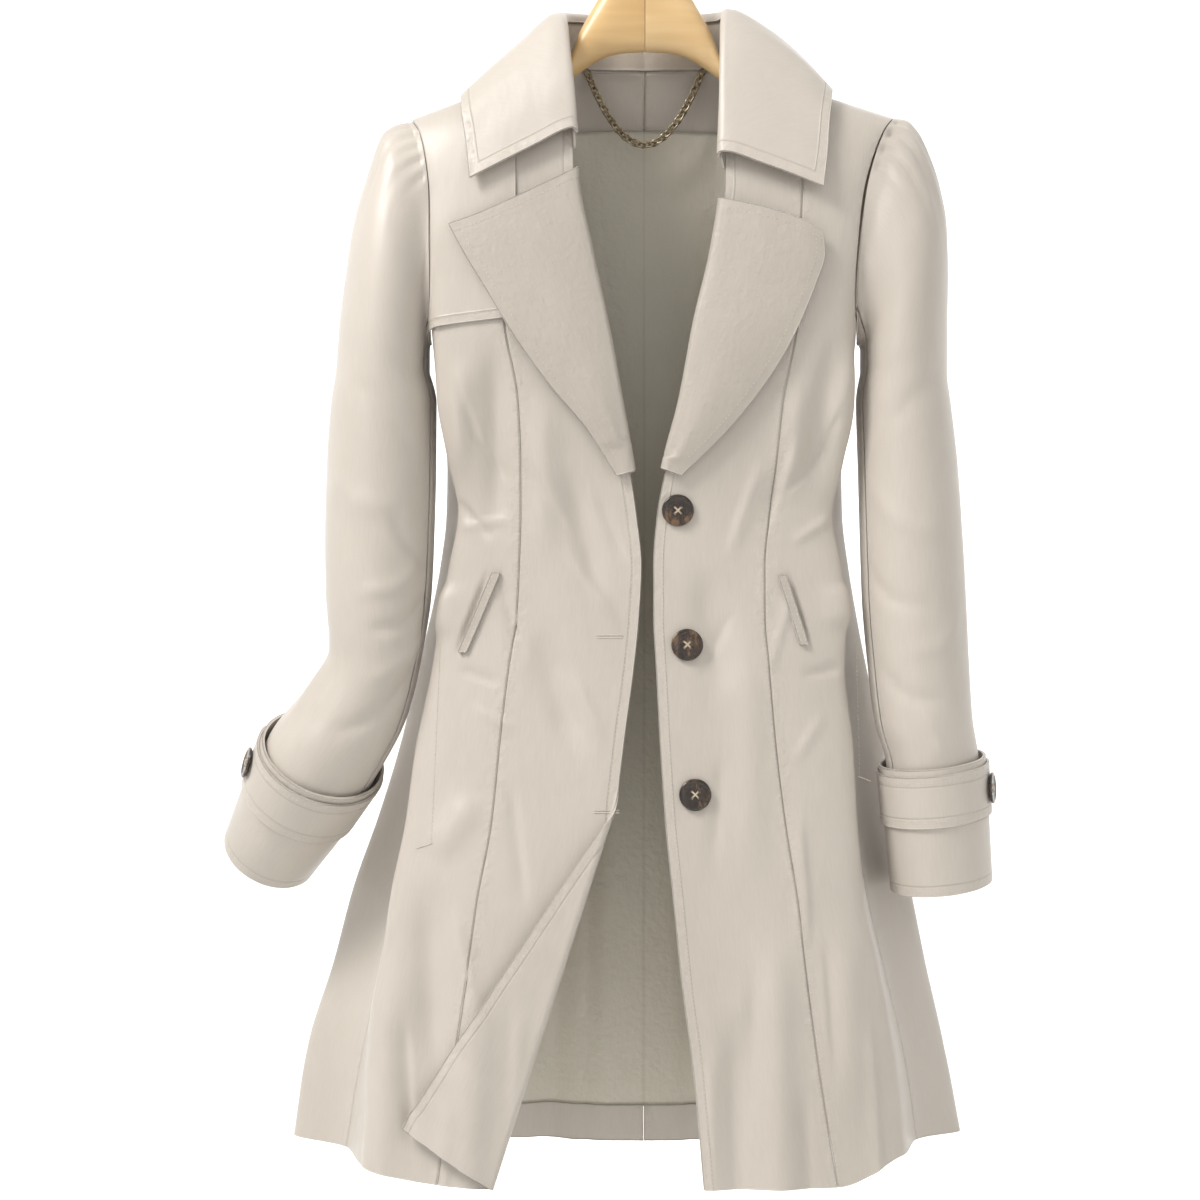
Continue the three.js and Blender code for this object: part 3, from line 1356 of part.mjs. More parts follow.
coat.add(frontCentreR(shell()));
coat.add(frontCentreL(shell()));
coat.add(stormFlap(shell()));
coat.add(collarStand(shell()));
coat.add(collarLeaf(shell()));
for (const side of ['R', 'L']) {
  coat.add(frontSide(side, shell()));
  coat.add(backPanel(side, shell()));
  coat.add(pocketWelt(side, shell()));
  coat.add(lapel(side, shell()));
  coat.add(sleeveUpper(side, shell()));
  coat.add(sleeveUnder(side, shell()));
  coat.add(cuff(side, shell()));
  coat.add(cuffStrap(side, shell()));
  coat.add(cuffButton(side, horn()));
}
FRONT_BUTTONS.forEach((_, index) => coat.add(frontButton(index, horn())));
coat.add(backLining(liningFinish()));
coat.add(hangerHalf('hanger_right_half', 'R', darkWood()));
coat.add(hangerHalf('hanger_left_half', 'L', lightWood()));
coat.add(hook(steel()));
coat.add(hangerLoop(chainMetal()));

export default coat;
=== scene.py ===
"""A light stone trench coat, worn open on a wooden hanger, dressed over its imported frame.

Sizes are in millimetres, in the frame's own axes: +Z up, the coat's front towards -Y, the
wearer's left towards +X. They become metres as each mesh is made.
"""

import logging
import math
from dataclasses import dataclass, field
from enum import Enum
from functools import partial
from typing import Callable, Iterable, Optional, Sequence

import bmesh
import bpy
import numpy as np
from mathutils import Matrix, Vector


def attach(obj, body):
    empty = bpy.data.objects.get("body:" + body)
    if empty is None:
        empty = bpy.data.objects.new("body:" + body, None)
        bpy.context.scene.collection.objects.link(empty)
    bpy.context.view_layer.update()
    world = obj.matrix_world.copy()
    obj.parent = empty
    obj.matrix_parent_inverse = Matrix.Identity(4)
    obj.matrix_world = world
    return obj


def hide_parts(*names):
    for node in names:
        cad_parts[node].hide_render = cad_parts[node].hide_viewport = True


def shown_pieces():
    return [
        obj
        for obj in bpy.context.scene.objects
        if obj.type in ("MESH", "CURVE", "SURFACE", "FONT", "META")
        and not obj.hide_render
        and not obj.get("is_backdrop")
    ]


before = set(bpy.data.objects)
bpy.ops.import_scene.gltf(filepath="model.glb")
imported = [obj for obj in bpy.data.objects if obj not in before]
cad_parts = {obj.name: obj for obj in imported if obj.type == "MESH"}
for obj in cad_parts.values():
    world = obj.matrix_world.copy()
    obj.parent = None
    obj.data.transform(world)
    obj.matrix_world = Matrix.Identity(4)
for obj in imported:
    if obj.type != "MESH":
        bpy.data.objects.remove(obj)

LOG = logging.getLogger("trench_coat")
Array = np.ndarray
Point = tuple[float, float, float]
MM = 0.001

# Thickness of the cloth, and the gap at every seam
SHELL = 1.6
LAYERED = 2.4
LINING = 1.0
SEAM = 0.3

# Heights
BUST_Z = -310.0
HEM_Z = -1040.0
UNDERARM_Z = -385.0
HEM_BEND_Z = -950.0

# Length down the cloth from the shoulder seam
BUST_V = 170.0
UNDERARM_V = BUST_V + BUST_Z - UNDERARM_Z
HEM_V = BUST_V + BUST_Z - HEM_Z

# Places across one half of the coat, from the front edge round to the centre back
EDGE, PRINCESS, SIDE, GULLY, FLANK, BACK_ARM = 0.0, 90.0, 150.0, 185.0, 230.0, 260.0
BACK_SIDE, NECK_SIDE, NECK_BEND, NECK_CURVE, CENTRE = 315.0, 362.0, 378.0, 404.0, 442.0
COLUMNS = [
    EDGE, PRINCESS, SIDE, GULLY, FLANK, BACK_ARM, BACK_SIDE, NECK_SIDE, NECK_BEND, NECK_CURVE, CENTRE
]

NECK_HALF = 68.0
NECK_Z = -160.0
BACK_NECK_Z = -157.0

# Rows down the cloth, and above the bust the share of the way from shoulder line to bust
ROW_V = [0, 20, 40, 75, 120, 170, 231, 290, 340, 380, 420, 460, 500, 560, 620, 680, 740, 810, 900]
DROPS = [0, 0.04, 0.13, 0.35, 0.65, 1]


class Side(Enum):
    """The wearer's two sides, with the sign of X on each."""

    RIGHT = ("R", -1.0)
    LEFT = ("L", 1.0)

    @property
    def letter(self) -> str:
        """The letter that ends the names of this side's pieces."""
        return self.value[0]

    @property
    def sign(self) -> float:
        """The sign of X on this side."""
        return self.value[1]


# Distance of each landmark from the middle, by row: edge, princess, side, gully, flank,
# back of the arm, back side
WIDTHS = {
    Side.RIGHT: [
        [68, 108, 186, 186, 186, 186, 120],
        [66, 109, 184, 185, 185, 183, 122],
        [65, 110, 179, 182, 182, 178, 123],
        [58, 112, 173, 178, 179, 172, 124],
        [57, 113, 169, 175, 177, 168, 124],
        [47, 113, 168, 173, 173, 166, 122],
        [34, 110, 166, 170, 170, 163, 120],
        [23, 100, 164, 160, 166, 153, 114],
        [14, 98, 154, 149, 160, 147, 108],
        [8, 98, 148, 145, 161, 146, 106],
        [4, 99, 155, 149, 166, 152, 108],
        [6, 101, 162, 154, 174, 160, 111],
        [10, 107, 168, 160, 184, 168, 116],
        [18, 114, 180, 172, 198, 180, 122],
        [24, 120, 188, 182, 216, 193, 129],
        [25, 131, 200, 196, 237, 207, 137],
        [27, 139, 207, 210, 253, 218, 144],
        [29, 149, 214, 226, 274, 232, 152],
        [33, 161, 221, 238, 285, 240, 160],
    ],
    Side.LEFT: [
        [68, 112, 198, 198, 198, 198, 124],
        [67, 116, 196, 197, 197, 194, 124],
        [66, 120, 190, 193, 193, 187, 124],
        [62, 122, 180, 186, 187, 177, 124],
        [62, 122, 171, 178, 180, 169, 124],
        [55, 120, 166, 172, 172, 165, 122],
        [41, 117, 162, 168, 168, 161, 119],
        [30, 107, 163, 158, 164, 151, 113],
        [17, 102, 155, 149, 160, 147, 107],
        [9, 97, 147, 144, 161, 146, 105],
        [6, 93, 154, 148, 166, 152, 107],
        [6, 93, 158, 152, 173, 159, 110],
        [8, 96, 156, 152, 181, 166, 114],
        [11, 101, 162, 160, 194, 176, 119],
        [15, 108, 165, 166, 204, 184, 125],
        [21, 117, 170, 176, 217, 194, 132],
        [27, 124, 182, 190, 229, 204, 138],
        [36, 133, 193, 206, 244, 216, 145],
        [44, 147, 199, 216, 257, 226, 152],
    ],
}

# Distance in front of (-) or behind (+) the shoulder seam, by row, for all eleven landmarks
DEPTHS = [
    [-0.15, -0.15, -0.15, 0, 0, 0.15, 0.15, 0.15, 15, 32, 40],
    [-20, -20, -14, -8, 7, 14, 18, 22, 29, 39, 43],
    [-34, -34, -26, -14, 12, 24, 31, 35, 40, 45, 47],
    [-47, -47, -38, -18, 14, 34, 43, 47, 49, 51, 51],
    [-55, -55, -44, -18, 14, 40, 50, 53, 54, 54, 54],
    [-58, -59, -48, -18, 12, 41, 54, 56, 56, 55, 55],
    [-59, -61, -46, -16, 15, 40, 53, 55, 55, 54, 54],
    [-57, -57, -42, -14, 28, 40, 49, 51, 51, 50, 49],
    [-54, -52, -37, -12, 31, 39, 45, 47, 47, 46, 45],
    [-53, -49, -34, -12, 34, 40, 44, 46, 46, 45, 44],
    [-55, -51, -36, -12, 37, 43, 47, 48, 48, 47, 46],
    [-58, -54, -39, -12, 40, 47, 50, 51, 51, 50, 49],
    [-61, -58, -42, -12, 43, 51, 54, 55, 54, 53, 52],
    [-66, -63, -46, -12, 46, 55, 59, 60, 59, 58, 57],
    [-71, -68, -50, -12, 46, 58, 63, 64, 63, 62, 61],
    [-76, -73, -54, -12, 44, 61, 67, 68, 67, 66, 65],
    [-80, -77, -58, -12, 42, 63, 70, 71, 71, 70, 69],
    [-85, -82, -62, -12, 38, 65, 73, 75, 75, 74, 73],
    [-91, -88, -66, -12, 36, 67, 77, 79, 79, 78, 77],
]

# Past the back side landmark the widths are shares of it, but at the neck they follow the neckline
INNER_SHARE = [0.56, 0.46, 0.31, 0]
NECKLINE_X = [NECK_HALF, 63, 40, 0]

# Height of the hem at each landmark
HEM_HEIGHTS = {
    Side.RIGHT: [-1043, -1036, -1026, -1022, -1021, -1026, -1030, -1032, -1033, -1034, -1034],
    Side.LEFT: [-1040, -1038, -1018, -1016, -1018, -1024, -1029, -1032, -1033, -1034, -1034],
}
SHOULDER_TIP = {Side.RIGHT: (186, -204.6), Side.LEFT: (198, -201.4)}


@dataclass(frozen=True)
class Fold:
    """A fold by its start and end in the front view, half width and height. A trough is below zero."""

    x0: float
    z0: float
    x1: float
    z1: float
    width: float
    height: float
    steep: float = 0.0

    def lift(self, x: Array, z: Array) -> Array:
        """Height of the fold over each place.

        Args:
            x: Places across.
            z: Places up.

        Returns:
            How far the cloth stands out there.
        """
        dx, dz = self.x1 - self.x0, self.z1 - self.z0
        length = math.hypot(dx, dz)
        along = ((x - self.x0) * dx + (z - self.z0) * dz) / length**2
        across = ((x - self.x0) * dz - (z - self.z0) * dx) / length
        width = self.width * (1 + self.steep * np.sign(across))
        end = 1.0 if self.z1 <= HEM_Z else smooth((1 - along) / 0.35)
        return self.height * smooth(along / 0.35) * end * np.exp(-((across / width) ** 2))


# The largest folds, as in the solids
FRONT_FOLDS = {
    Side.RIGHT: [
        Fold(-144, -392, -146, -500, 9, 5),
        Fold(-119, -376, -116, -545, 10, -6),
        Fold(-82, -420, -76, -560, 12, 5),
        Fold(-62, -480, -34, -592, 9, -5),
        Fold(-88, -605, -50, -715, 12, -5),
        Fold(-163, -570, -166, -620, 16, 4),
        Fold(-130, -735, -166, -790, 12, 4),
        Fold(-172, -800, -164, -960, 13, -8),
        Fold(-198, -850, -206, -1040, 14, 7),
        Fold(-128, -860, -138, -1040, 14, 6),
    ],
    Side.LEFT: [
        Fold(150, -370, 128, -510, 10, -6),
        Fold(158, -388, 145, -476, 9, 4),
        Fold(122, -405, 107, -515, 9, 4),
        Fold(44, -560, 60, -670, 12, -4),
        Fold(154, -570, 158, -612, 16, 4),
        Fold(80, -590, 80, -830, 14, 4),
        Fold(98, -830, 104, -1040, 14, 7),
        Fold(70, -900, 68, -1040, 12, -6),
        Fold(150, -820, 160, -1000, 15, 5),
    ],
}
BACK_FOLDS = {
    Side.RIGHT: [
        Fold(-60, -640, -78, -1040, 20, 7),
        Fold(-105, -700, -128, -1040, 16, -6),
        Fold(-160, -720, -190, -1040, 20, 7),
        Fold(-120, -380, -60, -500, 12, -4),
        Fold(-70, -470, -140, -545, 10, 3),
    ],
    Side.LEFT: [
        Fold(52, -660, 66, -1040, 18, 6),
        Fold(92, -690, 116, -1040, 16, -6),
        Fold(148, -720, 178, -1040, 20, 7),
        Fold(118, -390, 66, -490, 12, -4),
        Fold(60, -480, 132, -550, 10, 3),
    ],
}

# Finer creases, only in the dressed coat
FRONT_CREASES = {
    Side.RIGHT: [
        Fold(-150, -410, -128, -470, 4, -1.6, 0.4),
        Fold(-140, -455, -104, -500, 3.5, -1.2, -0.4),
        Fold(-152, -505, -118, -540, 3.5, -1.4, 0.3),
        Fold(-150, -530, -100, -522, 3, 1.1, 0.2),
        Fold(-98, -470, -60, -540, 5, -1.5, 0.4),
        Fold(-66, -545, -20, -612, 4, 1.6, -0.4),
        Fold(-40, -500, -14, -560, 4, -1.2, 0.3),
        Fold(-118, -560, -92, -640, 4, -1.2, 0.4),
        Fold(-60, -640, -30, -700, 5, 1.3, 0.2),
        Fold(-150, -640, -110, -655, 3.5, -1.3, -0.4),
        Fold(-140, -668, -96, -690, 4, 1.0, 0.3),
        Fold(-106, -720, -92, -830, 5, -1.5, 0.4),
        Fold(-152, -820, -130, -905, 5, 1.6, -0.3),
        Fold(-188, -900, -180, -1020, 5, -1.8, 0.4),
        Fold(-150, -960, -156, -1040, 6, 1.5, 0.2),
        Fold(-218, -960, -224, -1040, 5, -1.5, 0.3),
        Fold(-96, -890, -104, -990, 5, 1.2, -0.2),
    ],
    Side.LEFT: [
        Fold(156, -430, 132, -486, 4, -1.6, -0.4),
        Fold(142, -470, 104, -508, 3.5, -1.2, 0.4),
        Fold(150, -520, 112, -545, 3.5, 1.3, 0.3),
        Fold(118, -440, 92, -540, 5, -1.4, 0.3),
        Fold(92, -470, 62, -560, 5, 1.3, -0.3),
        Fold(70, -590, 42, -650, 4, -1.1, 0.3),
        Fold(118, -570, 94, -650, 4, 1.0, 0.2),
        Fold(158, -640, 118, -648, 3.5, -1.5, 0.4),
        Fold(140, -672, 112, -716, 4, 1.0, -0.3),
        Fold(60, -700, 52, -800, 5, -1.4, 0.3),
        Fold(118, -740, 126, -860, 5, 1.4, 0.3),
        Fold(138, -840, 146, -960, 5, -1.6, -0.4),
        Fold(84, -860, 82, -990, 5, -1.4, 0.3),
        Fold(172, -900, 180, -1040, 5, 1.6, 0.3),
        Fold(120, -960, 126, -1040, 5, -1.5, 0.2),
        Fold(50, -930, 50, -1040, 5, 1.3, 0.2),
    ],
}
# The finer creases of the dressed cloth stand out a little more than their tables say
CREASE_GAIN = 1.6

# A mark this far from any seam or edge, in millimetres, has no sewing on it
FAR = 99.0

# Slits of the slanted pockets, and the height that they are under
SLIT_TOP = -400.0
POCKET_SLITS = {
    Side.RIGHT: Fold(-121.6, -560, -150.4, -634, 1.7, -4.2, 0.0),
    Side.LEFT: Fold(109.4, -562, 129.2, -628, 1.9, -4.2, 0.0),
}
BACK_CREASES = {
    Side.RIGHT: [
        Fold(-150, -400, -104, -452, 4.5, -1.8, 0.4),
        Fold(-140, -440, -82, -470, 4, 1.3, -0.3),
        Fold(-30, -480, -110, -520, 4, -1.5, 0.3),
        Fold(-14, -520, -96, -552, 4.5, 1.4, 0.3),
        Fold(-120, -545, -50, -585, 4, -1.3, -0.3),
        Fold(-60, -260, -110, -330, 6, 1.2, 0.2),
        Fold(-40, -700, -46, -1040, 7, 1.8, 0.3),
        Fold(-88, -760, -98, -1040, 7, -1.8, -0.3),
        Fold(-140, -740, -156, -960, 7, 1.7, 0.3),
        Fold(-180, -820, -214, -1040, 7, -1.8, 0.2),
    ],
    Side.LEFT: [
        Fold(146, -390, 98, -436, 4.5, -1.8, -0.4),
        Fold(150, -430, 84, -476, 4, 1.3, 0.3),
        Fold(22, -476, 100, -512, 4, -1.5, 0.3),
        Fold(30, -530, 104, -562, 4.5, 1.4, -0.3),
        Fold(126, -552, 56, -600, 4, -1.3, 0.3),
        Fold(52, -262, 96, -348, 6, 1.2, 0.2),
        Fold(34, -690, 38, -1040, 7, 1.8, -0.3),
        Fold(78, -770, 90, -1040, 7, -1.8, 0.3),
        Fold(132, -730, 150, -980, 7, 1.7, 0.3),
        Fold(168, -830, 196, -1040, 7, -1.8, -0.2),
    ],
}

# The right front's lower corner, turned out along a line
TURN_TOP = (-27.0, -753.0)
TURN_FOOT = (-109.0, -1007.0)
TURN_RADIUS = 3.0


# General helpers


def lerp(a: float | Array, b: float | Array, t: float | Array) -> float | Array:
    """A value part of the way from a to b."""
    return a + (b - a) * t


def smooth(t: float | Array) -> float | Array:
    """A step from 0 to 1 with soft ends."""
    c = np.clip(t, 0, 1)
    return c * c * (3 - 2 * c)


def unit(vectors: Array) -> Array:
    """The same directions, each of length one."""
    return vectors / np.maximum(np.linalg.norm(vectors, axis=-1, keepdims=True), 1e-9)


def spline(knots: Sequence[float], values: Array, at: Array) -> Array:
    """A smooth curve through values at uneven knots, with no overshoot.

    Args:
        knots: K rising places.
        values: K values, or K rows of them.
        at: The N places to read.

    Returns:
        N values, or N rows of them.
    """
    return _curve(knots, values, at, False)


def spline_pairs(knots: Sequence[float], values: Array, at: Array) -> Array:
    """The same curve where each of N places has values of its own: values is K x N."""
    return _curve(knots, values, at, True)


def _curve(knots: Sequence[float], values: Array, at: Array, paired: bool) -> Array:
    """The curve of spline, or of spline_pairs where each place has values of its own."""
    k = np.asarray(knots, float)
    v = np.asarray(values, float)
    t = np.clip(np.asarray(at, float), k[0], k[-1])
    step = np.diff(k).reshape((-1,) + (1,) * (v.ndim - 1))
    rise = np.diff(v, axis=0) / step
    slope = np.empty_like(v)
    slope[0], slope[-1] = rise[0], rise[-1]
    left, right = rise[:-1], rise[1:]
    first, second = step[:-1] + 2 * step[1:], 2 * step[:-1] + step[1:]
    with np.errstate(divide="ignore", invalid="ignore"):
        mean = (first + second) / (first / left + second / right)
    slope[1:-1] = np.where(left * right > 0, mean, 0)
    i = np.clip(np.searchsorted(k, t, side="left") - 1, 0, len(k) - 2)
    low, high = ((i, np.arange(t.size)), (i + 1, np.arange(t.size))) if paired else (i, i + 1)
    shape = (-1,) + (1,) * (v[low].ndim - 1)
    h = (k[i + 1] - k[i]).reshape(shape)
    f = ((t - k[i]) / (k[i + 1] - k[i])).reshape(shape)
    f2, f3 = f * f, f * f * f
    start = v[low] * (2 * f3 - 3 * f2 + 1) + slope[low] * h * (f3 - 2 * f2 + f)
    return start + v[high] * (3 * f2 - 2 * f3) + slope[high] * h * (f3 - f2)


def grid_normals(points: Array, flip: bool = False) -> Array:
    """Normals of a grid of points from its own rows and columns.

    Args:
        points: Rows x columns x 3.
        flip: Whether they point the other way.

    Returns:
        Rows x columns x 3, each of length one.
    """
    across = np.gradient(points, axis=1)
    down = np.gradient(points, axis=0)
    normal = unit(np.cross(across, down))
    return -normal if flip else normal


def lengths_along(points: Array) -> Array:
    """Length along each row of a grid of points, from its first column."""
    step = np.linalg.norm(np.diff(points, axis=1), axis=-1)
    return np.concatenate([np.zeros((len(points), 1)), np.cumsum(step, axis=1)], axis=1)


def line_at(reach: Array, width: float) -> Array:
    """A soft line, 1 at a seam and 0 away from it."""
    return np.exp(-((reach / width) ** 2))


def sewn_lift(reach: Array, down: Array, seed: int) -> Array:
    """How the cloth dips into a seam, with small puckers beside it.

    Args:
        reach: Distance from the seam.
        down: Places down the seam, in a column.
        seed: Which puckers.

    Returns:
        How far the cloth stands out at each place.
    """
    pucker = 0.22 * ripple(down, seed, 17) * line_at(reach, 7) * smooth(reach / 2)
    return pucker - line_at(reach, 0.9)


def ripple(along: Array, seed: int, wave: float) -> Array:
    """An uneven wave between about -1 and 1, the same on every run.

    Args:
        along: Places, in the wave's own unit.
        seed: Which wave.
        wave: Its usual length.

    Returns:
        The wave's height at each place.
    """
    rng = np.random.default_rng(seed)
    total = np.zeros_like(np.asarray(along, float))
    for share in (1.0, 0.61, 0.37):
        phase = rng.uniform(0, 2 * math.pi)
        total += share * np.sin(2 * math.pi * along / (wave * share * rng.uniform(0.8, 1.25)) + phase)
    return total / 1.98


def edged(count: int, near: Sequence[float] = (), far: Sequence[float] = ()) -> Array:
    """Shares from 0 to 1 in even steps, with more of them close to either end.

    Args:
        count: Number of even steps.
        near: Extra shares after 0.
        far: Extra distances before 1.

    Returns:
        The rising shares.
    """
    even = np.linspace(0, 1, count + 1)
    return np.unique(np.concatenate([even, np.asarray(near, float), 1 - np.asarray(far, float)]))


# Surfaces kept as points


@dataclass
class Lattice:
    """A surface kept as points on an even grid, and read between them."""

    low: tuple[float, float]
    step: tuple[float, float]
    points: Array

    def at(self, across: Array, down: Array) -> Array:
        """Points of the surface.

        Args:
            across: Places across, of any shape.
            down: Places down, of the same shape.

        Returns:
            The points, with a last axis of three.
        """
        rows, columns = self.points.shape[:2]
        a = np.clip((np.asarray(across, float) - self.low[0]) / self.step[0], 0, columns - 1.000001)
        d = np.clip((np.asarray(down, float) - self.low[1]) / self.step[1], 0, rows - 1.000001)
        i, j = a.astype(int), d.astype(int)
        fa, fd = (a - i)[..., None], (d - j)[..., None]
        p = self.points
        top = p[j, i] * (1 - fa) + p[j, i + 1] * fa
        foot = p[j + 1, i] * (1 - fa) + p[j + 1, i + 1] * fa
        return top * (1 - fd) + foot * fd


def shoulder_height(side: Side, x: Array) -> Array:
    """Height of the shoulder line at a distance from the middle."""
    tip_x, tip_z = SHOULDER_TIP[side]
    across = np.abs(x)
    neck = lerp(BACK_NECK_Z, NECK_Z, (across / NECK_HALF) ** 2)
    slope = NECK_Z + (across - NECK_HALF) * (tip_z - NECK_Z) / (tip_x - NECK_HALF)
    return np.where(across < NECK_HALF, neck, slope)


class BodyForm:
    """One half of the coat's body, from its front edge round to the centre back."""

    def __init__(self, side: Side) -> None:
        """Works out the half's surfaces: plain, with its large folds, and with every crease."""
        self.side = side
        s = np.arange(0, CENTRE + 1.0)
        v = np.arange(0, HEM_V + 1.0)
        plain = self._unfolded(s, v)
        self.plain = Lattice((0, 0), (1, 1), plain)
        normal = grid_normals(plain, side is Side.LEFT)
        weight = np.where(
            s <= GULLY,
            smooth((s - 4) / 22) * smooth((GULLY - 2 - s) / 22),
            smooth((s - GULLY - 4) / 40) * smooth((CENTRE - s) / 30),
        )
        front = (s <= GULLY)[None, :]
        x, z = plain[..., 0], plain[..., 2]
        large, fine = (
            np.where(front, self._sum(fronts[side], x, z), self._sum(backs[side], x, z))
            for fronts, backs in ((FRONT_FOLDS, BACK_FOLDS), (FRONT_CREASES, BACK_CREASES))
        )
        height = large * weight[None, :]
        self.large = Lattice((0, 0), (1, 1), plain + normal * height[..., None])
        fine_weight = smooth((s - 2) / 8) * smooth((CENTRE - s) / 12) * smooth(np.abs(s - GULLY) / 6)
        height = height + (CREASE_GAIN * fine + self._slit(x, z)) * fine_weight[None, :] + self._drape(s, v)
        self.shaped = Lattice((0, 0), (1, 1), plain + normal * height[..., None])

    def _slit(self, x: Array, z: Array) -> Array:
        """The dark slit of the slanted pocket, beside its welt."""
        return POCKET_SLITS[self.side].lift(x, z) * (z < SLIT_TOP)

    def _unfolded(self, s: Array, v: Array) -> Array:
        """Points of the half without its folds, on the grid of s and v."""
        side = self.side
        widths, depths = [], []
        for index, row in enumerate(WIDTHS[side]):
            inner = NECKLINE_X if index == 0 else [share * row[6] for share in INNER_SHARE]
            widths.append(spline(COLUMNS, [side.sign * x for x in [*row, *inner]], s))
            depths.append(spline(COLUMNS, DEPTHS[index], s))
        heights = []
        for index, v_row in enumerate(ROW_V):
            if index < len(DROPS):
                heights.append(lerp(shoulder_height(side, widths[index]), BUST_Z, DROPS[index]))
            else:
                heights.append(np.full_like(s, BUST_Z - (v_row - BUST_V)))
        x, y, z = (spline(ROW_V, np.array(table), v) for table in (widths, depths, heights))
        hem = spline(COLUMNS, HEM_HEIGHTS[side], s)[None, :]
        low = np.clip((HEM_BEND_Z - z) / (HEM_BEND_Z - HEM_Z), 0, None)
        return np.stack([x, y, z + (hem - HEM_Z) * low], axis=-1)

    @staticmethod
    def _sum(folds: Iterable[Fold], x: Array, z: Array) -> Array:
        """All the folds' heights together."""
        return sum(fold.lift(x, z) for fold in folds)

    @staticmethod
    def _drape(s: Array, v: Array) -> Array:
        """The slight unevenness that hanging cloth has everywhere."""
        low = 0.35 * ripple(s, 5, 61)[None, :] * ripple(v, 9, 210)[:, None]
        fine = 0.14 * ripple(s + 11, 15, 23)[None, :] * ripple(v, 19, 74)[:, None]
        calm = smooth((s - 3) / 12) * smooth((CENTRE - s) / 14) * smooth(np.abs(s - GULLY) / 10)
        return (low + fine) * calm[None, :] * smooth(v / 20)[:, None]

    def across_front(self, x: Array, v: Array, base: Lattice) -> Array:
        """Place across the front for each x, by halving."""
        low = np.zeros_like(x, float)
        high = np.full_like(x, GULLY, dtype=float)
        for _ in range(18):
            middle = (low + high) / 2
            beyond = np.abs(base.at(middle, v)[..., 0]) > np.abs(x)
            shrink = beyond | (middle >= SIDE + 12)
            high = np.where(shrink, middle, high)
            low = np.where(shrink, low, middle)
        return (low + high) / 2

    def front_place(self, x: Array, z: Array, base: Lattice) -> tuple[Array, Array]:
        """Place across and down the cloth of the front behind each place in the front view."""
        sign = self.side.sign
        sided = sign * np.maximum(sign * np.asarray(x, float), 0)
        z = np.asarray(z, float)
        top = shoulder_height(self.side, sided)
        share = np.clip((top - z) / (top - BUST_Z), 0, 1)
        high = spline(DROPS, ROW_V[: len(DROPS)], share.ravel()).reshape(z.shape)
        v = np.clip(np.where(z > BUST_Z, high, BUST_V + BUST_Z - z), 0, HEM_V)
        return self.across_front(sided, v, base), v

    def front_depth(self, x: Array, z: Array, base: Optional[Lattice] = None) -> Array:
        """Depth of the front at places in the front view."""
        base = base or self.shaped
        sign = self.side.sign
        sided = sign * np.maximum(sign * np.asarray(x, float), 0)
        s, v = self.front_place(x, z, base)
        edge = base.at(np.zeros_like(v), v)
        on_edge = (np.abs(sided) <= np.abs(edge[..., 0])) | (sign * edge[..., 0] < 0)
        return np.where(on_edge, edge[..., 1], base.at(s, v)[..., 1])


def armhole_reach(v: Array) -> Array:
    """Share of the way from the armhole's edge to the underarm, down the cloth."""
    q = np.clip((np.asarray(v, float) - BUST_V) / (UNDERARM_V - BUST_V), 0, 1)
    return 1 - np.sqrt(1 - q * q)


# Meshes and walls of cloth


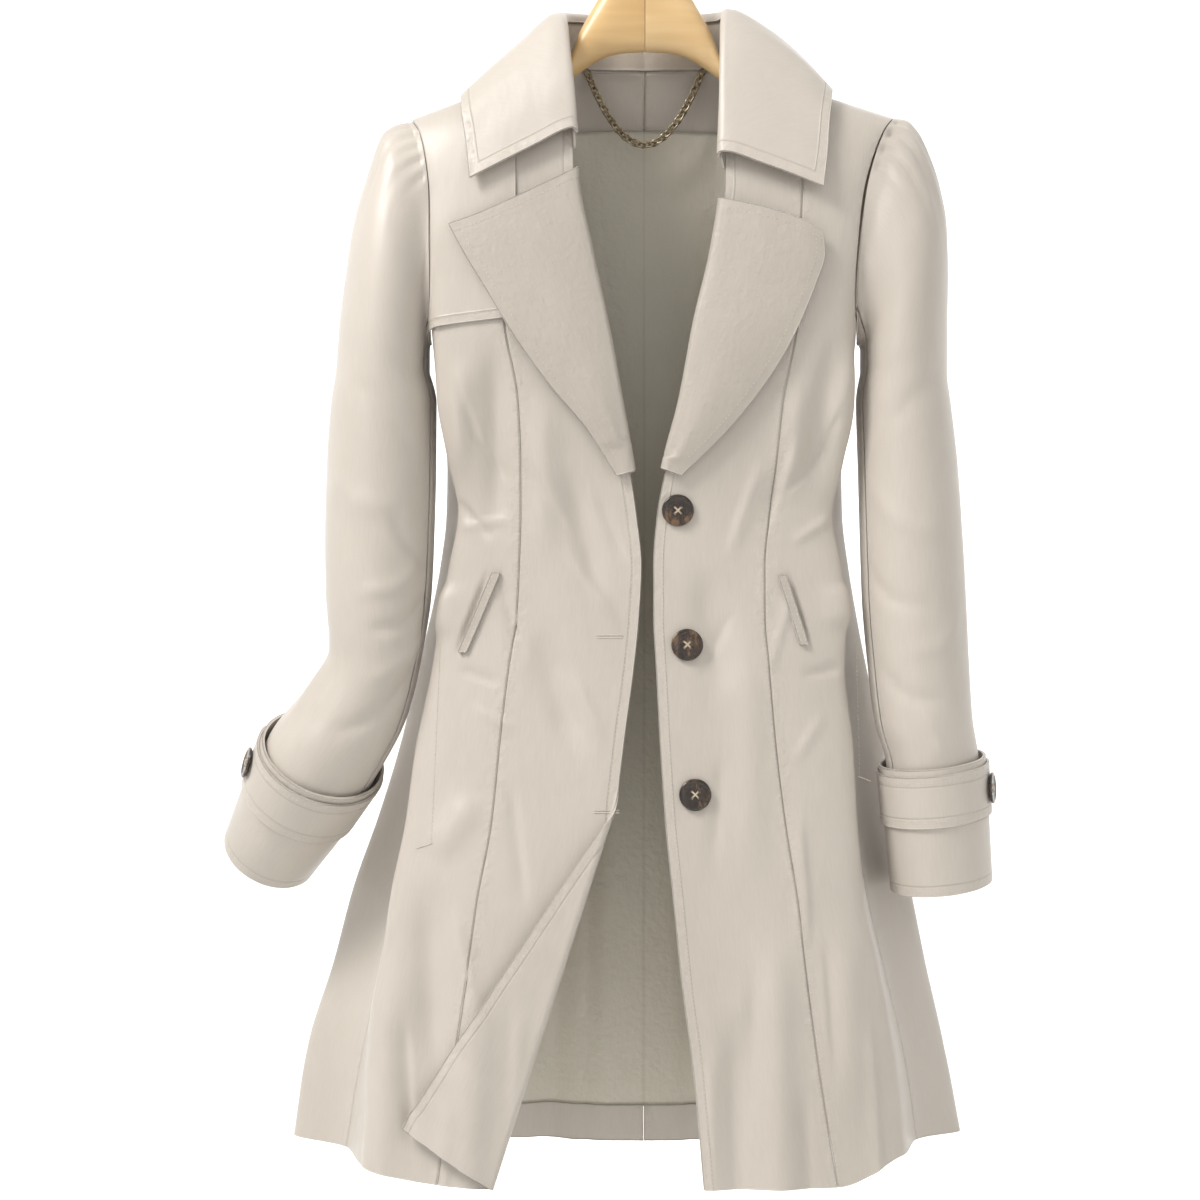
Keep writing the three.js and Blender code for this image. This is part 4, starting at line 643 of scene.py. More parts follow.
@dataclass
class Wall:
    """A closed wall of cloth between two grids of points, in millimetres, named as its CAD node."""

    name: str
    outer: Array
    inner: Array
    ring: bool = False
    marks: dict[str, Array | float] = field(default_factory=dict)
    bulge: float = 0.3
    bulged: tuple[bool, bool, bool, bool] = (True, True, True, True)

    def _cloth_places(self) -> Array:
        """Length along and down the cloth at each point, for the weave."""
        middle = (self.outer + self.inner) / 2
        u, v = lengths_along(middle), lengths_along(middle.transpose(1, 0, 2)).T
        return np.stack([u - u.mean(axis=1, keepdims=True), v], axis=-1)

    def area(self) -> float:
        """Area of one side of the cloth, in square metres."""
        p = (self.outer + self.inner) / 2
        a, b = p[1:, :-1] - p[:-1, :-1], p[:-1, 1:] - p[:-1, :-1]
        c, d = p[1:, :-1] - p[1:, 1:], p[:-1, 1:] - p[1:, 1:]
        both = np.linalg.norm(np.cross(a, b), axis=-1) + np.linalg.norm(np.cross(c, d), axis=-1)
        return float(both.sum()) / 2 * 1e-6

    def flat(self) -> tuple[float, float, float]:
        """Width, length and area of the cut, in metres."""
        places = self._cloth_places()
        width = float(np.ptp(places[..., 0], axis=1).max()) * MM
        length = float(np.ptp(places[..., 1], axis=0).max()) * MM
        return width, length, min(self.area(), width * length)

    def build(self) -> bpy.types.Object:
        """Makes the wall's mesh, with the cloth's own places as its UV map."""
        outer, inner = self.outer, self.inner
        places = self._cloth_places()
        marks = {key: np.broadcast_to(value, outer.shape[:2]) for key, value in self.marks.items()}
        if self.ring:
            step = np.linalg.norm(outer[:, :1] - outer[:, -1:], axis=-1)
            last = places[:, -1:] + np.stack([step, np.zeros_like(step)], axis=-1)
            outer, inner = self._closed(outer), self._closed(inner)
            places = np.concatenate([places, last], axis=1)
            marks = {key: self._closed(value) for key, value in marks.items()}
        rows, columns = outer.shape[:2]
        size = rows * columns
        index = np.arange(size).reshape(rows, columns)
        points = [outer.reshape(-1, 3), inner.reshape(-1, 3)]
        uv = [places.reshape(-1, 2)] * 2
        extra = {key: [value.reshape(-1)] * 2 for key, value in marks.items()}
        quads = [self._faces(index), self._faces(index + size)[:, ::-1]]
        total = 2 * size
        rims = [
            (index[0, ::-1], outer[0] - outer[1], self.bulged[0]),
            (index[-1, :], outer[-1] - outer[-2], self.bulged[1]),
        ]
        if not self.ring:
            rims += [
                (index[:, 0], outer[:, 0] - outer[:, 1], self.bulged[2]),
                (index[::-1, -1], outer[:, -1] - outer[:, -2], self.bulged[3]),
            ]
        for run, away, bulged in rims:
            away = unit(away)
            if run[0] > run[-1]:
                away = away[::-1]
            flat_outer, flat_inner = outer.reshape(-1, 3)[run], inner.reshape(-1, 3)[run]
            thick = np.linalg.norm(flat_outer - flat_inner, axis=-1, keepdims=True)
            round_out = np.full((len(run), 1), self.bulge if bulged else 0.0)
            if not self.ring:
                round_out[[0, -1]] = 0.0
            middle = (flat_outer + flat_inner) / 2 + away * thick * round_out
            points.append(middle)
            uv.append(places.reshape(-1, 2)[run])
            for key, value in marks.items():
                extra[key].append(value.reshape(-1)[run])
            mids = np.arange(total, total + len(run))
            total += len(run)
            quads.append(np.stack([run[:-1], run[1:], mids[1:], mids[:-1]], axis=-1))
            quads.append(np.stack([mids[:-1], mids[1:], run[1:] + size, run[:-1] + size], axis=-1))
        return make_mesh(
            self.name + "_cloth",
            np.concatenate(points) * MM,
            np.concatenate(quads),
            np.concatenate(uv) * MM,
            {key: np.concatenate(value) for key, value in extra.items()},
        )

    @staticmethod
    def _closed(grid: Array) -> Array:
        """A ring's grid with its first column once more at the end."""
        return np.concatenate([grid, grid[:, :1]], axis=1)

    @staticmethod
    def _faces(index: Array) -> Array:
        """Four-sided faces of a grid of vertex numbers."""
        corners = [index[:-1, :-1], index[1:, :-1], index[1:, 1:], index[:-1, 1:]]
        return np.stack([corner.ravel() for corner in corners], axis=-1)


def make_mesh(
    name: str,
    points: Array,
    faces: Array,
    uv: Optional[Array] = None,
    marks: Optional[dict[str, Array]] = None,
) -> bpy.types.Object:
    """Makes one closed mesh whose faces point outwards.

    Args:
        name: The piece's name.
        points: Vertices, in metres.
        faces: Rows of vertex numbers.
        uv: A place on the cloth for each vertex, in metres.
        marks: Named values for each vertex.

    Returns:
        The linked object.
    """
    faces = np.asarray(faces)
    a, b, c = points[faces[:, 0]], points[faces[:, 1]], points[faces[:, 2]]
    volume = float(np.einsum("ij,ij->i", a, np.cross(b, c)).sum())
    if faces.shape[1] == 4:
        d = points[faces[:, 3]]
        volume += float(np.einsum("ij,ij->i", a, np.cross(c, d)).sum())
    if volume < 0:
        faces = faces[:, ::-1]
    mesh = bpy.data.meshes.new(name)
    mesh.from_pydata(points.tolist(), [], faces.tolist())
    mesh.polygons.foreach_set("use_smooth", [True] * len(mesh.polygons))
    if uv is not None:
        layer = mesh.uv_layers.new(name="Cloth")
        corners = np.empty(len(mesh.loops), np.int32)
        mesh.loops.foreach_get("vertex_index", corners)
        layer.data.foreach_set("uv", uv[corners].astype(np.float32).ravel())
    for key, value in (marks or {}).items():
        attribute = mesh.attributes.new(key, "FLOAT", "POINT")
        attribute.data.foreach_set("value", value.astype(np.float32))
    obj = bpy.data.objects.new(name, merged(mesh))
    bpy.context.scene.collection.objects.link(obj)
    return obj


def merged(mesh: bpy.types.Mesh) -> bpy.types.Mesh:
    """Joins vertices that lie on each other, as at a tube's seam and a wall's corners."""
    work = bmesh.new()
    work.from_mesh(mesh)
    bmesh.ops.remove_doubles(work, verts=work.verts, dist=2e-6)
    work.to_mesh(mesh)
    work.free()
    return mesh


def sheet_wall(
    name: str,
    surface: Callable[[Array, Array], Array],
    us: Array,
    vs: Array,
    thickness: float,
    lift: float = 0.0,
    flip: bool = False,
    ring: bool = False,
) -> Wall:
    """A wall whose outer face is a surface, with its normals from the grid itself.

    Args:
        name: The piece's name.
        surface: Gives points for grids of u and v.
        us: Places across.
        vs: Places down.
        thickness: Thickness of the cloth.
        lift: How far the outer face stands off the surface.
        flip: Whether the normals point the other way.
        ring: Whether the last column meets the first.

    Returns:
        The wall.
    """
    u, v = np.meshgrid(us, vs)
    points = surface(u, v)
    if ring:
        wrapped = np.concatenate([points[:, -2:], points, points[:, :2]], axis=1)
        normal = grid_normals(wrapped, flip)[:, 2:-2]
    else:
        normal = grid_normals(points, flip)
    return Wall(name, points + normal * lift, points + normal * (lift - thickness), ring)


# The coat's pieces


@dataclass
class Panels:
    """The body's six panels and the lining of the back."""

    forms: dict[Side, BodyForm]
    rows: Array = field(
        default_factory=lambda: np.concatenate([[0, 2, 5], np.arange(9, HEM_V, 3.3), [HEM_V - 1, HEM_V]])
    )
    lining_clear: float = 2.6
    lining_foot: float = 868.0

    def half_seam(self, side: Side, s: float, v: Array) -> Array:
        """Half a seam's gap, as a step across."""
        base = self.forms[side].large
        s_all = np.full_like(v, s)
        width = np.linalg.norm(base.at(s_all + 0.5, v) - base.at(s_all - 0.5, v), axis=-1)
        return SEAM / 2 / np.maximum(width, 0.2)

    def _side_gap(self, side: Side, v: Array) -> Array:
        """Half the side seam's gap, as a step across, from the underarm down."""
        return np.where(v >= UNDERARM_V, self.half_seam(side, GULLY, v), 0)

    def _panel(
        self,
        name: str,
        side: Side,
        start: Callable[[Array], Array],
        stop: Callable[[Array], Array],
        shares: Array,
        seams: tuple[bool, bool],
        centre: bool = False,
    ) -> Wall:
        """A panel between two lines down the cloth.

        Args:
            name: The piece's name.
            side: Which half.
            start: Place across at which it starts, for each row.
            stop: Place across at which it stops.
            shares: Its columns, as shares of its width.
            seams: Whether it is sewn on at its start and at its stop.
            centre: Whether it ends on the middle of the back.

        Returns:
            The panel's wall.
        """
        v = self.rows[:, None]
        a, b = start(self.rows)[:, None], stop(self.rows)[:, None]
        s = a + (b - a) * shares[None, :]
        points = self.forms[side].shaped.at(s, np.broadcast_to(v, s.shape))
        normal = grid_normals(points, side is Side.LEFT)
        width = np.linalg.norm(np.diff(points, axis=1), axis=-1).sum(axis=1)[:, None]
        reach_start, reach_stop = shares[None, :] * width, (1 - shares[None, :]) * width
        seam_mm = np.full_like(reach_start, FAR)
        for reach, sewn, seed in ((reach_start, seams[0], 3), (reach_stop, seams[1], 4)):
            if sewn:
                points = points + normal * sewn_lift(reach, v, seed)[..., None]
                seam_mm = np.minimum(seam_mm, reach)
        marks = {"seam_mm": seam_mm, "edge_mm": FAR if seams[0] else reach_start}
        bulged = (False, True, not seams[0], False)
        return Wall(name, points, points - self._cut(normal, centre) * SHELL, marks=marks, bulged=bulged)

    @staticmethod
    def _cut(normal: Array, centre: bool = False) -> Array:
        """Steps through the cloth that stay flat at the shoulder seam and at the centre back."""
        cut = normal.copy()
        cut[0, :, 1] = 0
        if centre:
            cut[:, -1, 0] = 0
        return cut / (cut**2).sum(axis=-1, keepdims=True)

    def front_side(self, side: Side) -> Wall:
        """The side panel of a front, from the princess seam to the armhole and side seam."""
        return self._panel(
            f"front_side_{side.letter}",
            side,
            lambda v: PRINCESS + self.half_seam(side, PRINCESS, v),
            lambda v: lerp(SIDE, GULLY, armhole_reach(v)) - self._side_gap(side, v),
            edged(64, (0.004, 0.012, 0.025), (0.01, 0.02)),
            (True, True),
        )

    def back(self, side: Side) -> Wall:
        """A half of the back."""
        return self._panel(
            f"back_{side.letter}",
            side,
            lambda v: lerp(BACK_ARM, GULLY, armhole_reach(v)) + self._side_gap(side, v),
            lambda v: CENTRE - self.half_seam(side, CENTRE - 1, v),
            edged(66, (0.003, 0.008), (0.003, 0.008, 0.015)),
            (True, True),
            centre=True,
        )

    def front_centre_left(self) -> Wall:
        """The left front, from its edge to the princess seam."""
        return self._panel(
            "front_centre_L",
            Side.LEFT,
            lambda v: np.zeros_like(v) + EDGE,
            lambda v: PRINCESS - self.half_seam(Side.LEFT, PRINCESS, v),
            edged(34, (0.008, 0.02), (0.004, 0.012, 0.025)),
            (False, True),
        )

    def front_centre_right(self) -> Wall:
        """The right front, its lower corner turned out along a line."""
        form = self.forms[Side.RIGHT]
        dx, dz = TURN_FOOT[0] - TURN_TOP[0], TURN_FOOT[1] - TURN_TOP[1]
        length = math.hypot(dx, dz)
        across = (-dz / length, dx / length)

        def past(points: Array) -> Array:
            shift_x, shift_z = points[..., 0] - TURN_TOP[0], points[..., 2] - TURN_TOP[1]
            return shift_x * across[0] + shift_z * across[1] + TURN_RADIUS

        v = self.rows
        least = np.full_like(v, 12.0)
        low, high = least.copy(), np.full_like(v, PRINCESS)
        for _ in range(16):
            middle = (low + high) / 2
            beyond = past(form.large.at(middle, v)) > 0
            low, high = np.where(beyond, middle, low), np.where(beyond, high, middle)
        turn = np.where(past(form.large.at(least, v)) < 0, least, np.minimum(low, PRINCESS - 6))
        width = np.linalg.norm(form.large.at(turn, v) - form.large.at(turn - 1, v), axis=-1)
        arc = np.maximum(turn - math.pi * TURN_RADIUS / np.maximum(width, 0.3) * 1.05, turn * 0.35)
        end = PRINCESS - self.half_seam(Side.RIGHT, PRINCESS, v)
        flap = edged(16, (0.02, 0.05))[None, :-1]
        bend = np.linspace(0, 1, 9)[None, :-1]
        rest = edged(30, (), (0.004, 0.012, 0.025))[None, :]
        past_turn = turn[:, None] + (end - turn)[:, None] * rest
        s = np.concatenate([arc[:, None] * flap, lerp(arc, turn, bend.T).T, past_turn], axis=1)
        flat = form.shaped.at(s, np.broadcast_to(v[:, None], s.shape))
        distance = np.maximum(past(flat), 0)
        round_length = math.pi * TURN_RADIUS
        angle = np.minimum(distance, round_length) / TURN_RADIUS
        beyond = np.maximum(0, distance - round_length)
        out = TURN_RADIUS * np.sin(angle) - beyond
        forward = TURN_RADIUS * (1 - np.cos(angle))
        foot_x, foot_z = flat[..., 0] - across[0] * distance, flat[..., 2] - across[1] * distance
        x, z = foot_x + across[0] * out, foot_z + across[1] * out
        depth = form.front_depth(np.where(out > 0, foot_x, x), np.where(out > 0, foot_z, z))
        wave = 1.6 * smooth(beyond / 25) * ripple(flat[..., 2], 71, 120)
        turned = np.stack([x, depth - forward - 2.5 * smooth(beyond / 40) - np.abs(wave), z], axis=-1)
        points = np.where((distance > 0)[..., None], turned, flat)
        normal = grid_normals(points)
        from_edge = lengths_along(points)
        to_seam = from_edge[:, -1:] - from_edge
        points = points + normal * sewn_lift(to_seam, v[:, None], 8)[..., None]
        marks = {"seam_mm": to_seam, "edge_mm": from_edge}
        inner = points - self._cut(normal) * SHELL
        return Wall("front_centre_R", points, inner, marks=marks, bulged=(False, True, True, False))

    def lining(self) -> Wall:
        """The lining of the back, on the inside, where the open front shows it."""
        v = np.concatenate([np.arange(68, self.lining_foot, 4.0), [self.lining_foot]])
        half = np.linspace(0, 6 / 9, 30)
        shares = np.concatenate([-half[:0:-1], half])
        points = np.empty((len(v), len(shares), 3))
        start = lerp(BACK_ARM, GULLY, armhole_reach(v))
        for side, chosen in ((Side.RIGHT, shares < 0), (Side.LEFT, shares >= 0)):
            s = CENTRE - np.abs(shares[chosen])[None, :] * (CENTRE - start)[:, None]
            points[:, chosen] = self.forms[side].shaped.at(s, np.broadcast_to(v[:, None], s.shape))
        normal = grid_normals(points)
        middle = np.abs(shares) * 250
        inside = points - normal * (SHELL + self.lining_clear)
        marks = {"seam_mm": middle[None, :]}
        return Wall("lining_back", inside, inside - normal * LINING, marks=marks)

    def walls(self) -> list[Wall]:
        """All the panels."""
        made = [self.front_centre_right(), self.front_centre_left()]
        for side in Side:
            made += [self.front_side(side), self.back(side)]
        return made + [self.lining()]


@dataclass
class LaidOn:
    """What lies on the fronts: the storm flap, the pocket welts and the lapels."""

    forms: dict[Side, BodyForm]
    flap_rise: float = SEAM + SHELL + 0.1
    welt_width: float = 6.5
    flap_top: float = 9.0
    flap_foot: float = 220.0
    flap_slant: float = 16.0

    # x and z of the top and of the foot of each welt's middle line
    WELTS = {Side.RIGHT: (-117, -566, -143, -628), Side.LEFT: (106, -568, 123, -622)}
    # Height on the front edge, and x and z on the free edge, from the top down
    LAPELS = {
        Side.RIGHT: [
            (-250, -154, -294),
            (-285, -141, -318),
            (-322, -124, -346),
            (-362, -101, -384),
            (-402, -74, -421),
            (-442, -46, -454),
            (-486, -23, -490),
        ],
        Side.LEFT: [
            (-274, 137, -300),
            (-300, 138.5, -318),
            (-330, 131, -342),
            (-364, 112, -386),
            (-402, 88, -424),
            (-442, 58, -460),
            (-484, 27, -490),
        ],
    }
    # How far the top edge bows, up or down, and the section over the roll as reach and height
    LAPEL_BOW = {Side.RIGHT: -8.0, Side.LEFT: 9.0}
    ROLL_SECTION = [(3.7, -1.4), (1.4, -0.4), (0, 2.6), (1.8, 6.6), (7, 8.6)]

    def storm_flap(self) -> Wall:
        """The right front's storm flap, its lower edge free."""
        form = self.forms[Side.RIGHT]
        inner = lerp(12.0, PRINCESS, 4 / 5)
        u = np.linspace(-1, 0.97, 40)
        v_share = edged(64, (), (0.003, 0.01))
        foot = self.flap_foot + self.flap_slant * lerp(0.45, 1.0, np.clip(u, 0, 1))
        v = self.flap_top + (foot - self.flap_top)[None, :] * v_share[:, None]
        arm = lerp(SIDE, GULLY, armhole_reach(v))
        reach = np.where(u[None, :] < 0, PRINCESS - inner, arm - PRINCESS)
        s = PRINCESS + reach * u[None, :]
        points = form.shaped.at(s, v)
        normal = grid_normals(points)
        free = smooth(1 - (foot[None, :] - v) / 40)
        rise = self.flap_rise + free * (0.8 + 0.7 * ripple(s, 33, 46))
        edge_mm = np.broadcast_to(foot[None, :] - v, v.shape)
        return Wall(
            "storm_flap",
            points + normal * rise[..., None],
            points + normal * (rise - SHELL)[..., None],
            marks={"edge_mm": edge_mm, "seam_mm": FAR},
        )

    def pocket_welt(self, side: Side) -> Wall:
        """A slanted welt at the waist."""
        form = self.forms[side]
        x0, z0, x1, z1 = self.WELTS[side]
        us, vs = np.linspace(-0.5, 0.5, 8), edged(26, (0.01, 0.03), (0.01, 0.03))

        def surface(u: Array, v: Array) -> Array:
            x = lerp(x0, x1, v) + side.sign * u * self.welt_width
            z = lerp(z0, z1, v)
            return np.stack([x, form.front_depth(x, z, form.large), z], axis=-1)

        return sheet_wall(
            f"pocket_welt_{side.letter}", surface, us, vs, LAYERED, SEAM + LAYERED + 0.3, side is Side.LEFT
        )

    def lapel_surface(self, side: Side, u: Array, t: Array) -> Array:
        """Points of a lapel: u from the front edge round the roll to the free edge, t down."""
        form = self.forms[side]
        rows = np.array(self.LAPELS[side], float)
        knots = np.linspace(0, 1, len(rows))
        shape = u.shape
        u, t = u.ravel(), t.ravel()
        roll_z, free_x, free_z = (spline(knots, rows[:, k], t) for k in range(3))
        top = float(shoulder_height(side, np.array(NECK_HALF)))
        drop = (top - roll_z) / (top - BUST_Z)
        v = np.where(roll_z > BUST_Z, spline(DROPS, ROW_V[: len(DROPS)], drop), BUST_V + BUST_Z - roll_z)
        edge = form.plain.at(np.zeros_like(v), v)
        roll_x, roll_h = edge[:, 0] - side.sign * 5, edge[:, 2]
        free_z = free_z + self.LAPEL_BOW[side] * np.sin(math.pi * np.clip(u, 0, 1)) * smooth(1 - 4 * t)
        width = np.hypot(free_x - roll_x, free_z - roll_h)
        scale = np.minimum(1, width / 40)
        out, forward = [], []
        for reach, ahead in self.ROLL_SECTION:
            out.append(np.full_like(width, reach))
            forward.append(ahead * lerp(0.8, 1, scale) if ahead > 0 else np.full_like(width, ahead))
        wide = width > 24
        out += [lerp(0.5, 0.45, scale) * width, 0.78 * width, width]
        forward += [lerp(6.8, 11.5, scale), lerp(6.6, 10.0, scale), lerp(6.2, 8.0, scale)]
        narrow_out = out[:5] + [np.maximum(width, 9.5)]
        narrow_forward = forward[:5] + [np.full_like(width, 6.6)]
        share = np.clip(u, 0, 1)
        reach = np.where(
            wide,
            spline_pairs(np.arange(8), np.array(out), share * 7),
            spline_pairs(np.arange(6), np.array(narrow_out), share * 5),
        )
        ahead = np.where(
            wide,
            spline_pairs(np.arange(8), np.array(forward), share * 7),
            spline_pairs(np.arange(6), np.array(narrow_forward), share * 5),
        )
        x = lerp(roll_x, free_x, reach / width)
        z = lerp(roll_h, free_z, reach / width)
        y = form.front_depth(x, z, form.plain) - ahead
        return np.stack([x, y, z], axis=-1).reshape(*shape, 3)

    def lapel(self, side: Side) -> Wall:
        """A lapel, folded back from the front edge."""
        us, ts = edged(44, (), (0.005, 0.015)), edged(60, (0.004, 0.012), (0.004,))
        surface = partial(self.lapel_surface, side)
        return sheet_wall(f"lapel_{side.letter}", surface, us, ts, LAYERED, flip=side is Side.LEFT)

    def walls(self) -> list[Wall]:
        """All the pieces laid on the fronts."""
        made = [self.storm_flap()]
        for side in Side:
            made += [self.pocket_welt(side), self.lapel(side)]
        return made


@dataclass
class Collar:
    """The collar's stand and its leaf."""

    forms: dict[Side, BodyForm]
    stand_thickness: float = 2.0
    fold_radius: float = 4.0

    # side, place on the neckline, top of the stand, outer edge of the leaf, swell of the leaf
    STATIONS = [
        (Side.RIGHT, -98, (-57, -57, -223), (-137, -62, -259), 1),
        (Side.RIGHT, -77, (-60, -48, -187), (-140, -52, -232), 2),
        (Side.RIGHT, -41, (-63.5, -31, -152), (-144, -40, -205), 3),
        (Side.RIGHT, -20, (-65.5, -16, -131), (-145, -18, -188), 3),
        (Side.RIGHT, 0, (-66.5, 1, -123), (-143, 6, -184), 3),
        (Side.RIGHT, 16, (-61, 20, -119), (-126, 38, -193), 5),
        (Side.RIGHT, 42, (-40, 38, -116.5), (-75, 58, -200), 6),
        (Side.LEFT, 80, (0, 46, -115), (0, 64, -203), 6),
        (Side.LEFT, 42, (40, 38, -116.5), (75, 58, -200), 6),
        (Side.LEFT, 16, (61, 20, -118), (128, 38, -188), 7),
        (Side.LEFT, 0, (64.5, 1, -120), (146, 6, -179), 8),
        (Side.LEFT, -20, (63.5, -16, -131), (147, -18, -183), 8),
        (Side.LEFT, -41, (62.5, -31, -155), (144, -43, -203), 6),
        (Side.LEFT, -77, (61, -48, -200), (141, -55, -236), 4),
        (Side.LEFT, -114, (59, -60, -242), (137, -65, -266), 2),
    ]
    BACK_STATION = 7

    def _foot(self, u: Array) -> Array:
        """Place just clear of the neckline, on which the stand's lower edge lies."""
        knots = np.arange(len(self.STATIONS))
        neck = spline(knots, [station[1] for station in self.STATIONS], u)
        points = np.empty((*u.shape, 3))
        for side in Side:
            chosen = (u <= self.BACK_STATION) == (side is Side.RIGHT)
            plain = self.forms[side].plain
            place = neck[chosen]
            edge = plain.at(np.zeros_like(place), np.maximum(-place, 0))
            back = plain.at(NECK_SIDE + np.maximum(place, 0), np.zeros_like(place))
            foot = np.where((place < 0)[:, None], edge, back)
            foot[:, 0] -= side.sign * np.where(place < 0, 0.6 * smooth(-place / 20), 0)
            foot[:, 2] += 0.45
            points[chosen] = foot
        return points

    def _places(self, us: Array) -> tuple[Array, Array, Array, Array]:
        """Foot, fold, free edge and swell at each place round the neck."""
        knots = np.arange(len(self.STATIONS))
        fold = spline(knots, np.array([station[2] for station in self.STATIONS], float), us)
        free = spline(knots, np.array([station[3] for station in self.STATIONS], float), us)
        swell = spline(knots, [station[4] for station in self.STATIONS], us)
        return self._foot(us), fold, free, swell

    def stand(self) -> Wall:
        """The stand, from the neckline up to just short of the fold."""
        us, vs = np.linspace(0, len(self.STATIONS) - 1, 190), np.linspace(0, 0.93, 16)
        foot, fold, _, _ = self._places(us)
        points = foot[None] + (fold - foot)[None] * vs[:, None, None]
        normal = grid_normals(points, True)
        return Wall("collar_stand", points, points - normal * self.stand_thickness)

    def leaf(self) -> Wall:
        """The leaf: up from the stand, over the fold and down to its free edge."""
        us = edged(190, (0.001, 0.003), (0.001, 0.003)) * (len(self.STATIONS) - 1)
        vs = np.concatenate([np.linspace(0, 0.24, 16), np.linspace(0.26, 1, 30), [0.99, 0.995]])
        vs.sort()
        foot, fold, free, swell = self._places(us)
        up = unit(fold - foot)
        fall = free - fold
        out = unit(fall - up * (fall * up).sum(-1, keepdims=True))
        away = unit(fall)
        lift = unit(up - away * (up * away).sum(-1, keepdims=True))
        tall = np.linalg.norm(fold - foot, axis=-1, keepdims=True)
        radius = self.fold_radius
        start = foot + up * (0.93 * tall + 0.7) - out * self.stand_thickness
        crest = fold + up * radius + out * 1.2
        shoulder = fold + up * radius * 0.75 + out * 6.5
        rise = start + (fold + up * radius * 0.6 - start) * 0.75 - out
        third = fold + fall * 0.36 + lift * (swell + 2.5)[:, None]
        late = fold + fall * 0.7 + lift * (swell * 0.8 + 1)[:, None]
        knots = [0, 0.06, 0.13, 0.22, 0.48, 0.75, 1]
        points = spline(knots, np.stack([start, rise, crest, shoulder, third, late, free]), vs)
        normal = grid_normals(points, True)
        free_mm = (1 - vs)[:, None] * np.linalg.norm(fall, axis=-1)[None] * 1.3
        along = lengths_along(points)
        ends = np.minimum(along, along[:, -1:] - along)
        marks = {"edge_mm": np.minimum(free_mm, ends), "seam_mm": FAR}
        return Wall("collar_leaf", points, points - normal * LAYERED, marks=marks)

    def walls(self) -> list[Wall]:
        """Both pieces of the collar."""
        return [self.stand(), self.leaf()]


@dataclass(frozen=True)
class ArmCrease:
    """A crease of a sleeve along places given as degrees round it and rings down it."""

    path: tuple[tuple[float, float], ...]
    width: float
    height: float


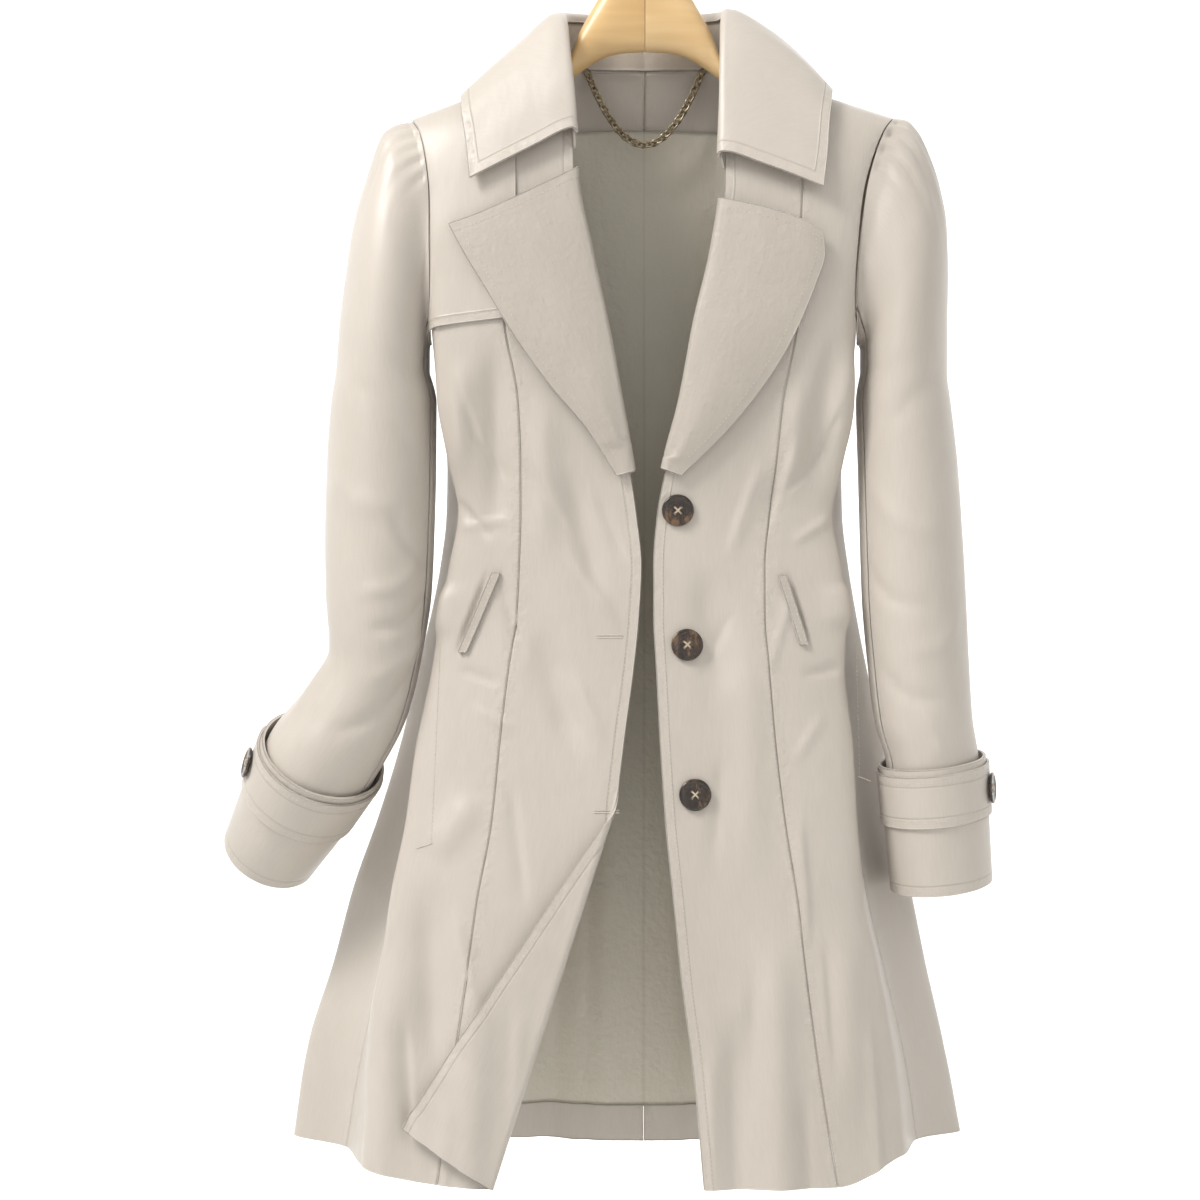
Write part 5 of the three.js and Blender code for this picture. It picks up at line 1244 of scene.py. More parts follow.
@dataclass
class Sleeve:
    """One sleeve with its cuff and strap."""

    side: Side
    form: BodyForm
    cuff_rim: float = 3.2
    cuff_foot: float = 0.8
    strap_thickness: float = 2.0

    UNDERARM = (172.0, 0.0, UNDERARM_Z + 3)
    EASE = 0.95
    # angle, radius, half depth, drop of the inner end, blend from the armhole
    HEAD = {
        Side.RIGHT: [
            (8, 175, 50, 1, 0.25),
            (14, 172, 54, 3, 0.6),
            (21, 144, 57, 6, 1),
            (31, 119, 59, 9.5, 1),
            (45, 95, 60, 13.5, 1),
            (64, 80, 60, 18, 1),
            (90, 75, 59, 23, 1),
        ],
        Side.LEFT: [
            (11, 178, 50, 1, 0.25),
            (16, 173, 54, 3, 0.6),
            (25, 148, 57, 6, 1),
            (34, 123, 59, 9.5, 1),
            (46, 97, 60, 13.5, 1),
            (64, 77, 60, 18, 1),
            (90, 69, 59, 23, 1),
        ],
    }
    # centre, half width, half depth, lean outwards and back in degrees
    ARM = {
        Side.RIGHT: [
            (-208.5, -4, -430, 42, 57, 0, 0),
            (-210, -8, -478, 43.5, 55, 0, 2),
            (-211, -13, -530, 43.5, 52, 0, 2),
            (-211.5, -17, -580, 42, 50, 0, 3),
            (-213.5, -20, -626, 37, 48, 4, 6),
            (-229, -23, -668, 42, 47, 14, 18),
            (-255, -22, -709, 45, 47, 26, 32),
            (-279, 2, -750, 41, 43, 30, 32),
            (-303, 28, -790, 36, 39.5, 30, 32),
        ],
        Side.LEFT: [
            (206, -4, -430, 37.5, 57, 0, 0),
            (209, -8, -478, 39.5, 55, 0, 1),
            (211, -13, -530, 40.5, 53, 2, 2),
            (213, -17, -585, 41, 51, 2, 2),
            (216, -20, -635, 40, 49, 4, 3),
            (220, -22, -680, 38.5, 47, 5, 5),
            (227, -22, -713, 36.5, 45, 7, 6),
            (231, -19, -763, 37, 44, 7, 6),
            (235, -15, -812, 37.5, 43.5, 7, 6),
        ],
    }
    RIM = 7 + 7
    LAST = 7 + 9
    FRONT_SEAM, BACK_SEAM = 158.0, 208.0
    # Gathers of the head: degrees round it, half width in degrees, depth and reach down in rings
    GATHERS = {
        Side.RIGHT: [
            (-66, 3.5, -2.2, 2.6),
            (-52, 4.0, -3.0, 3.6),
            (-37, 3.2, -2.4, 2.8),
            (-21, 4.2, -3.2, 3.9),
            (-6, 3.2, -2.4, 3.0),
            (8, 4.0, -3.0, 3.6),
            (22, 3.4, -2.6, 3.2),
            (36, 4.4, -3.4, 4.2),
            (50, 3.2, -2.2, 2.8),
            (63, 3.6, -2.4, 3.2),
            (78, 3.6, -1.8, 2.6),
        ],
        Side.LEFT: [
            (-68, 3.5, -2.2, 2.6),
            (-54, 3.6, -2.8, 3.4),
            (-38, 4.0, -3.0, 3.8),
            (-22, 3.4, -2.4, 2.9),
            (-9, 3.8, -3.0, 3.4),
            (6, 3.4, -2.6, 3.0),
            (21, 4.4, -3.4, 4.0),
            (38, 5.4, -4.6, 4.6),
            (56, 4.0, -3.2, 4.2),
            (72, 3.4, -2.2, 3.0),
        ],
    }
    CREASES = {
        Side.RIGHT: [
            ArmCrease(((60, 7.2), (95, 8.2), (140, 8.9)), 8, -1.6),
            ArmCrease(((20, 8.8), (70, 9.6), (120, 9.7)), 9, 1.4),
            ArmCrease(((100, 9.6), (130, 10.3), (160, 10.6)), 6, -1.8),
            ArmCrease(((150, 10.4), (110, 10.9), (60, 11.0)), 6, 2.0),
            ArmCrease(((165, 10.9), (120, 11.5), (75, 11.6)), 5, -2.4),
            ArmCrease(((170, 11.5), (130, 12.1), (85, 12.4)), 6, 2.2),
            ArmCrease(((160, 12.1), (120, 12.8), (70, 13.3)), 6, -2.6),
            ArmCrease(((30, 11.6), (55, 12.6), (62, 13.6)), 7, -1.8),
            ArmCrease(((0, 12.0), (20, 13.0), (28, 13.9)), 8, 1.6),
            ArmCrease(((-40, 9.0), (-75, 9.8), (-120, 9.6)), 8, -1.6),
            ArmCrease(((-60, 10.4), (-100, 11.0), (-140, 10.8)), 7, 1.8),
            ArmCrease(((-50, 11.6), (-90, 12.2), (-135, 11.9)), 7, -1.9),
            ArmCrease(((-90, 5.4), (-60, 7.2), (-65, 8.6)), 9, 1.4),
        ],
        Side.LEFT: [
            ArmCrease(((40, 6.6), (75, 7.8), (130, 8.6)), 8, -1.4),
            ArmCrease(((150, 9.2), (110, 9.9), (50, 10.1)), 8, 1.3),
            ArmCrease(((160, 10.4), (120, 11.0), (70, 11.1)), 6, -1.5),
            ArmCrease(((30, 10.9), (70, 11.7), (115, 11.8)), 7, 1.3),
            ArmCrease(((150, 11.9), (110, 12.5), (60, 12.6)), 6, -1.6),
            ArmCrease(((100, 12.6), (85, 13.3), (90, 13.9)), 7, 1.5),
            ArmCrease(((-30, 9.0), (-70, 9.7), (-120, 9.8)), 8, -1.5),
            ArmCrease(((-60, 10.8), (-95, 11.4), (-135, 11.2)), 7, 1.6),
            ArmCrease(((-40, 12.2), (-80, 12.7), (-125, 12.5)), 7, -1.6),
            ArmCrease(((-80, 5.2), (-58, 7.0), (-62, 8.4)), 9, 1.4),
        ],
    }

    def __post_init__(self) -> None:
        """Works out the sleeve's surface."""
        theta = np.arange(-180.0, 215.0, 1.0)
        w = np.arange(0, self.LAST + 0.001, 0.025)
        rings = np.stack([self._ring(index, theta) for index in range(self.LAST + 1)])
        points = spline(np.arange(self.LAST + 1), rings, w)
        self.smooth_form = Lattice((theta[0], 0), (1.0, 0.025), points)
        normal = grid_normals(points, self.side is Side.RIGHT)
        height = np.zeros(points.shape[:2])
        for centre, half, depth, reach in self.GATHERS[self.side]:
            fade = smooth(1 - w / reach) * smooth(w / 0.5)
            round_it = np.exp(-((((theta - centre + 180) % 360 - 180) / half) ** 2))
            height += depth * fade[:, None] * round_it[None, :]
        for crease in self.CREASES[self.side]:
            height += self._crease(crease, points, theta, w)
        turn = np.radians(theta)
        wave = ripple(math.cos(0.4) * np.cos(turn) * 40, 41, 37) * smooth((w[:, None] - 1) / 4)
        height += 0.3 * wave * ripple(w * 30, 43, 190)[:, None]
        self.shaped = Lattice((theta[0], 0), (1.0, 0.025), points + normal * height[..., None])

    def _crease(self, crease: ArmCrease, points: Array, theta: Array, w: Array) -> Array:
        """Height of one crease over the sleeve."""
        path = np.array(crease.path, float)
        run = spline(np.linspace(0, 1, len(path)), path, np.linspace(0, 1, 25))
        line = self.smooth_form.at(run[:, 0], run[:, 1])
        best = np.full(points.shape[:2], 1e9)
        along = np.zeros_like(best)
        for k in range(len(line) - 1):
            a, b = line[k], line[k + 1]
            ab = b - a
            t = np.clip(((points - a) @ ab) / (ab @ ab), 0, 1)
            distance = np.linalg.norm(points - (a + t[..., None] * ab), axis=-1)
            nearer = distance < best
            best = np.where(nearer, distance, best)
            along = np.where(nearer, (k + t) / (len(line) - 1), along)
        taper = smooth(along / 0.3) * smooth((1 - along) / 0.3)
        return crease.height * taper * np.exp(-((best / crease.width) ** 2))

    def _armhole(self, theta: Array) -> Array:
        """Points on the armhole of the body, by angle round it."""
        turn = np.mod(theta, 360)
        front = turn <= 180
        share = np.where(front, turn, 360 - turn) / 180
        bust = 0.78
        bend = np.radians(90 * np.clip((share - bust) / (1 - bust), 0, 1))
        v = np.where(share <= bust, BUST_V * share / bust, BUST_V + (UNDERARM_V - BUST_V) * np.sin(bend))
        reach = np.where(share <= bust, 0, 1 - np.cos(bend))
        s = lerp(np.where(front, SIDE, BACK_ARM), GULLY, reach)
        points = self.form.large.at(s, v)
        points[:, 0] += self.side.sign * (SEAM + 0.1 + self.EASE * (1 - np.cos(np.radians(theta))))
        return points

    def _ring(self, index: int, theta: Array) -> Array:
        """One ring of the sleeve, from the armhole down to the cuff's foot."""
        seam = self._armhole(theta)
        if index == 0:
            return seam
        if index > len(self.HEAD[self.side]):
            return self._arm_ring(index - len(self.HEAD[self.side]) - 1, theta, 0.0)
        degrees, radius, half_depth, drop, blend = self.HEAD[self.side][index - 1]
        angle, turn, sign = math.radians(degrees), np.radians(theta), self.side.sign
        reach = radius / 2 * (1 + np.cos(turn))
        ellipse = np.stack(
            [
                sign * (self.UNDERARM[0] + math.sin(angle) * reach),
                self.UNDERARM[1] - half_depth * np.sin(turn) - 2 * (1 - np.cos(turn)),
                self.UNDERARM[2] - drop + math.cos(angle) * reach,
            ],
            axis=-1,
        )
        if blend == 1:
            return ellipse
        seam[:, 0] += sign * radius * math.sin(angle) * 0.35 * (0.5 + 0.5 * np.cos(turn))
        return seam + (ellipse - seam) * blend

    def _arm_ring(self, index: int, theta: Array, grow: float | Array) -> Array:
        """A tilted ring below the underarm, grown outwards."""
        x, y, z, wide, deep, lean, back = self.ARM[self.side][index]
        sign, lean, back, turn = self.side.sign, math.radians(lean), math.radians(back), np.radians(theta)
        level = math.cos(back)
        down = np.array([sign * math.sin(lean) * level, math.sin(back), -math.cos(lean) * level])
        out = np.array([sign * math.cos(lean), 0, math.sin(lean)])
        ahead = unit(np.cross(out, down))
        ahead = -ahead if ahead[1] > 0 else ahead
        grow = np.asarray(grow, float)
        return (
            np.array([x, y, z])
            + out * ((wide + grow) * np.cos(turn))[..., None]
            + ahead * ((deep + grow) * np.sin(turn))[..., None]
        )

    def _piece(self, name: str, angles: Array) -> Wall:
        """A piece of the sleeve between two seams."""
        runs = [np.arange(0, 1, 0.06), np.arange(1, 8, 0.11), np.arange(8, self.LAST, 0.075)]
        w = np.concatenate([*runs, [self.LAST]])
        theta, rows = np.meshgrid(angles, w)
        points = self.shaped.at(theta, rows)
        normal = grid_normals(points, self.side is Side.RIGHT)
        along = lengths_along(points)
        seam_mm = np.minimum(along, along[:, -1:] - along)
        points = points - normal * (0.9 * line_at(seam_mm, 0.9))[..., None]
        marks = {"seam_mm": seam_mm, "edge_mm": FAR}
        return Wall(name, points, points - normal * SHELL, marks=marks, bulged=(False, True, False, False))

    def upper(self) -> Wall:
        """The sleeve's upper piece."""
        gap = self._seam_step(self.BACK_SEAM), self._seam_step(self.FRONT_SEAM)
        start, stop = self.BACK_SEAM - 360 + gap[0], self.FRONT_SEAM - gap[1]
        angles = start + (stop - start) * edged(100, (0.003, 0.007), (0.003, 0.007))
        return self._piece(f"sleeve_upper_{self.side.letter}", angles)

    def under(self) -> Wall:
        """The sleeve's under piece."""
        start = self.FRONT_SEAM + self._seam_step(self.FRONT_SEAM)
        stop = self.BACK_SEAM - self._seam_step(self.BACK_SEAM)
        angles = start + (stop - start) * edged(16, (0.02, 0.05), (0.02, 0.05))
        return self._piece(f"sleeve_under_{self.side.letter}", angles)

    def _seam_step(self, theta: float) -> float:
        """A seam's gap in degrees round the sleeve."""
        at = self.smooth_form.at(np.array([theta - 0.5, theta + 0.5]), np.array([8.0, 8.0]))
        return (SEAM + 0.35) / float(np.linalg.norm(at[1] - at[0]))

    def cuff_surface(self, theta: Array, t: Array) -> Array:
        """Points of the cuff's outer face, theta round it and t down."""
        first = self.RIM - len(self.HEAD[self.side]) - 1
        shape = np.broadcast(theta, t).shape
        theta, t = np.broadcast_to(theta, shape).ravel(), np.broadcast_to(t, shape).ravel()
        grow = lerp(self.cuff_rim, self.cuff_foot, t) + LAYERED
        rings = [self._arm_ring(first + k, theta, grow) for k in range(3)]
        axes = [spline_pairs([0, 0.5, 1], np.array([ring[:, k] for ring in rings]), t) for k in range(3)]
        return np.stack(axes, axis=-1).reshape(*shape, 3)

    def cuff(self) -> Wall:
        """The turned-up cuff."""
        angles, ts = np.arange(0, 360, 3.0), edged(26, (0.006, 0.02), (0.006, 0.02))

        def surface(theta: Array, t: Array) -> Array:
            points = self.cuff_surface(theta, t)
            centre = points.mean(axis=1, keepdims=True)
            wave = 0.5 * ripple(theta, 51, 83) * ripple(t * 60, 53, 70)
            return points + unit(points - centre) * wave[..., None]

        wall = sheet_wall(
            f"cuff_{self.side.letter}", surface, angles, ts, LAYERED, flip=self.side is Side.RIGHT, ring=True
        )
        from_rim = ts[:, None] * 90 + np.zeros((1, len(angles)))
        wall.marks = {"edge_mm": np.minimum(from_rim, 90 - from_rim), "seam_mm": FAR}
        return wall

    def strap(self) -> Wall:
        """The strap round the upper half of the cuff, to its pointed end."""
        us, vs = edged(110, (0.003, 0.01), (0.003, 0.008, 0.016)), edged(12, (0.02,), (0.02,))

        def surface(u: Array, v: Array) -> Array:
            theta = lerp(205.0, -24.0, u)
            taper = 1 - 0.8 * smooth((u - 1 + 0.096) / 0.096) ** 2
            return self.cuff_surface(theta, 0.25 + (v * 2 - 1) * 0.2 * taper)

        wall = sheet_wall(
            f"cuff_strap_{self.side.letter}",
            surface,
            us,
            vs,
            self.strap_thickness,
            SEAM + self.strap_thickness + 0.25,
            self.side is Side.LEFT,
        )
        half = np.minimum(vs, 1 - vs)[:, None] * 36 + np.zeros((1, len(us)))
        wall.marks = {"edge_mm": half, "seam_mm": FAR}
        return wall

    def walls(self) -> list[Wall]:
        """All the cloth of the sleeve."""
        return [self.upper(), self.under(), self.cuff(), self.strap()]


# Node trees


class Graph:
    """A node tree with short ways to add and join nodes."""

    def __init__(self, tree: bpy.types.NodeTree) -> None:
        """Starts on an empty tree."""
        self.tree = tree
        tree.nodes.clear()

    def add(self, kind: str, values: Optional[dict] = None, **settings: object) -> bpy.types.Node:
        """Adds a node.

        Args:
            kind: The node's type.
            values: A value or a socket for each input, by name or number.
            **settings: Properties of the node.

        Returns:
            The node.
        """
        node = self.tree.nodes.new(kind)
        for key, value in settings.items():
            setattr(node, key, value)
        self.feed(node, values or {})
        return node

    def feed(self, node: bpy.types.Node, values: dict) -> None:
        """Links a socket or sets a value on each of a node's inputs, by name or number."""
        for key, value in values.items():
            if isinstance(value, bpy.types.NodeSocket):
                self.tree.links.new(value, node.inputs[key])
            else:
                node.inputs[key].default_value = value

    def math(self, operation: str, a: object, b: object = 0.0) -> bpy.types.NodeSocket:
        """The result of a sum on one or two values."""
        return self.add("ShaderNodeMath", {0: a, 1: b}, operation=operation).outputs[0]

    def line(self, a: object, gain: float, base: object) -> bpy.types.NodeSocket:
        """A value times a gain, on top of a base."""
        return self.math("ADD", self.math("MULTIPLY", a, gain), base)

    def blend(self, a: object, a_share: float, b: object, b_share: float) -> bpy.types.NodeSocket:
        """Two values added up by their shares."""
        return self.line(a, a_share, self.math("MULTIPLY", b, b_share))

    def bumps(self, *layers: tuple[object, float, float]) -> bpy.types.NodeSocket:
        """A normal bumped by layers of height, each with its distance in metres and its strength."""
        below: dict = {}
        for height, distance, strength in layers:
            values = {"Height": height, "Distance": distance, "Strength": strength}
            below = {"Normal": self.add("ShaderNodeBump", values | below).outputs[0]}
        return below["Normal"]

    def bump_line(self, at: object, centre: float, width: float) -> bpy.types.NodeSocket:
        """A soft line, 1 where a value is at a centre and 0 away from it."""
        share = self.math("DIVIDE", self.math("SUBTRACT", at, centre), width)
        return self.math("EXPONENT", self.math("MULTIPLY", self.math("MULTIPLY", share, share), -1.0))

    def noise(self, vector: object, scale: object, detail: float = 2.0) -> bpy.types.NodeSocket:
        """A smooth noise over places."""
        node = self.add("ShaderNodeTexNoise", {"Vector": vector, "Scale": scale, "Detail": detail})
        return node.outputs["Fac"]

    def ramp(self, factor: object, stops: Sequence[tuple[float, Point]]) -> bpy.types.NodeSocket:
        """Colours along a value."""
        node = self.add("ShaderNodeValToRGB", {"Fac": factor})
        elements = node.color_ramp.elements
        while len(elements) < len(stops):
            elements.new(0.5)
        for element, (place, colour) in zip(elements, stops):
            element.position = place
            element.color = (*colour, 1)
        return node.outputs["Color"]


def shader_group(
    name: str, inputs: dict[str, tuple[str, float]], outputs: dict[str, str]
) -> tuple[Graph, bpy.types.Node, bpy.types.Node]:
    """Starts a shader node group.

    Args:
        name: The group's name.
        inputs: Kind and usual value of each input.
        outputs: Kind of each output.

    Returns:
        Its graph, its input node and its output node.
    """
    tree = bpy.data.node_groups.new(name, "ShaderNodeTree")
    for key, (kind, value) in inputs.items():
        socket = tree.interface.new_socket(key, in_out="INPUT", socket_type=kind)
        if kind == "NodeSocketFloat":
            socket.default_value = value
    for key, kind in outputs.items():
        tree.interface.new_socket(key, in_out="OUTPUT", socket_type=kind)
    graph = Graph(tree)
    return graph, graph.add("NodeGroupInput"), graph.add("NodeGroupOutput")


class Effects:
    """The effects that several finishes share, as node groups."""

    def __init__(self) -> None:
        """Builds the groups once."""
        self.weave = self._weave()
        self.sewing = self._sewing()
        self.crumple = self._crumple()

    @staticmethod
    def _weave() -> bpy.types.NodeTree:
        """A twill weave over the cloth's own places."""
        graph, given, made = shader_group(
            "Twill weave",
            {"Cloth": ("NodeSocketVector", 0), "Threads": ("NodeSocketFloat", 1500)},
            {"Height": "NodeSocketFloat", "Shade": "NodeSocketFloat"},
        )
        place = graph.add("ShaderNodeSeparateXYZ", {0: given.outputs["Cloth"]})
        turn = graph.math("MULTIPLY", given.outputs["Threads"], 2 * math.pi)
        sloped = graph.math("ADD", place.outputs[0], graph.math("MULTIPLY", place.outputs[1], 0.62))
        ribs = graph.math("SINE", graph.math("MULTIPLY", sloped, turn))
        weft = graph.math("SINE", graph.math("MULTIPLY", place.outputs[1], turn))
        slub = graph.add("ShaderNodeMapping", {"Vector": given.outputs["Cloth"], "Scale": (1.0, 0.06, 1.0)})
        height = graph.math("ADD", graph.blend(ribs, 0.36, weft, 0.14), 0.5)
        graph.feed(made, {"Height": height, "Shade": graph.noise(slub.outputs[0], 900.0)})
        return graph.tree

    @staticmethod
    def _sewing() -> bpy.types.NodeTree:
        """The groove and puckers that sewing leaves beside an edge or a seam, as bump height, and a mask of
        painted shade along the stitch groove and the seam ditch.
        """
        graph, given, made = shader_group(
            "Sewn edge",
            {
                "Place": ("NodeSocketVector", 0),
                "Seam": ("NodeSocketFloat", 99),
                "Edge": ("NodeSocketFloat", 99),
                "Row": ("NodeSocketFloat", 7),
            },
            {"Height": "NodeSocketFloat", "Painted shade": "NodeSocketFloat"},
        )
        row = graph.math("SUBTRACT", given.outputs["Edge"], given.outputs["Row"])
        groove = graph.bump_line(row, 0.0, 0.7)
        seam = graph.bump_line(given.outputs["Seam"], 0.0, 1.1)
        nearest = graph.math("MINIMUM", given.outputs["Seam"], given.outputs["Edge"])
        near = graph.bump_line(nearest, 3.5, 5.0)
        pucker = graph.math("SUBTRACT", graph.noise(given.outputs["Place"], 190.0, 2.0), 0.5)
        height = graph.line(groove, -0.35, graph.math("MULTIPLY", pucker, near))
        # The second output is painted shade: the stitch groove and the seam ditch as a mask that darkens the
        # cloth's colour
        graph.feed(made, {"Height": height, "Painted shade": graph.math("MAXIMUM", groove, seam)})
        return graph.tree

    @staticmethod
    def _crumple() -> bpy.types.NodeTree:
        """Soft, shallow crumples over a whole cloth."""
        graph, given, made = shader_group(
            "Soft crumple",
            {"Place": ("NodeSocketVector", 0), "Scale": ("NodeSocketFloat", 9)},
            {"Height": "NodeSocketFloat", "Tone": "NodeSocketFloat"},
        )
        squeeze = {"Vector": given.outputs["Place"], "Scale": (1.0, 1.0, 0.45)}
        stretched = graph.add("ShaderNodeMapping", squeeze).outputs[0]
        broad = graph.noise(stretched, given.outputs["Scale"], 3.0)
        fine = graph.noise(stretched, 60.0, 3.0)
        graph.feed(made, {"Height": graph.line(fine, 0.16, broad), "Tone": broad})
        return graph.tree


def new_material(name: str) -> tuple[bpy.types.Material, Graph, bpy.types.Node]:
    """Starts a material.

    Args:
        name: Its name.

    Returns:
        The material, its graph and its Principled node.
    """
    material = bpy.data.materials.new(name)
    material.use_nodes = True
    graph = Graph(material.node_tree)
    surface = graph.add("ShaderNodeBsdfPrincipled")
    graph.add("ShaderNodeOutputMaterial", {"Surface": surface.outputs[0]})
    return material, graph, surface


@dataclass(frozen=True)
class ClothFinish:
    """A woven cloth with a soft sheen."""

    name: str
    light: Point
    deep: Point
    roughness: float = 0.44
    sheen: float = 0.25
    threads: float = 1500.0
    weave_depth: float = 0.05
    crumple: float = 0.5
    row: float = 7.0

    def build(self, effects: Effects) -> bpy.types.Material:
        """Makes the material."""
        material, graph, surface = new_material(self.name)
        places = graph.add("ShaderNodeTexCoord").outputs["Object"]
        cloth = graph.add("ShaderNodeUVMap", uv_map="Cloth").outputs[0]
        seam, edge = (
            graph.add("ShaderNodeAttribute", attribute_name=mark).outputs["Fac"]
            for mark in ("seam_mm", "edge_mm")
        )
        weave, crumple, sewing = (
            graph.add("ShaderNodeGroup", values, node_tree=tree).outputs
            for tree, values in (
                (effects.weave, {"Cloth": cloth, "Threads": self.threads}),
                (effects.crumple, {"Place": places}),
                (effects.sewing, {"Place": places, "Seam": seam, "Edge": edge, "Row": self.row}),
            )
        )
        tone = graph.blend(crumple["Tone"], 0.7, weave["Shade"], 0.3)
        # The cloth's colour is darkened along stitch grooves and seams: painted shade in those dips
        shaded = graph.math("SUBTRACT", tone, graph.math("MULTIPLY", sewing["Painted shade"], 0.32))
        normal = graph.bumps(
            (weave["Height"], 0.0002, self.weave_depth),
            (crumple["Height"], 0.006, self.crumple),
            (sewing["Height"], 0.0012, 0.8),
        )
        graph.feed(
            surface,
            {
                "Base Color": graph.ramp(shaded, [(0.1, self.deep), (0.62, self.light)]),
                "Roughness": graph.line(weave["Shade"], 0.1, self.roughness - 0.05),
                "Normal": normal,
                "Sheen Weight": self.sheen,
                "Sheen Roughness": 0.4,
                "Specular IOR Level": 0.6,
            },
        )
        return material


@dataclass(frozen=True)
class HornFinish:
    """Dark, mottled and polished horn."""

    name: str = "Horn"
    black: Point = (0.010, 0.006, 0.004)
    brown: Point = (0.035, 0.019, 0.010)
    amber: Point = (0.16, 0.085, 0.040)

    def build(self) -> bpy.types.Material:
        """Makes the material."""
        material, graph, surface = new_material(self.name)
        places = graph.add("ShaderNodeTexCoord").outputs["Object"]
        stretched = graph.add("ShaderNodeMapping", {"Vector": places, "Scale": (1.0, 1.0, 0.35)})
        cloud = graph.noise(stretched.outputs[0], 160.0, 5.0)
        graph.feed(
            surface,
            {
                "Base Color": graph.ramp(cloud, [(0.3, self.black), (0.52, self.brown), (0.66, self.amber)]),
                "Roughness": graph.line(cloud, 0.2, 0.16),
                "Normal": graph.bumps((graph.noise(places, 900.0), 0.0001, 0.2)),
                "Coat Weight": 0.4,
                "Coat Roughness": 0.12,
            },
        )
        return material


@dataclass(frozen=True)
class WoodFinish:
    """Pale lacquered wood with its grain along the arm."""

    name: str
    light: Point
    dark: Point
    offset: float = 0.0

    def build(self) -> bpy.types.Material:
        """Makes the material."""
        material, graph, surface = new_material(self.name)
        places = graph.add("ShaderNodeTexCoord").outputs["Object"]
        along = graph.add(
            "ShaderNodeMapping",
            {"Vector": places, "Location": (self.offset, 0.0, 0.0), "Scale": (2.2, 30.0, 30.0)},
        ).outputs[0]
        grain = graph.noise(along, 3.2, 6.0)
        wave = {"Vector": along, "Scale": 0.9, "Distortion": 6.0, "Detail": 3.0}
        both = graph.blend(grain, 0.65, graph.add("ShaderNodeTexWave", wave).outputs["Fac"], 0.35)
        graph.feed(
            surface,
            {
                "Base Color": graph.ramp(both, [(0.25, self.dark), (0.7, self.light)]),
                "Roughness": graph.line(grain, 0.15, 0.32),
                "Normal": graph.bumps((both, 0.0003, 0.25)),
                "Coat Weight": 0.3,
                "Coat Roughness": 0.25,
            },
        )
        return material


@dataclass(frozen=True)
class MetalFinish:
    """Plain metal, polished or aged."""

    name: str
    bright: Point
    dull: Point
    roughness: float

    def build(self) -> bpy.types.Material:
        """Makes the material."""
        material, graph, surface = new_material(self.name)
        cloud = graph.noise(graph.add("ShaderNodeTexCoord").outputs["Object"], 240.0, 4.0)
        colour = graph.ramp(cloud, [(0.35, self.dull), (0.6, self.bright)])
        rough = graph.line(cloud, 0.15, self.roughness)
        graph.feed(surface, {"Base Color": colour, "Roughness": rough, "Metallic": 1.0})
        return material


@dataclass(frozen=True)
class ThreadFinish:
    """Sewing thread with a slight gloss."""

    name: str
    colour: Point

    def build(self) -> bpy.types.Material:
        """Makes the material."""
        material, graph, surface = new_material(self.name)
        cloud = graph.noise(graph.add("ShaderNodeTexCoord").outputs["Object"], 700.0)
        dark = tuple(0.8 * c for c in self.colour)
        colour = graph.ramp(cloud, [(0.3, dark), (0.6, self.colour)])
        graph.feed(surface, {"Base Color": colour, "Roughness": 0.5})
        return material


# What repeats


def line_tree(name: str, sockets: dict[str, tuple[str, object]]) -> tuple[Graph, bpy.types.Node]:
    """Starts a Geometry Nodes tree with named inputs, and returns its graph and input node."""
    tree = bpy.data.node_groups.new(name, "GeometryNodeTree")
    tree.interface.new_socket("Geometry", in_out="INPUT", socket_type="NodeSocketGeometry")
    for key, (kind, value) in sockets.items():
        socket = tree.interface.new_socket(key, in_out="INPUT", socket_type=kind)
        if value is not None:
            socket.default_value = value
    tree.interface.new_socket("Geometry", in_out="OUTPUT", socket_type="NodeSocketGeometry")
    graph = Graph(tree)
    return graph, graph.add("NodeGroupInput")


def even_places(graph: Graph, given: bpy.types.Node) -> tuple[bpy.types.NodeSocket, bpy.types.NodeSocket]:
    """Places at even steps along the lines, and how a piece lies there: X along, Z off the cloth."""
    curve = graph.add("GeometryNodeMeshToCurve", {0: given.outputs["Geometry"]}).outputs[0]
    even = graph.add("GeometryNodeResampleCurve", {"Curve": curve, 3: given.outputs["Step"]}, mode="LENGTH")
    tangent = graph.add("GeometryNodeInputTangent").outputs[0]
    up = graph.add("GeometryNodeInputNamedAttribute", {"Name": "up"}, data_type="FLOAT_VECTOR").outputs[0]
    align = "FunctionNodeAlignRotationToVector"
    stand = graph.add(align, {"Vector": up}, axis="Z").outputs[0]
    lie = graph.add(align, {"Rotation": stand, "Vector": tangent}, axis="X", pivot_axis="Z")
    return even.outputs[0], lie.outputs[0]


def lay_pieces(graph: Graph, given: bpy.types.Node, values: dict) -> bpy.types.NodeTree:
    """Lays a piece at each place, as real geometry with its finish, and returns the whole tree."""
    laid = graph.add("GeometryNodeInstanceOnPoints", values).outputs[0]
    real = graph.add("GeometryNodeRealizeInstances", {0: laid}).outputs[0]
    dressed = graph.add("GeometryNodeSetMaterial", {"Geometry": real, "Material": given.outputs["Finish"]})
    graph.add("NodeGroupOutput", {0: dressed.outputs[0]})
    return graph.tree


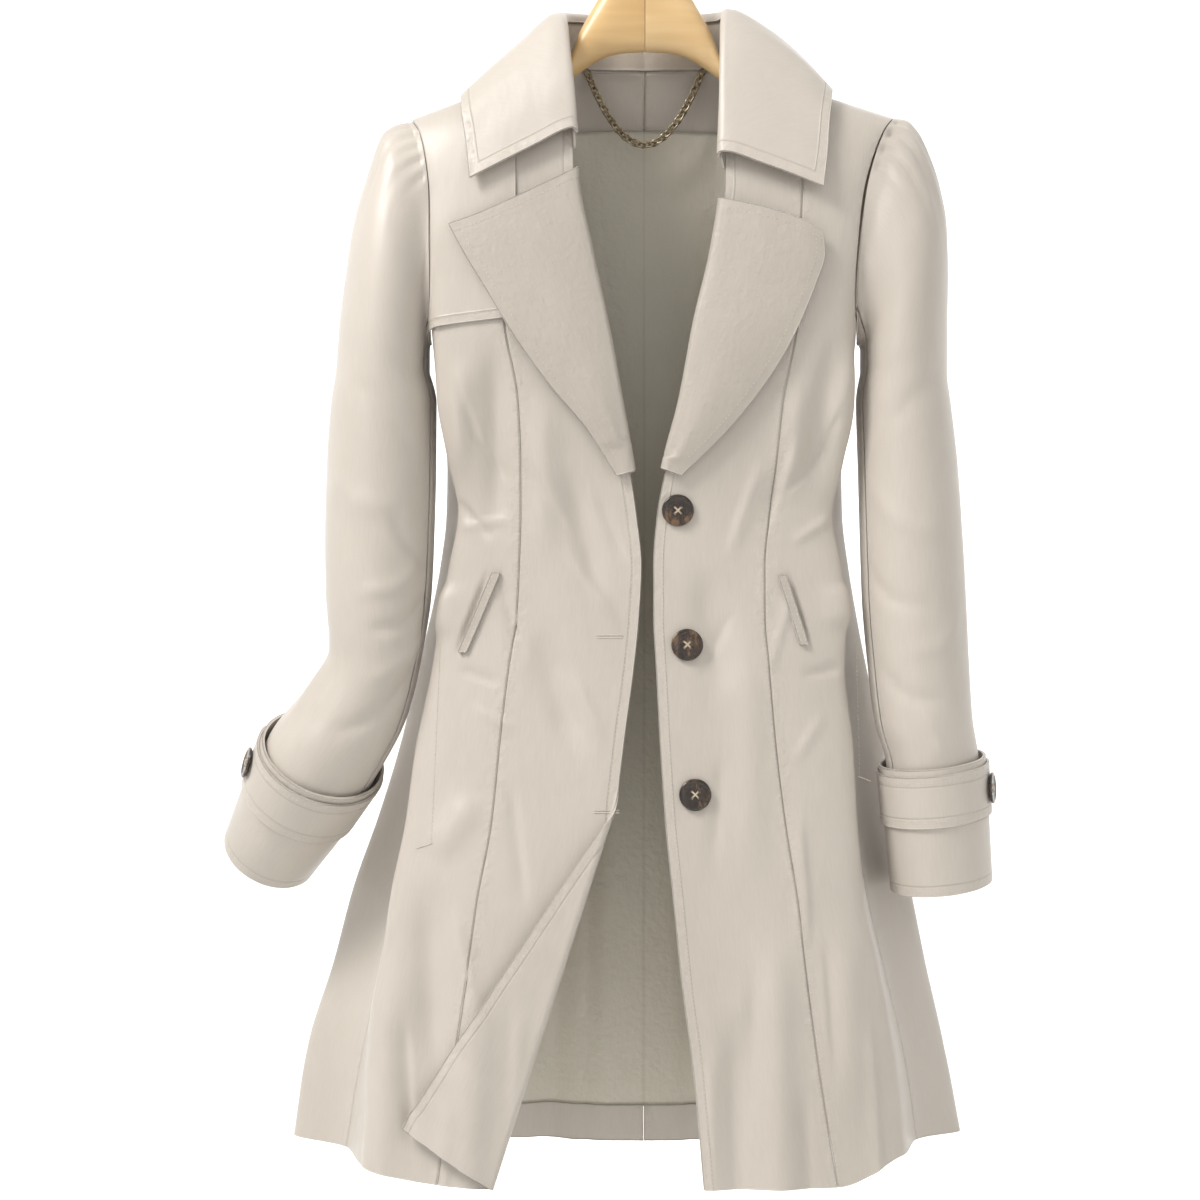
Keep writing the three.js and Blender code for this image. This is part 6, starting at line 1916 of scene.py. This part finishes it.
def grow_along(
    name: str,
    lines: Sequence[tuple[Array, Array]],
    tree: bpy.types.NodeTree,
    values: dict[str, object],
) -> bpy.types.Object:
    """Grows a tree's pieces along lines, and makes the result a plain mesh.

    Args:
        name: The piece's name.
        lines: Points and normals of each line, in millimetres.
        tree: The Geometry Nodes tree.
        values: A value for each of its named inputs.

    Returns:
        The finished object.
    """
    points = np.concatenate([line for line, _ in lines]) * MM
    ups = np.concatenate([up for _, up in lines])
    edges, start = [], 0
    for line, _ in lines:
        edges += [(start + k, start + k + 1) for k in range(len(line) - 1)]
        start += len(line)
    mesh = bpy.data.meshes.new(name + "_lines")
    mesh.from_pydata(points.tolist(), edges, [])
    layer = mesh.attributes.new("up", "FLOAT_VECTOR", "POINT")
    layer.data.foreach_set("vector", ups.astype(np.float32).ravel())
    helper = bpy.data.objects.new(name + "_lines", mesh)
    bpy.context.scene.collection.objects.link(helper)
    modifier = helper.modifiers.new(name, "NODES")
    modifier.node_group = tree
    for item in tree.interface.items_tree:
        if item.item_type == "SOCKET" and item.in_out == "INPUT" and item.name in values:
            modifier[item.identifier] = values[item.name]
    depsgraph = bpy.context.evaluated_depsgraph_get()
    made = bpy.data.meshes.new_from_object(helper.evaluated_get(depsgraph))
    made.name = name
    made.polygons.foreach_set("use_smooth", [True] * len(made.polygons))
    obj = bpy.data.objects.new(name, made)
    bpy.context.scene.collection.objects.link(obj)
    bpy.data.objects.remove(helper)
    return obj


def stitch_tree() -> bpy.types.NodeTree:
    """The tree that lays a stitch at even steps along each line."""
    graph, given = line_tree(
        "Topstitching",
        {
            "Step": ("NodeSocketFloat", 0.0034),
            "Stitch": ("NodeSocketFloat", 0.0025),
            "Thread": ("NodeSocketFloat", 0.0006),
            "Unevenness": ("NodeSocketFloat", 0.08),
            "Seed": ("NodeSocketInt", 7),
            "Finish": ("NodeSocketMaterial", None),
        },
    )
    even, lie = even_places(graph, given)
    ball = graph.add("GeometryNodeMeshUVSphere", {"Segments": 6, "Rings": 4, "Radius": 0.5}).outputs[0]
    least = graph.math("SUBTRACT", 1.0, given.outputs["Unevenness"])
    draw = {2: least, 3: 1.0, "Seed": given.outputs["Seed"]}
    spread = graph.add("FunctionNodeRandomValue", draw, data_type="FLOAT").outputs[1]
    long, thick = graph.math("MULTIPLY", given.outputs["Stitch"], spread), given.outputs["Thread"]
    size = graph.add("ShaderNodeCombineXYZ", {0: long, 1: thick, 2: thick}).outputs[0]
    return lay_pieces(graph, given, {"Points": even, "Instance": ball, "Rotation": lie, "Scale": size})


def chain_tree() -> bpy.types.NodeTree:
    """The tree that hangs oval links along each line, every other one turned on edge."""
    graph, given = line_tree(
        "Chain",
        {
            "Step": ("NodeSocketFloat", 0.0042),
            "Length": ("NodeSocketFloat", 0.0078),
            "Width": ("NodeSocketFloat", 0.0062),
            "Wire": ("NodeSocketFloat", 0.0008),
            "Finish": ("NodeSocketMaterial", None),
        },
    )
    even, lie = even_places(graph, given)
    number = graph.add("GeometryNodeInputIndex").outputs[0]
    lean = graph.line(graph.math("MODULO", number, 2.0), math.pi / 2, math.pi / 4)
    roll = graph.add("ShaderNodeCombineXYZ", {0: lean}).outputs[0]
    turned = graph.add("FunctionNodeEulerToRotation", {0: roll}).outputs[0]
    turns = {"Rotation": lie, "Rotate By": turned}
    both = graph.add("FunctionNodeRotateRotation", turns, rotation_space="LOCAL")
    ring = graph.add("GeometryNodeCurvePrimitiveCircle", {"Resolution": 14, "Radius": 0.5}).outputs[0]
    long, wide = given.outputs["Length"], given.outputs["Width"]
    shape = graph.add("ShaderNodeCombineXYZ", {0: long, 1: wide, 2: 1.0}).outputs[0]
    oval = graph.add("GeometryNodeTransform", {"Geometry": ring, "Scale": shape}).outputs[0]
    thick = {"Resolution": 6, "Radius": given.outputs["Wire"]}
    wire = graph.add("GeometryNodeCurvePrimitiveCircle", thick).outputs[0]
    link = graph.add("GeometryNodeCurveToMesh", {"Curve": oval, "Profile Curve": wire}).outputs[0]
    return lay_pieces(graph, given, {"Points": even, "Instance": link, "Rotation": both.outputs[0]})


class Edge(Enum):
    """The four edges of a wall's grid."""

    TOP = "top"
    FOOT = "foot"
    START = "start"
    STOP = "stop"


def line_beside(
    wall: Wall, edge: Edge, distance: float, first: float = 0.0, last: float = 1.0
) -> tuple[Array, Array]:
    """A line on a wall's outer face at a distance from one of its edges.

    Args:
        wall: The wall of cloth.
        edge: Which edge.
        distance: How far in, in millimetres.
        first: Share of the edge at which the line starts.
        last: Share at which it stops.

    Returns:
        The line's points, and the cloth's normals along it.
    """
    outer, normal = wall.outer, unit(wall.outer - wall.inner)
    if edge in (Edge.TOP, Edge.FOOT):
        outer, normal = outer.transpose(1, 0, 2), normal.transpose(1, 0, 2)
    if edge in (Edge.STOP, Edge.FOOT):
        outer, normal = outer[:, ::-1], normal[:, ::-1]
    reach = lengths_along(outer)
    points, ups = [], []
    for k in range(len(outer)):
        if first <= k / (len(outer) - 1) <= last and reach[k, -1] > distance:
            i = int(np.searchsorted(reach[k], distance)) - 1
            f = (distance - reach[k, i]) / (reach[k, i + 1] - reach[k, i])
            points.append(lerp(outer[k, i], outer[k, i + 1], f))
            ups.append(lerp(normal[k, i], normal[k, i + 1], f))
    return np.array(points), unit(np.array(ups))


# Hard pieces


def lathe(profile: Sequence[tuple[float, float]], sides: int) -> tuple[Array, Array]:
    """A turned shape from a closed profile of radius and height, in millimetres.

    Args:
        profile: Radius and height of each point, starting and ending on the axis.
        sides: Number of sides.

    Returns:
        Points and triangles.
    """
    turn = np.arange(sides) * 2 * math.pi / sides
    points = [np.array([[0.0, 0.0, profile[0][1]]])]
    for radius, height in profile[1:-1]:
        ring = [radius * np.cos(turn), radius * np.sin(turn), np.full(sides, height)]
        points.append(np.stack(ring, axis=-1))
    points.append(np.array([[0.0, 0.0, profile[-1][1]]]))
    rings = len(profile) - 2
    faces = []
    for i in range(sides):
        j = (i + 1) % sides
        faces.append((0, 1 + j, 1 + i))
        last = 1 + (rings - 1) * sides
        faces.append((last + sides, last + i, last + j))
        for k in range(rings - 1):
            a, b = 1 + k * sides, 1 + (k + 1) * sides
            faces += [(a + i, a + j, b + j), (a + i, b + j, b + i)]
    return np.concatenate(points), np.array(faces)


def ring_faces(rings: int, sides: int) -> Array:
    """Triangles over rings of points, closed at each end by one more point after them all."""
    faces, size, last = [], rings * sides, (rings - 1) * sides
    for i in range(sides):
        j = (i + 1) % sides
        for k in range(rings - 1):
            a, b = k * sides, (k + 1) * sides
            faces += [(a + i, a + j, b + j), (a + i, b + j, b + i)]
        faces += [(size, j, i), (size + 1, last + i, last + j)]
    return np.array(faces)


def tube(path: Array, radius: float | Array, sides: int) -> tuple[Array, Array]:
    """A round tube with round ends along points, in millimetres.

    Args:
        path: The points of its middle.
        radius: Its radius, or one for each point.
        sides: Number of sides.

    Returns:
        Points and triangles.
    """
    path = np.asarray(path, float)
    radii = np.broadcast_to(np.asarray(radius, float), (len(path),)).copy()
    tangent = unit(np.gradient(path, axis=0))
    caps = [(0.0, 0.35), (0.6, 0.8)]
    head = [path[0] - tangent[0] * radii[0] * (1 - reach) * 0.8 for reach, _ in caps]
    tail = [path[-1] + tangent[-1] * radii[-1] * (1 - reach) * 0.8 for reach, _ in caps][::-1]
    head_radii = [radii[0] * share for _, share in caps]
    tail_radii = [radii[-1] * share for _, share in caps][::-1]
    path = np.concatenate([head, path, tail])
    radii = np.concatenate([head_radii, radii, tail_radii])
    tangent = unit(np.gradient(path, axis=0))
    side = unit(np.cross(tangent[0], [0.3, 0.9, 0.2]))
    turn = np.arange(sides) * 2 * math.pi / sides
    points = []
    for k, place in enumerate(path):
        side = unit(side - tangent[k] * (side @ tangent[k]))
        other = np.cross(tangent[k], side)
        points.append(place + radii[k] * (np.cos(turn)[:, None] * side + np.sin(turn)[:, None] * other))
    return np.concatenate([*points, path[:1], path[-1:]]), ring_faces(len(path), sides)


@dataclass
class Buttons:
    """The coat's five horn buttons, each sewn on through four holes."""

    sides: int = 48
    hole_radius: float = 1.15
    hole_spread: float = 2.6
    half_depth: float = 1.5
    strand_radius: float = 0.32
    strand_shift: float = 0.35

    # Radius and height, from the middle of the underside round to the middle of the face
    PROFILE = [
        (0, 0.2), (9.0, 0.2), (11.2, 0.5), (12.2, 1.2), (12.5, 1.9), (12.2, 2.6), (11.3, 3.05),
        (10.2, 2.95), (9.3, 2.45), (7.5, 2.05), (5.0, 1.95), (0, 1.95),
    ]

    def build(
        self, node: str, away: Vector, finish: bpy.types.Material, thread: bpy.types.Material
    ) -> tuple[bpy.types.Object, bpy.types.Object]:
        """Makes one button and its thread in its node's place.

        Args:
            node: The CAD node that it replaces.
            away: A direction out of the cloth there.
            finish: The button's material.
            thread: The thread's material.

        Returns:
            The button and its thread.
        """
        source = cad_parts[node].data
        places = np.empty(len(source.vertices) * 3, np.float32)
        source.vertices.foreach_get("co", places)
        places = places.reshape(-1, 3) / MM
        centre = places.mean(axis=0)
        normal = Vector(np.linalg.eigh(np.cov((places - centre).T))[1][:, 0])
        if normal.dot(away) < 0:
            normal.negate()
        turn = np.array(normal.to_track_quat("Z", "Y").to_matrix())
        base = centre - np.array(normal) * self.half_depth
        points, faces = lathe(self.PROFILE, self.sides)
        obj = make_mesh(node + "_horn", (points @ turn.T + base) * MM, faces)
        cutters = []
        for dx, dy in ((1, 1), (-1, 1), (-1, -1), (1, -1)):
            rod, sides = lathe([(0, -1), (self.hole_radius, -1), (self.hole_radius, 5), (0, 5)], 14)
            rod[:, 0] += dx * self.hole_spread
            rod[:, 1] += dy * self.hole_spread
            cutters.append((rod, sides))
        cutter = joined(node + "_holes", cutters, turn, base)
        modifier = obj.modifiers.new("Holes", "BOOLEAN")
        modifier.object = cutter
        modifier.operation = "DIFFERENCE"
        modifier.solver = "EXACT"
        depsgraph = bpy.context.evaluated_depsgraph_get()
        pierced = bpy.data.meshes.new_from_object(obj.evaluated_get(depsgraph))
        obj.modifiers.clear()
        obj.data = pierced
        bpy.data.objects.remove(cutter)
        in_hole = [abs(face.normal.dot(normal)) < 0.2 and face.area < 4e-6 for face in pierced.polygons]
        pierced.polygons.foreach_set("use_smooth", [not flat for flat in in_hole])
        pierced.materials.clear()
        pierced.materials.append(finish)
        sewn = joined(node + "_thread", self._strands(), turn, base)
        sewn.data.materials.append(thread)
        return obj, sewn

    def _strands(self) -> list[tuple[Array, Array]]:
        """Two strands of thread along each diagonal, down into the holes at their ends."""
        strands = []
        t = np.linspace(0, 1, 9)
        for pair, start in enumerate((np.array([-1.0, -1.0]), np.array([-1.0, 1.0]))):
            a = start * self.hole_spread
            side = np.array([a[1], -a[0]]) / np.linalg.norm(a)
            into_hole = 1.3 * (np.abs(t - 0.5) > 0.45)
            rise = 2.35 + 0.55 * np.sin(math.pi * t) ** 0.5 + 0.25 * pair - into_hole
            for shift in (-self.strand_shift, self.strand_shift):
                flat = a - 2 * a * t[:, None] + side * shift
                strands.append(tube(np.column_stack([flat, rise]), self.strand_radius, 6))
        return strands


def joined(
    name: str, shapes: Sequence[tuple[Array, Array]], turn: Array, base: Array
) -> bpy.types.Object:
    """Makes one object of several shapes, turned and moved into place.

    Args:
        name: The piece's name.
        shapes: Points and triangles of each, in millimetres.
        turn: Rotation.
        base: Place of their origin.

    Returns:
        The object.
    """
    points, faces, start = [], [], 0
    for shape, sides in shapes:
        points.append(shape)
        faces.append(sides + start)
        start += len(shape)
    return make_mesh(name, (np.concatenate(points) @ turn.T + base) * MM, np.concatenate(faces))


@dataclass
class Hanger:
    """The wooden hanger in two halves, its hook, and the coat's chain loop."""

    sides: int = 40
    hook_radius: float = 2.0
    hook_bend: float = 22.0
    loop_half: float = 46.0
    loop_sag: float = 58.0
    loop_top: float = -161.0
    loop_y: float = 24.3

    # x, top, foot, half depth
    MIDDLE = [
        (0.15, -75, -149, 11), (14, -77, -149.5, 11), (28, -90, -152, 11), (38, -107, -156, 10.5),
        (46, -121, -161, 10), (53, -134, -166, 9.5), (58, -147, -170, 9.5), (62, -158, -173, 9.5),
        (66, -162.6, -176, 10),
    ]
    # x, height, half depth, just under the shoulder seam
    ARM = [(70, 19, 10.5), (95, 24, 12), (125, 26, 13), (152, 26, 13), (170, 21, 11), (178, 11, 6)]

    def half(self, side: Side) -> bpy.types.Object:
        """One half of the wood."""
        sections = [list(section) for section in self.MIDDLE]
        for x, tall, deep in self.ARM:
            top = float(shoulder_height(side, np.array(x))) - SHELL * 1.08 - SEAM - 0.35
            sections.append([x, top, top - tall, deep])
        table = np.array(sections, float)
        x = np.unique(np.concatenate([table[:, 0], np.arange(1, 178, 3.0), [176.5, 177.4]]))
        shape = spline(table[:, 0], table[:, 1:], x)
        turn = np.arange(self.sides) * 2 * math.pi / self.sides
        top, foot, deep = shape[:, :1], shape[:, 1:2], shape[:, 2:]
        y = deep * np.cos(turn)
        z = (top + foot) / 2 + (top - foot) / 2 * np.sin(turn)
        rings = np.stack([np.broadcast_to(side.sign * x[:, None], y.shape), y, z], axis=-1)
        tip = rings[-1].mean(axis=0) + np.array([side.sign * 1.5, 0, 0])
        points = np.concatenate([rings.reshape(-1, 3), rings[0].mean(axis=0)[None], tip[None]])
        name = "wood_right" if side is Side.RIGHT else "wood_left"
        return make_mesh(name, points * MM, ring_faces(len(x), self.sides))

    def hook(self) -> bpy.types.Object:
        """The metal hook."""
        top = self.hook_radius - self.hook_bend
        turn = np.radians(np.arange(205, -46, -8.0))
        bend = np.column_stack(
            [self.hook_bend * np.cos(turn), np.zeros_like(turn), top + self.hook_bend * np.sin(turn)]
        )
        foot = [0, 0, self.MIDDLE[0][1] - 1.0]
        stem = np.array([[6.5, 0, -45], [1.2, 0, -53], [0, 0, -61], [0, 0, -68], foot])
        rough = np.concatenate([bend, stem])
        reach = np.concatenate([[0], np.cumsum(np.linalg.norm(np.diff(rough, axis=0), axis=-1))])
        path = spline(reach, rough, np.linspace(0, reach[-1], 90))
        points, faces = tube(path, self.hook_radius, 20)
        return make_mesh("hook_wire", points * MM, faces)

    def loop(self, finish: bpy.types.Material) -> bpy.types.Object:
        """The chain loop's links, along its hang."""
        u = np.linspace(-1, 1, 60)
        path = np.column_stack(
            [self.loop_half * u, np.full_like(u, self.loop_y), self.loop_top - self.loop_sag * (1 - u * u)]
        )
        ups = np.tile([0.0, -1.0, 0.0], (len(u), 1))
        return grow_along("chain_links", [(path, ups)], chain_tree(), {"Finish": finish})


# The studio


@dataclass
class Studio:
    """The camera, the lights and a plain pale floor that turns up into a wall all round."""

    lens: float = 82.5
    sensor: float = 36.0
    camera_place: Point = (-0.036, -2.2, -0.587)
    daylight: float = 0.85

    # Radius and height, in metres
    BOWL = [
        (0.0, -1.9), (2.0, -1.9), (4.2, -1.9), (4.9, -1.86), (5.5, -1.7), (5.9, -1.35),
        (6.05, -0.8), (6.1, 0.6), (6.1, 4.5),
    ]
    BOWL_SIDES = 96

    def camera(self) -> None:
        """Makes the camera at the photograph's viewing angle."""
        data = bpy.data.cameras.new("Camera")
        data.lens, data.sensor_width = self.lens, self.sensor
        data.clip_start, data.clip_end = 0.05, 60.0
        obj = bpy.data.objects.new("Camera", data)
        obj.location = self.camera_place
        obj.rotation_euler = (math.radians(90), 0, 0)
        bpy.context.scene.collection.objects.link(obj)
        bpy.context.scene.camera = obj

    def light(
        self,
        name: str,
        place: Point,
        size: float,
        power: float,
        tint: Point = (1, 1, 1),
        aim: Point = (-0.03, 0, -0.6),
    ) -> None:
        """Adds a soft square light that faces the coat.

        Args:
            name: Its name.
            place: Where it stands, in metres.
            size: Its width, in metres.
            power: Its power, in watts.
            tint: Its colour.
            aim: The place that it faces.
        """
        data = bpy.data.lights.new(name, "AREA")
        data.shape, data.size, data.energy, data.color = "SQUARE", size, power, tint
        obj = bpy.data.objects.new(name, data)
        obj.location = place
        obj.rotation_mode = "QUATERNION"
        obj.rotation_quaternion = (Vector(aim) - Vector(place)).to_track_quat("-Z", "Y")
        bpy.context.scene.collection.objects.link(obj)

    def bowl(self) -> bpy.types.Object:
        """The floor and the wall it turns into, as one surface."""
        profile, sides = self.BOWL, self.BOWL_SIDES
        turn = np.arange(sides) * 2 * math.pi / sides
        points = [(0.0, 0.0, profile[0][1])]
        for radius, height in profile[1:]:
            points += [(radius * math.cos(a), radius * math.sin(a), height) for a in turn]
        faces = [(0, 1 + i, 1 + (i + 1) % sides) for i in range(sides)]
        for k in range(len(profile) - 2):
            a, b = 1 + k * sides, 1 + (k + 1) * sides
            faces += [(a + i, b + i, b + (i + 1) % sides, a + (i + 1) % sides) for i in range(sides)]
        mesh = bpy.data.meshes.new("floor")
        mesh.from_pydata(points, [], faces)
        mesh.polygons.foreach_set("use_smooth", [True] * len(mesh.polygons))
        material, graph, surface = new_material("Pale floor")
        cloud = graph.noise(graph.add("ShaderNodeTexCoord").outputs["Object"], 1.2)
        colour = graph.ramp(cloud, [(0.3, (0.86, 0.86, 0.855)), (0.7, (0.89, 0.89, 0.885))])
        graph.feed(surface, {"Base Color": colour, "Roughness": 0.9})
        mesh.materials.append(material)
        obj = bpy.data.objects.new("floor", mesh)
        bpy.context.scene.collection.objects.link(obj)
        return obj

    def build(self) -> None:
        """Makes the lights, the surround and the floor."""
        scene = bpy.context.scene
        scene.view_settings.view_transform = "Standard"
        world = bpy.data.worlds.new("Soft daylight")
        scene.world = world
        world.use_nodes = True
        sky = world.node_tree.nodes.get("Background")
        sky.inputs["Color"].default_value = (1.0, 0.99, 0.97, 1)
        sky.inputs["Strength"].default_value = self.daylight
        self.light("Window", (-1.9, -1.35, 1.75), 1.1, 92, (1.0, 0.985, 0.96))
        self.light("Reflector", (2.6, -2.4, -0.4), 2.2, 6)
        self.light("Back light", (0.6, 3.0, 1.2), 2.2, 14)
        self.light("Backdrop light", (0.0, 2.2, 0.6), 2.6, 150, aim=(0.0, 6.0, -0.9))
        self.bowl()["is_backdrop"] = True


# The whole coat


# A narrow welt is stated with the cloth of its turned edges
NARROWEST = 0.0101


def declare(obj: bpy.types.Object, wall: Wall) -> None:
    """Gives a piece of cloth its body, hides the node that it replaces and logs the size of its cut."""
    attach(obj, "root")
    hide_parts(wall.name)
    width, length, area = wall.flat()
    if width < NARROWEST:
        width, area = NARROWEST, NARROWEST * length
    LOG.info("%s: %.0f x %.0f mm, %.4f square metres", obj.name, width * 1000, length * 1000, area)


def settle(
    obj: bpy.types.Object, node: str = "", finish: Optional[bpy.types.Material] = None
) -> None:
    """Gives a piece its finish, its body and the node that it replaces."""
    if finish:
        obj.data.materials.append(finish)
    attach(obj, "root")
    if node:
        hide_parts(node)


# Rows of topstitching: the wall, its edge, the distance in, and the shares at which it starts and stops
SIDE_ROWS = [
    ("front_side", Edge.START, 1.7, 0.02, 1.0),
    ("front_centre", Edge.STOP, 1.7, 0.02, 1.0),
    ("back", Edge.STOP, 1.7, 0.02, 1.0),
    ("back", Edge.STOP, 7.0, 0.02, 1.0),
    ("front_centre", Edge.START, 7.0, 0.4, 1.0),
    ("lapel", Edge.STOP, 7.0, 0.0, 0.93),
    ("lapel", Edge.TOP, 7.0, 0.3, 0.97),
    ("cuff", Edge.TOP, 6.0, 0.0, 1.0),
    ("cuff_strap", Edge.TOP, 4.5, 0.0, 1.0),
    ("cuff_strap", Edge.FOOT, 4.5, 0.0, 1.0),
    ("pocket_welt", Edge.START, 1.2, 0.0, 1.0),
    ("pocket_welt", Edge.STOP, 1.2, 0.0, 1.0),
]
LEAF_ROWS = [(Edge.FOOT, 0.01), (Edge.START, 0.3), (Edge.STOP, 0.3)]
LEAF_DISTANCES = (1.8, 9.0)


def stitch_lines(walls: dict[str, Wall]) -> list[tuple[Array, Array]]:
    """Every row of topstitching along an edge, as lines on the cloth."""
    rows = [(f"{name}_{side.letter}", *row) for side in Side for name, *row in SIDE_ROWS]
    rows.append(("storm_flap", Edge.FOOT, 6.0, 0.0, 1.0))
    rows += [("collar_leaf", edge, far, first, 0.99) for far in LEAF_DISTANCES for edge, first in LEAF_ROWS]
    return [line_beside(walls[name], *row) for name, *row in rows]


# Places on the fronts, in millimetres: x0, z0, x1, z1 of each sewn line
POCKET_ROWS = {Side.RIGHT: (-161, -622, -167, -776), Side.LEFT: (166, -622, 168, -726)}
DENSE_LINES = {
    Side.RIGHT: [
        (-38, -614.4, -19, -614.4),
        (-38, -616.2, -19, -616.2),
        (-40, -750, -22, -750),
        (-40, -751.8, -22, -751.8),
        (-167, -776, -178, -780),
    ],
    Side.LEFT: [(168, -726, 176, -729)],
}


def front_line(
    form: BodyForm, ends: tuple[float, float, float, float], rise: float = 0.15
) -> tuple[Array, Array]:
    """A straight line laid on a front.

    Args:
        form: That half of the body.
        ends: x and z of its start and of its stop.
        rise: How far it lies off the cloth.

    Returns:
        Its points and the cloth's normals.
    """
    x0, z0, x1, z1 = ends
    count = max(6, int(math.hypot(x1 - x0, z1 - z0) / 2))
    t = np.linspace(0, 1, count)
    x, z = lerp(x0, x1, t), lerp(z0, z1, t)
    depth = form.front_depth(x, z)
    slope_x = form.front_depth(x + 1.0, z) - form.front_depth(x - 1.0, z)
    slope_z = form.front_depth(x, z + 1.0) - form.front_depth(x, z - 1.0)
    normal = unit(np.stack([slope_x / 2, np.full_like(x, -1.0), slope_z / 2], axis=-1))
    return np.stack([x, depth, z], axis=-1) + normal * rise, normal


def main() -> None:
    """Builds the dressed coat and its studio."""
    logging.basicConfig(level=logging.INFO, format="%(message)s")
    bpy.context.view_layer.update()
    studio = Studio()
    studio.camera()
    effects = Effects()
    stone = ((0.53, 0.48, 0.425), (0.43, 0.385, 0.335))
    satin = ((0.60, 0.56, 0.47), (0.50, 0.46, 0.38))
    shell = ClothFinish("Stone twill", *stone).build(effects)
    finishes = {
        "collar_leaf": ClothFinish("Stone twill of the collar", *stone, row=9.0).build(effects),
        "lining_back": ClothFinish("Satin lining", *satin, 0.36, 0.1, 2400, 0.03, 0.35).build(effects),
    }
    horn = HornFinish().build()
    thread = ThreadFinish("Topstitch thread", (0.60, 0.55, 0.48)).build()
    button_thread = ThreadFinish("Button thread", (0.62, 0.52, 0.38)).build()
    forms = {side: BodyForm(side) for side in Side}
    groups = (Panels(forms), LaidOn(forms), Collar(forms), *(Sleeve(side, forms[side]) for side in Side))
    walls = {wall.name: wall for group in groups for wall in group.walls()}
    for name, wall in walls.items():
        obj = wall.build()
        obj.data.materials.append(finishes.get(name, shell))
        declare(obj, wall)
    sewing = stitch_tree()
    rows = stitch_lines(walls) + [front_line(forms[side], POCKET_ROWS[side]) for side in Side]
    settle(grow_along("topstitching", rows, sewing, {"Finish": thread}))
    rows = [front_line(forms[side], ends) for side in Side for ends in DENSE_LINES[side]]
    dense = {"Finish": thread, "Step": 0.0009, "Thread": 0.0011}
    settle(grow_along("buttonholes_and_tacks", rows, sewing, dense))
    places = {f"button_{k + 1}": Vector((0, -1, 0)) for k in range(3)}
    places |= {"cuff_button_R": Vector((-1, -0.2, 0)), "cuff_button_L": Vector((1, -0.2, 0))}
    for node, away in places.items():
        button, sewn = Buttons().build(node, away, horn, button_thread)
        settle(button, node)
        settle(sewn)
    hanger = Hanger()
    dark = WoodFinish("Darker wood", (0.66, 0.44, 0.20), (0.50, 0.30, 0.12), 0.3).build()
    light = WoodFinish("Lighter wood", (0.76, 0.55, 0.29), (0.62, 0.41, 0.19), 1.7).build()
    steel = MetalFinish("Polished steel", (0.75, 0.75, 0.76), (0.62, 0.62, 0.63), 0.12).build()
    brass = MetalFinish("Antique brass", (0.56, 0.47, 0.33), (0.22, 0.17, 0.11), 0.25).build()
    settle(hanger.half(Side.RIGHT), "hanger_right_half", dark)
    settle(hanger.half(Side.LEFT), "hanger_left_half", light)
    settle(hanger.hook(), "hook", steel)
    settle(hanger.loop(brass), "hanger_loop")
    studio.build()
    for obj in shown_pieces():
        LOG.info("%s: %d faces", obj.name, len(obj.data.polygons))


if __name__ == "__main__":
    main()
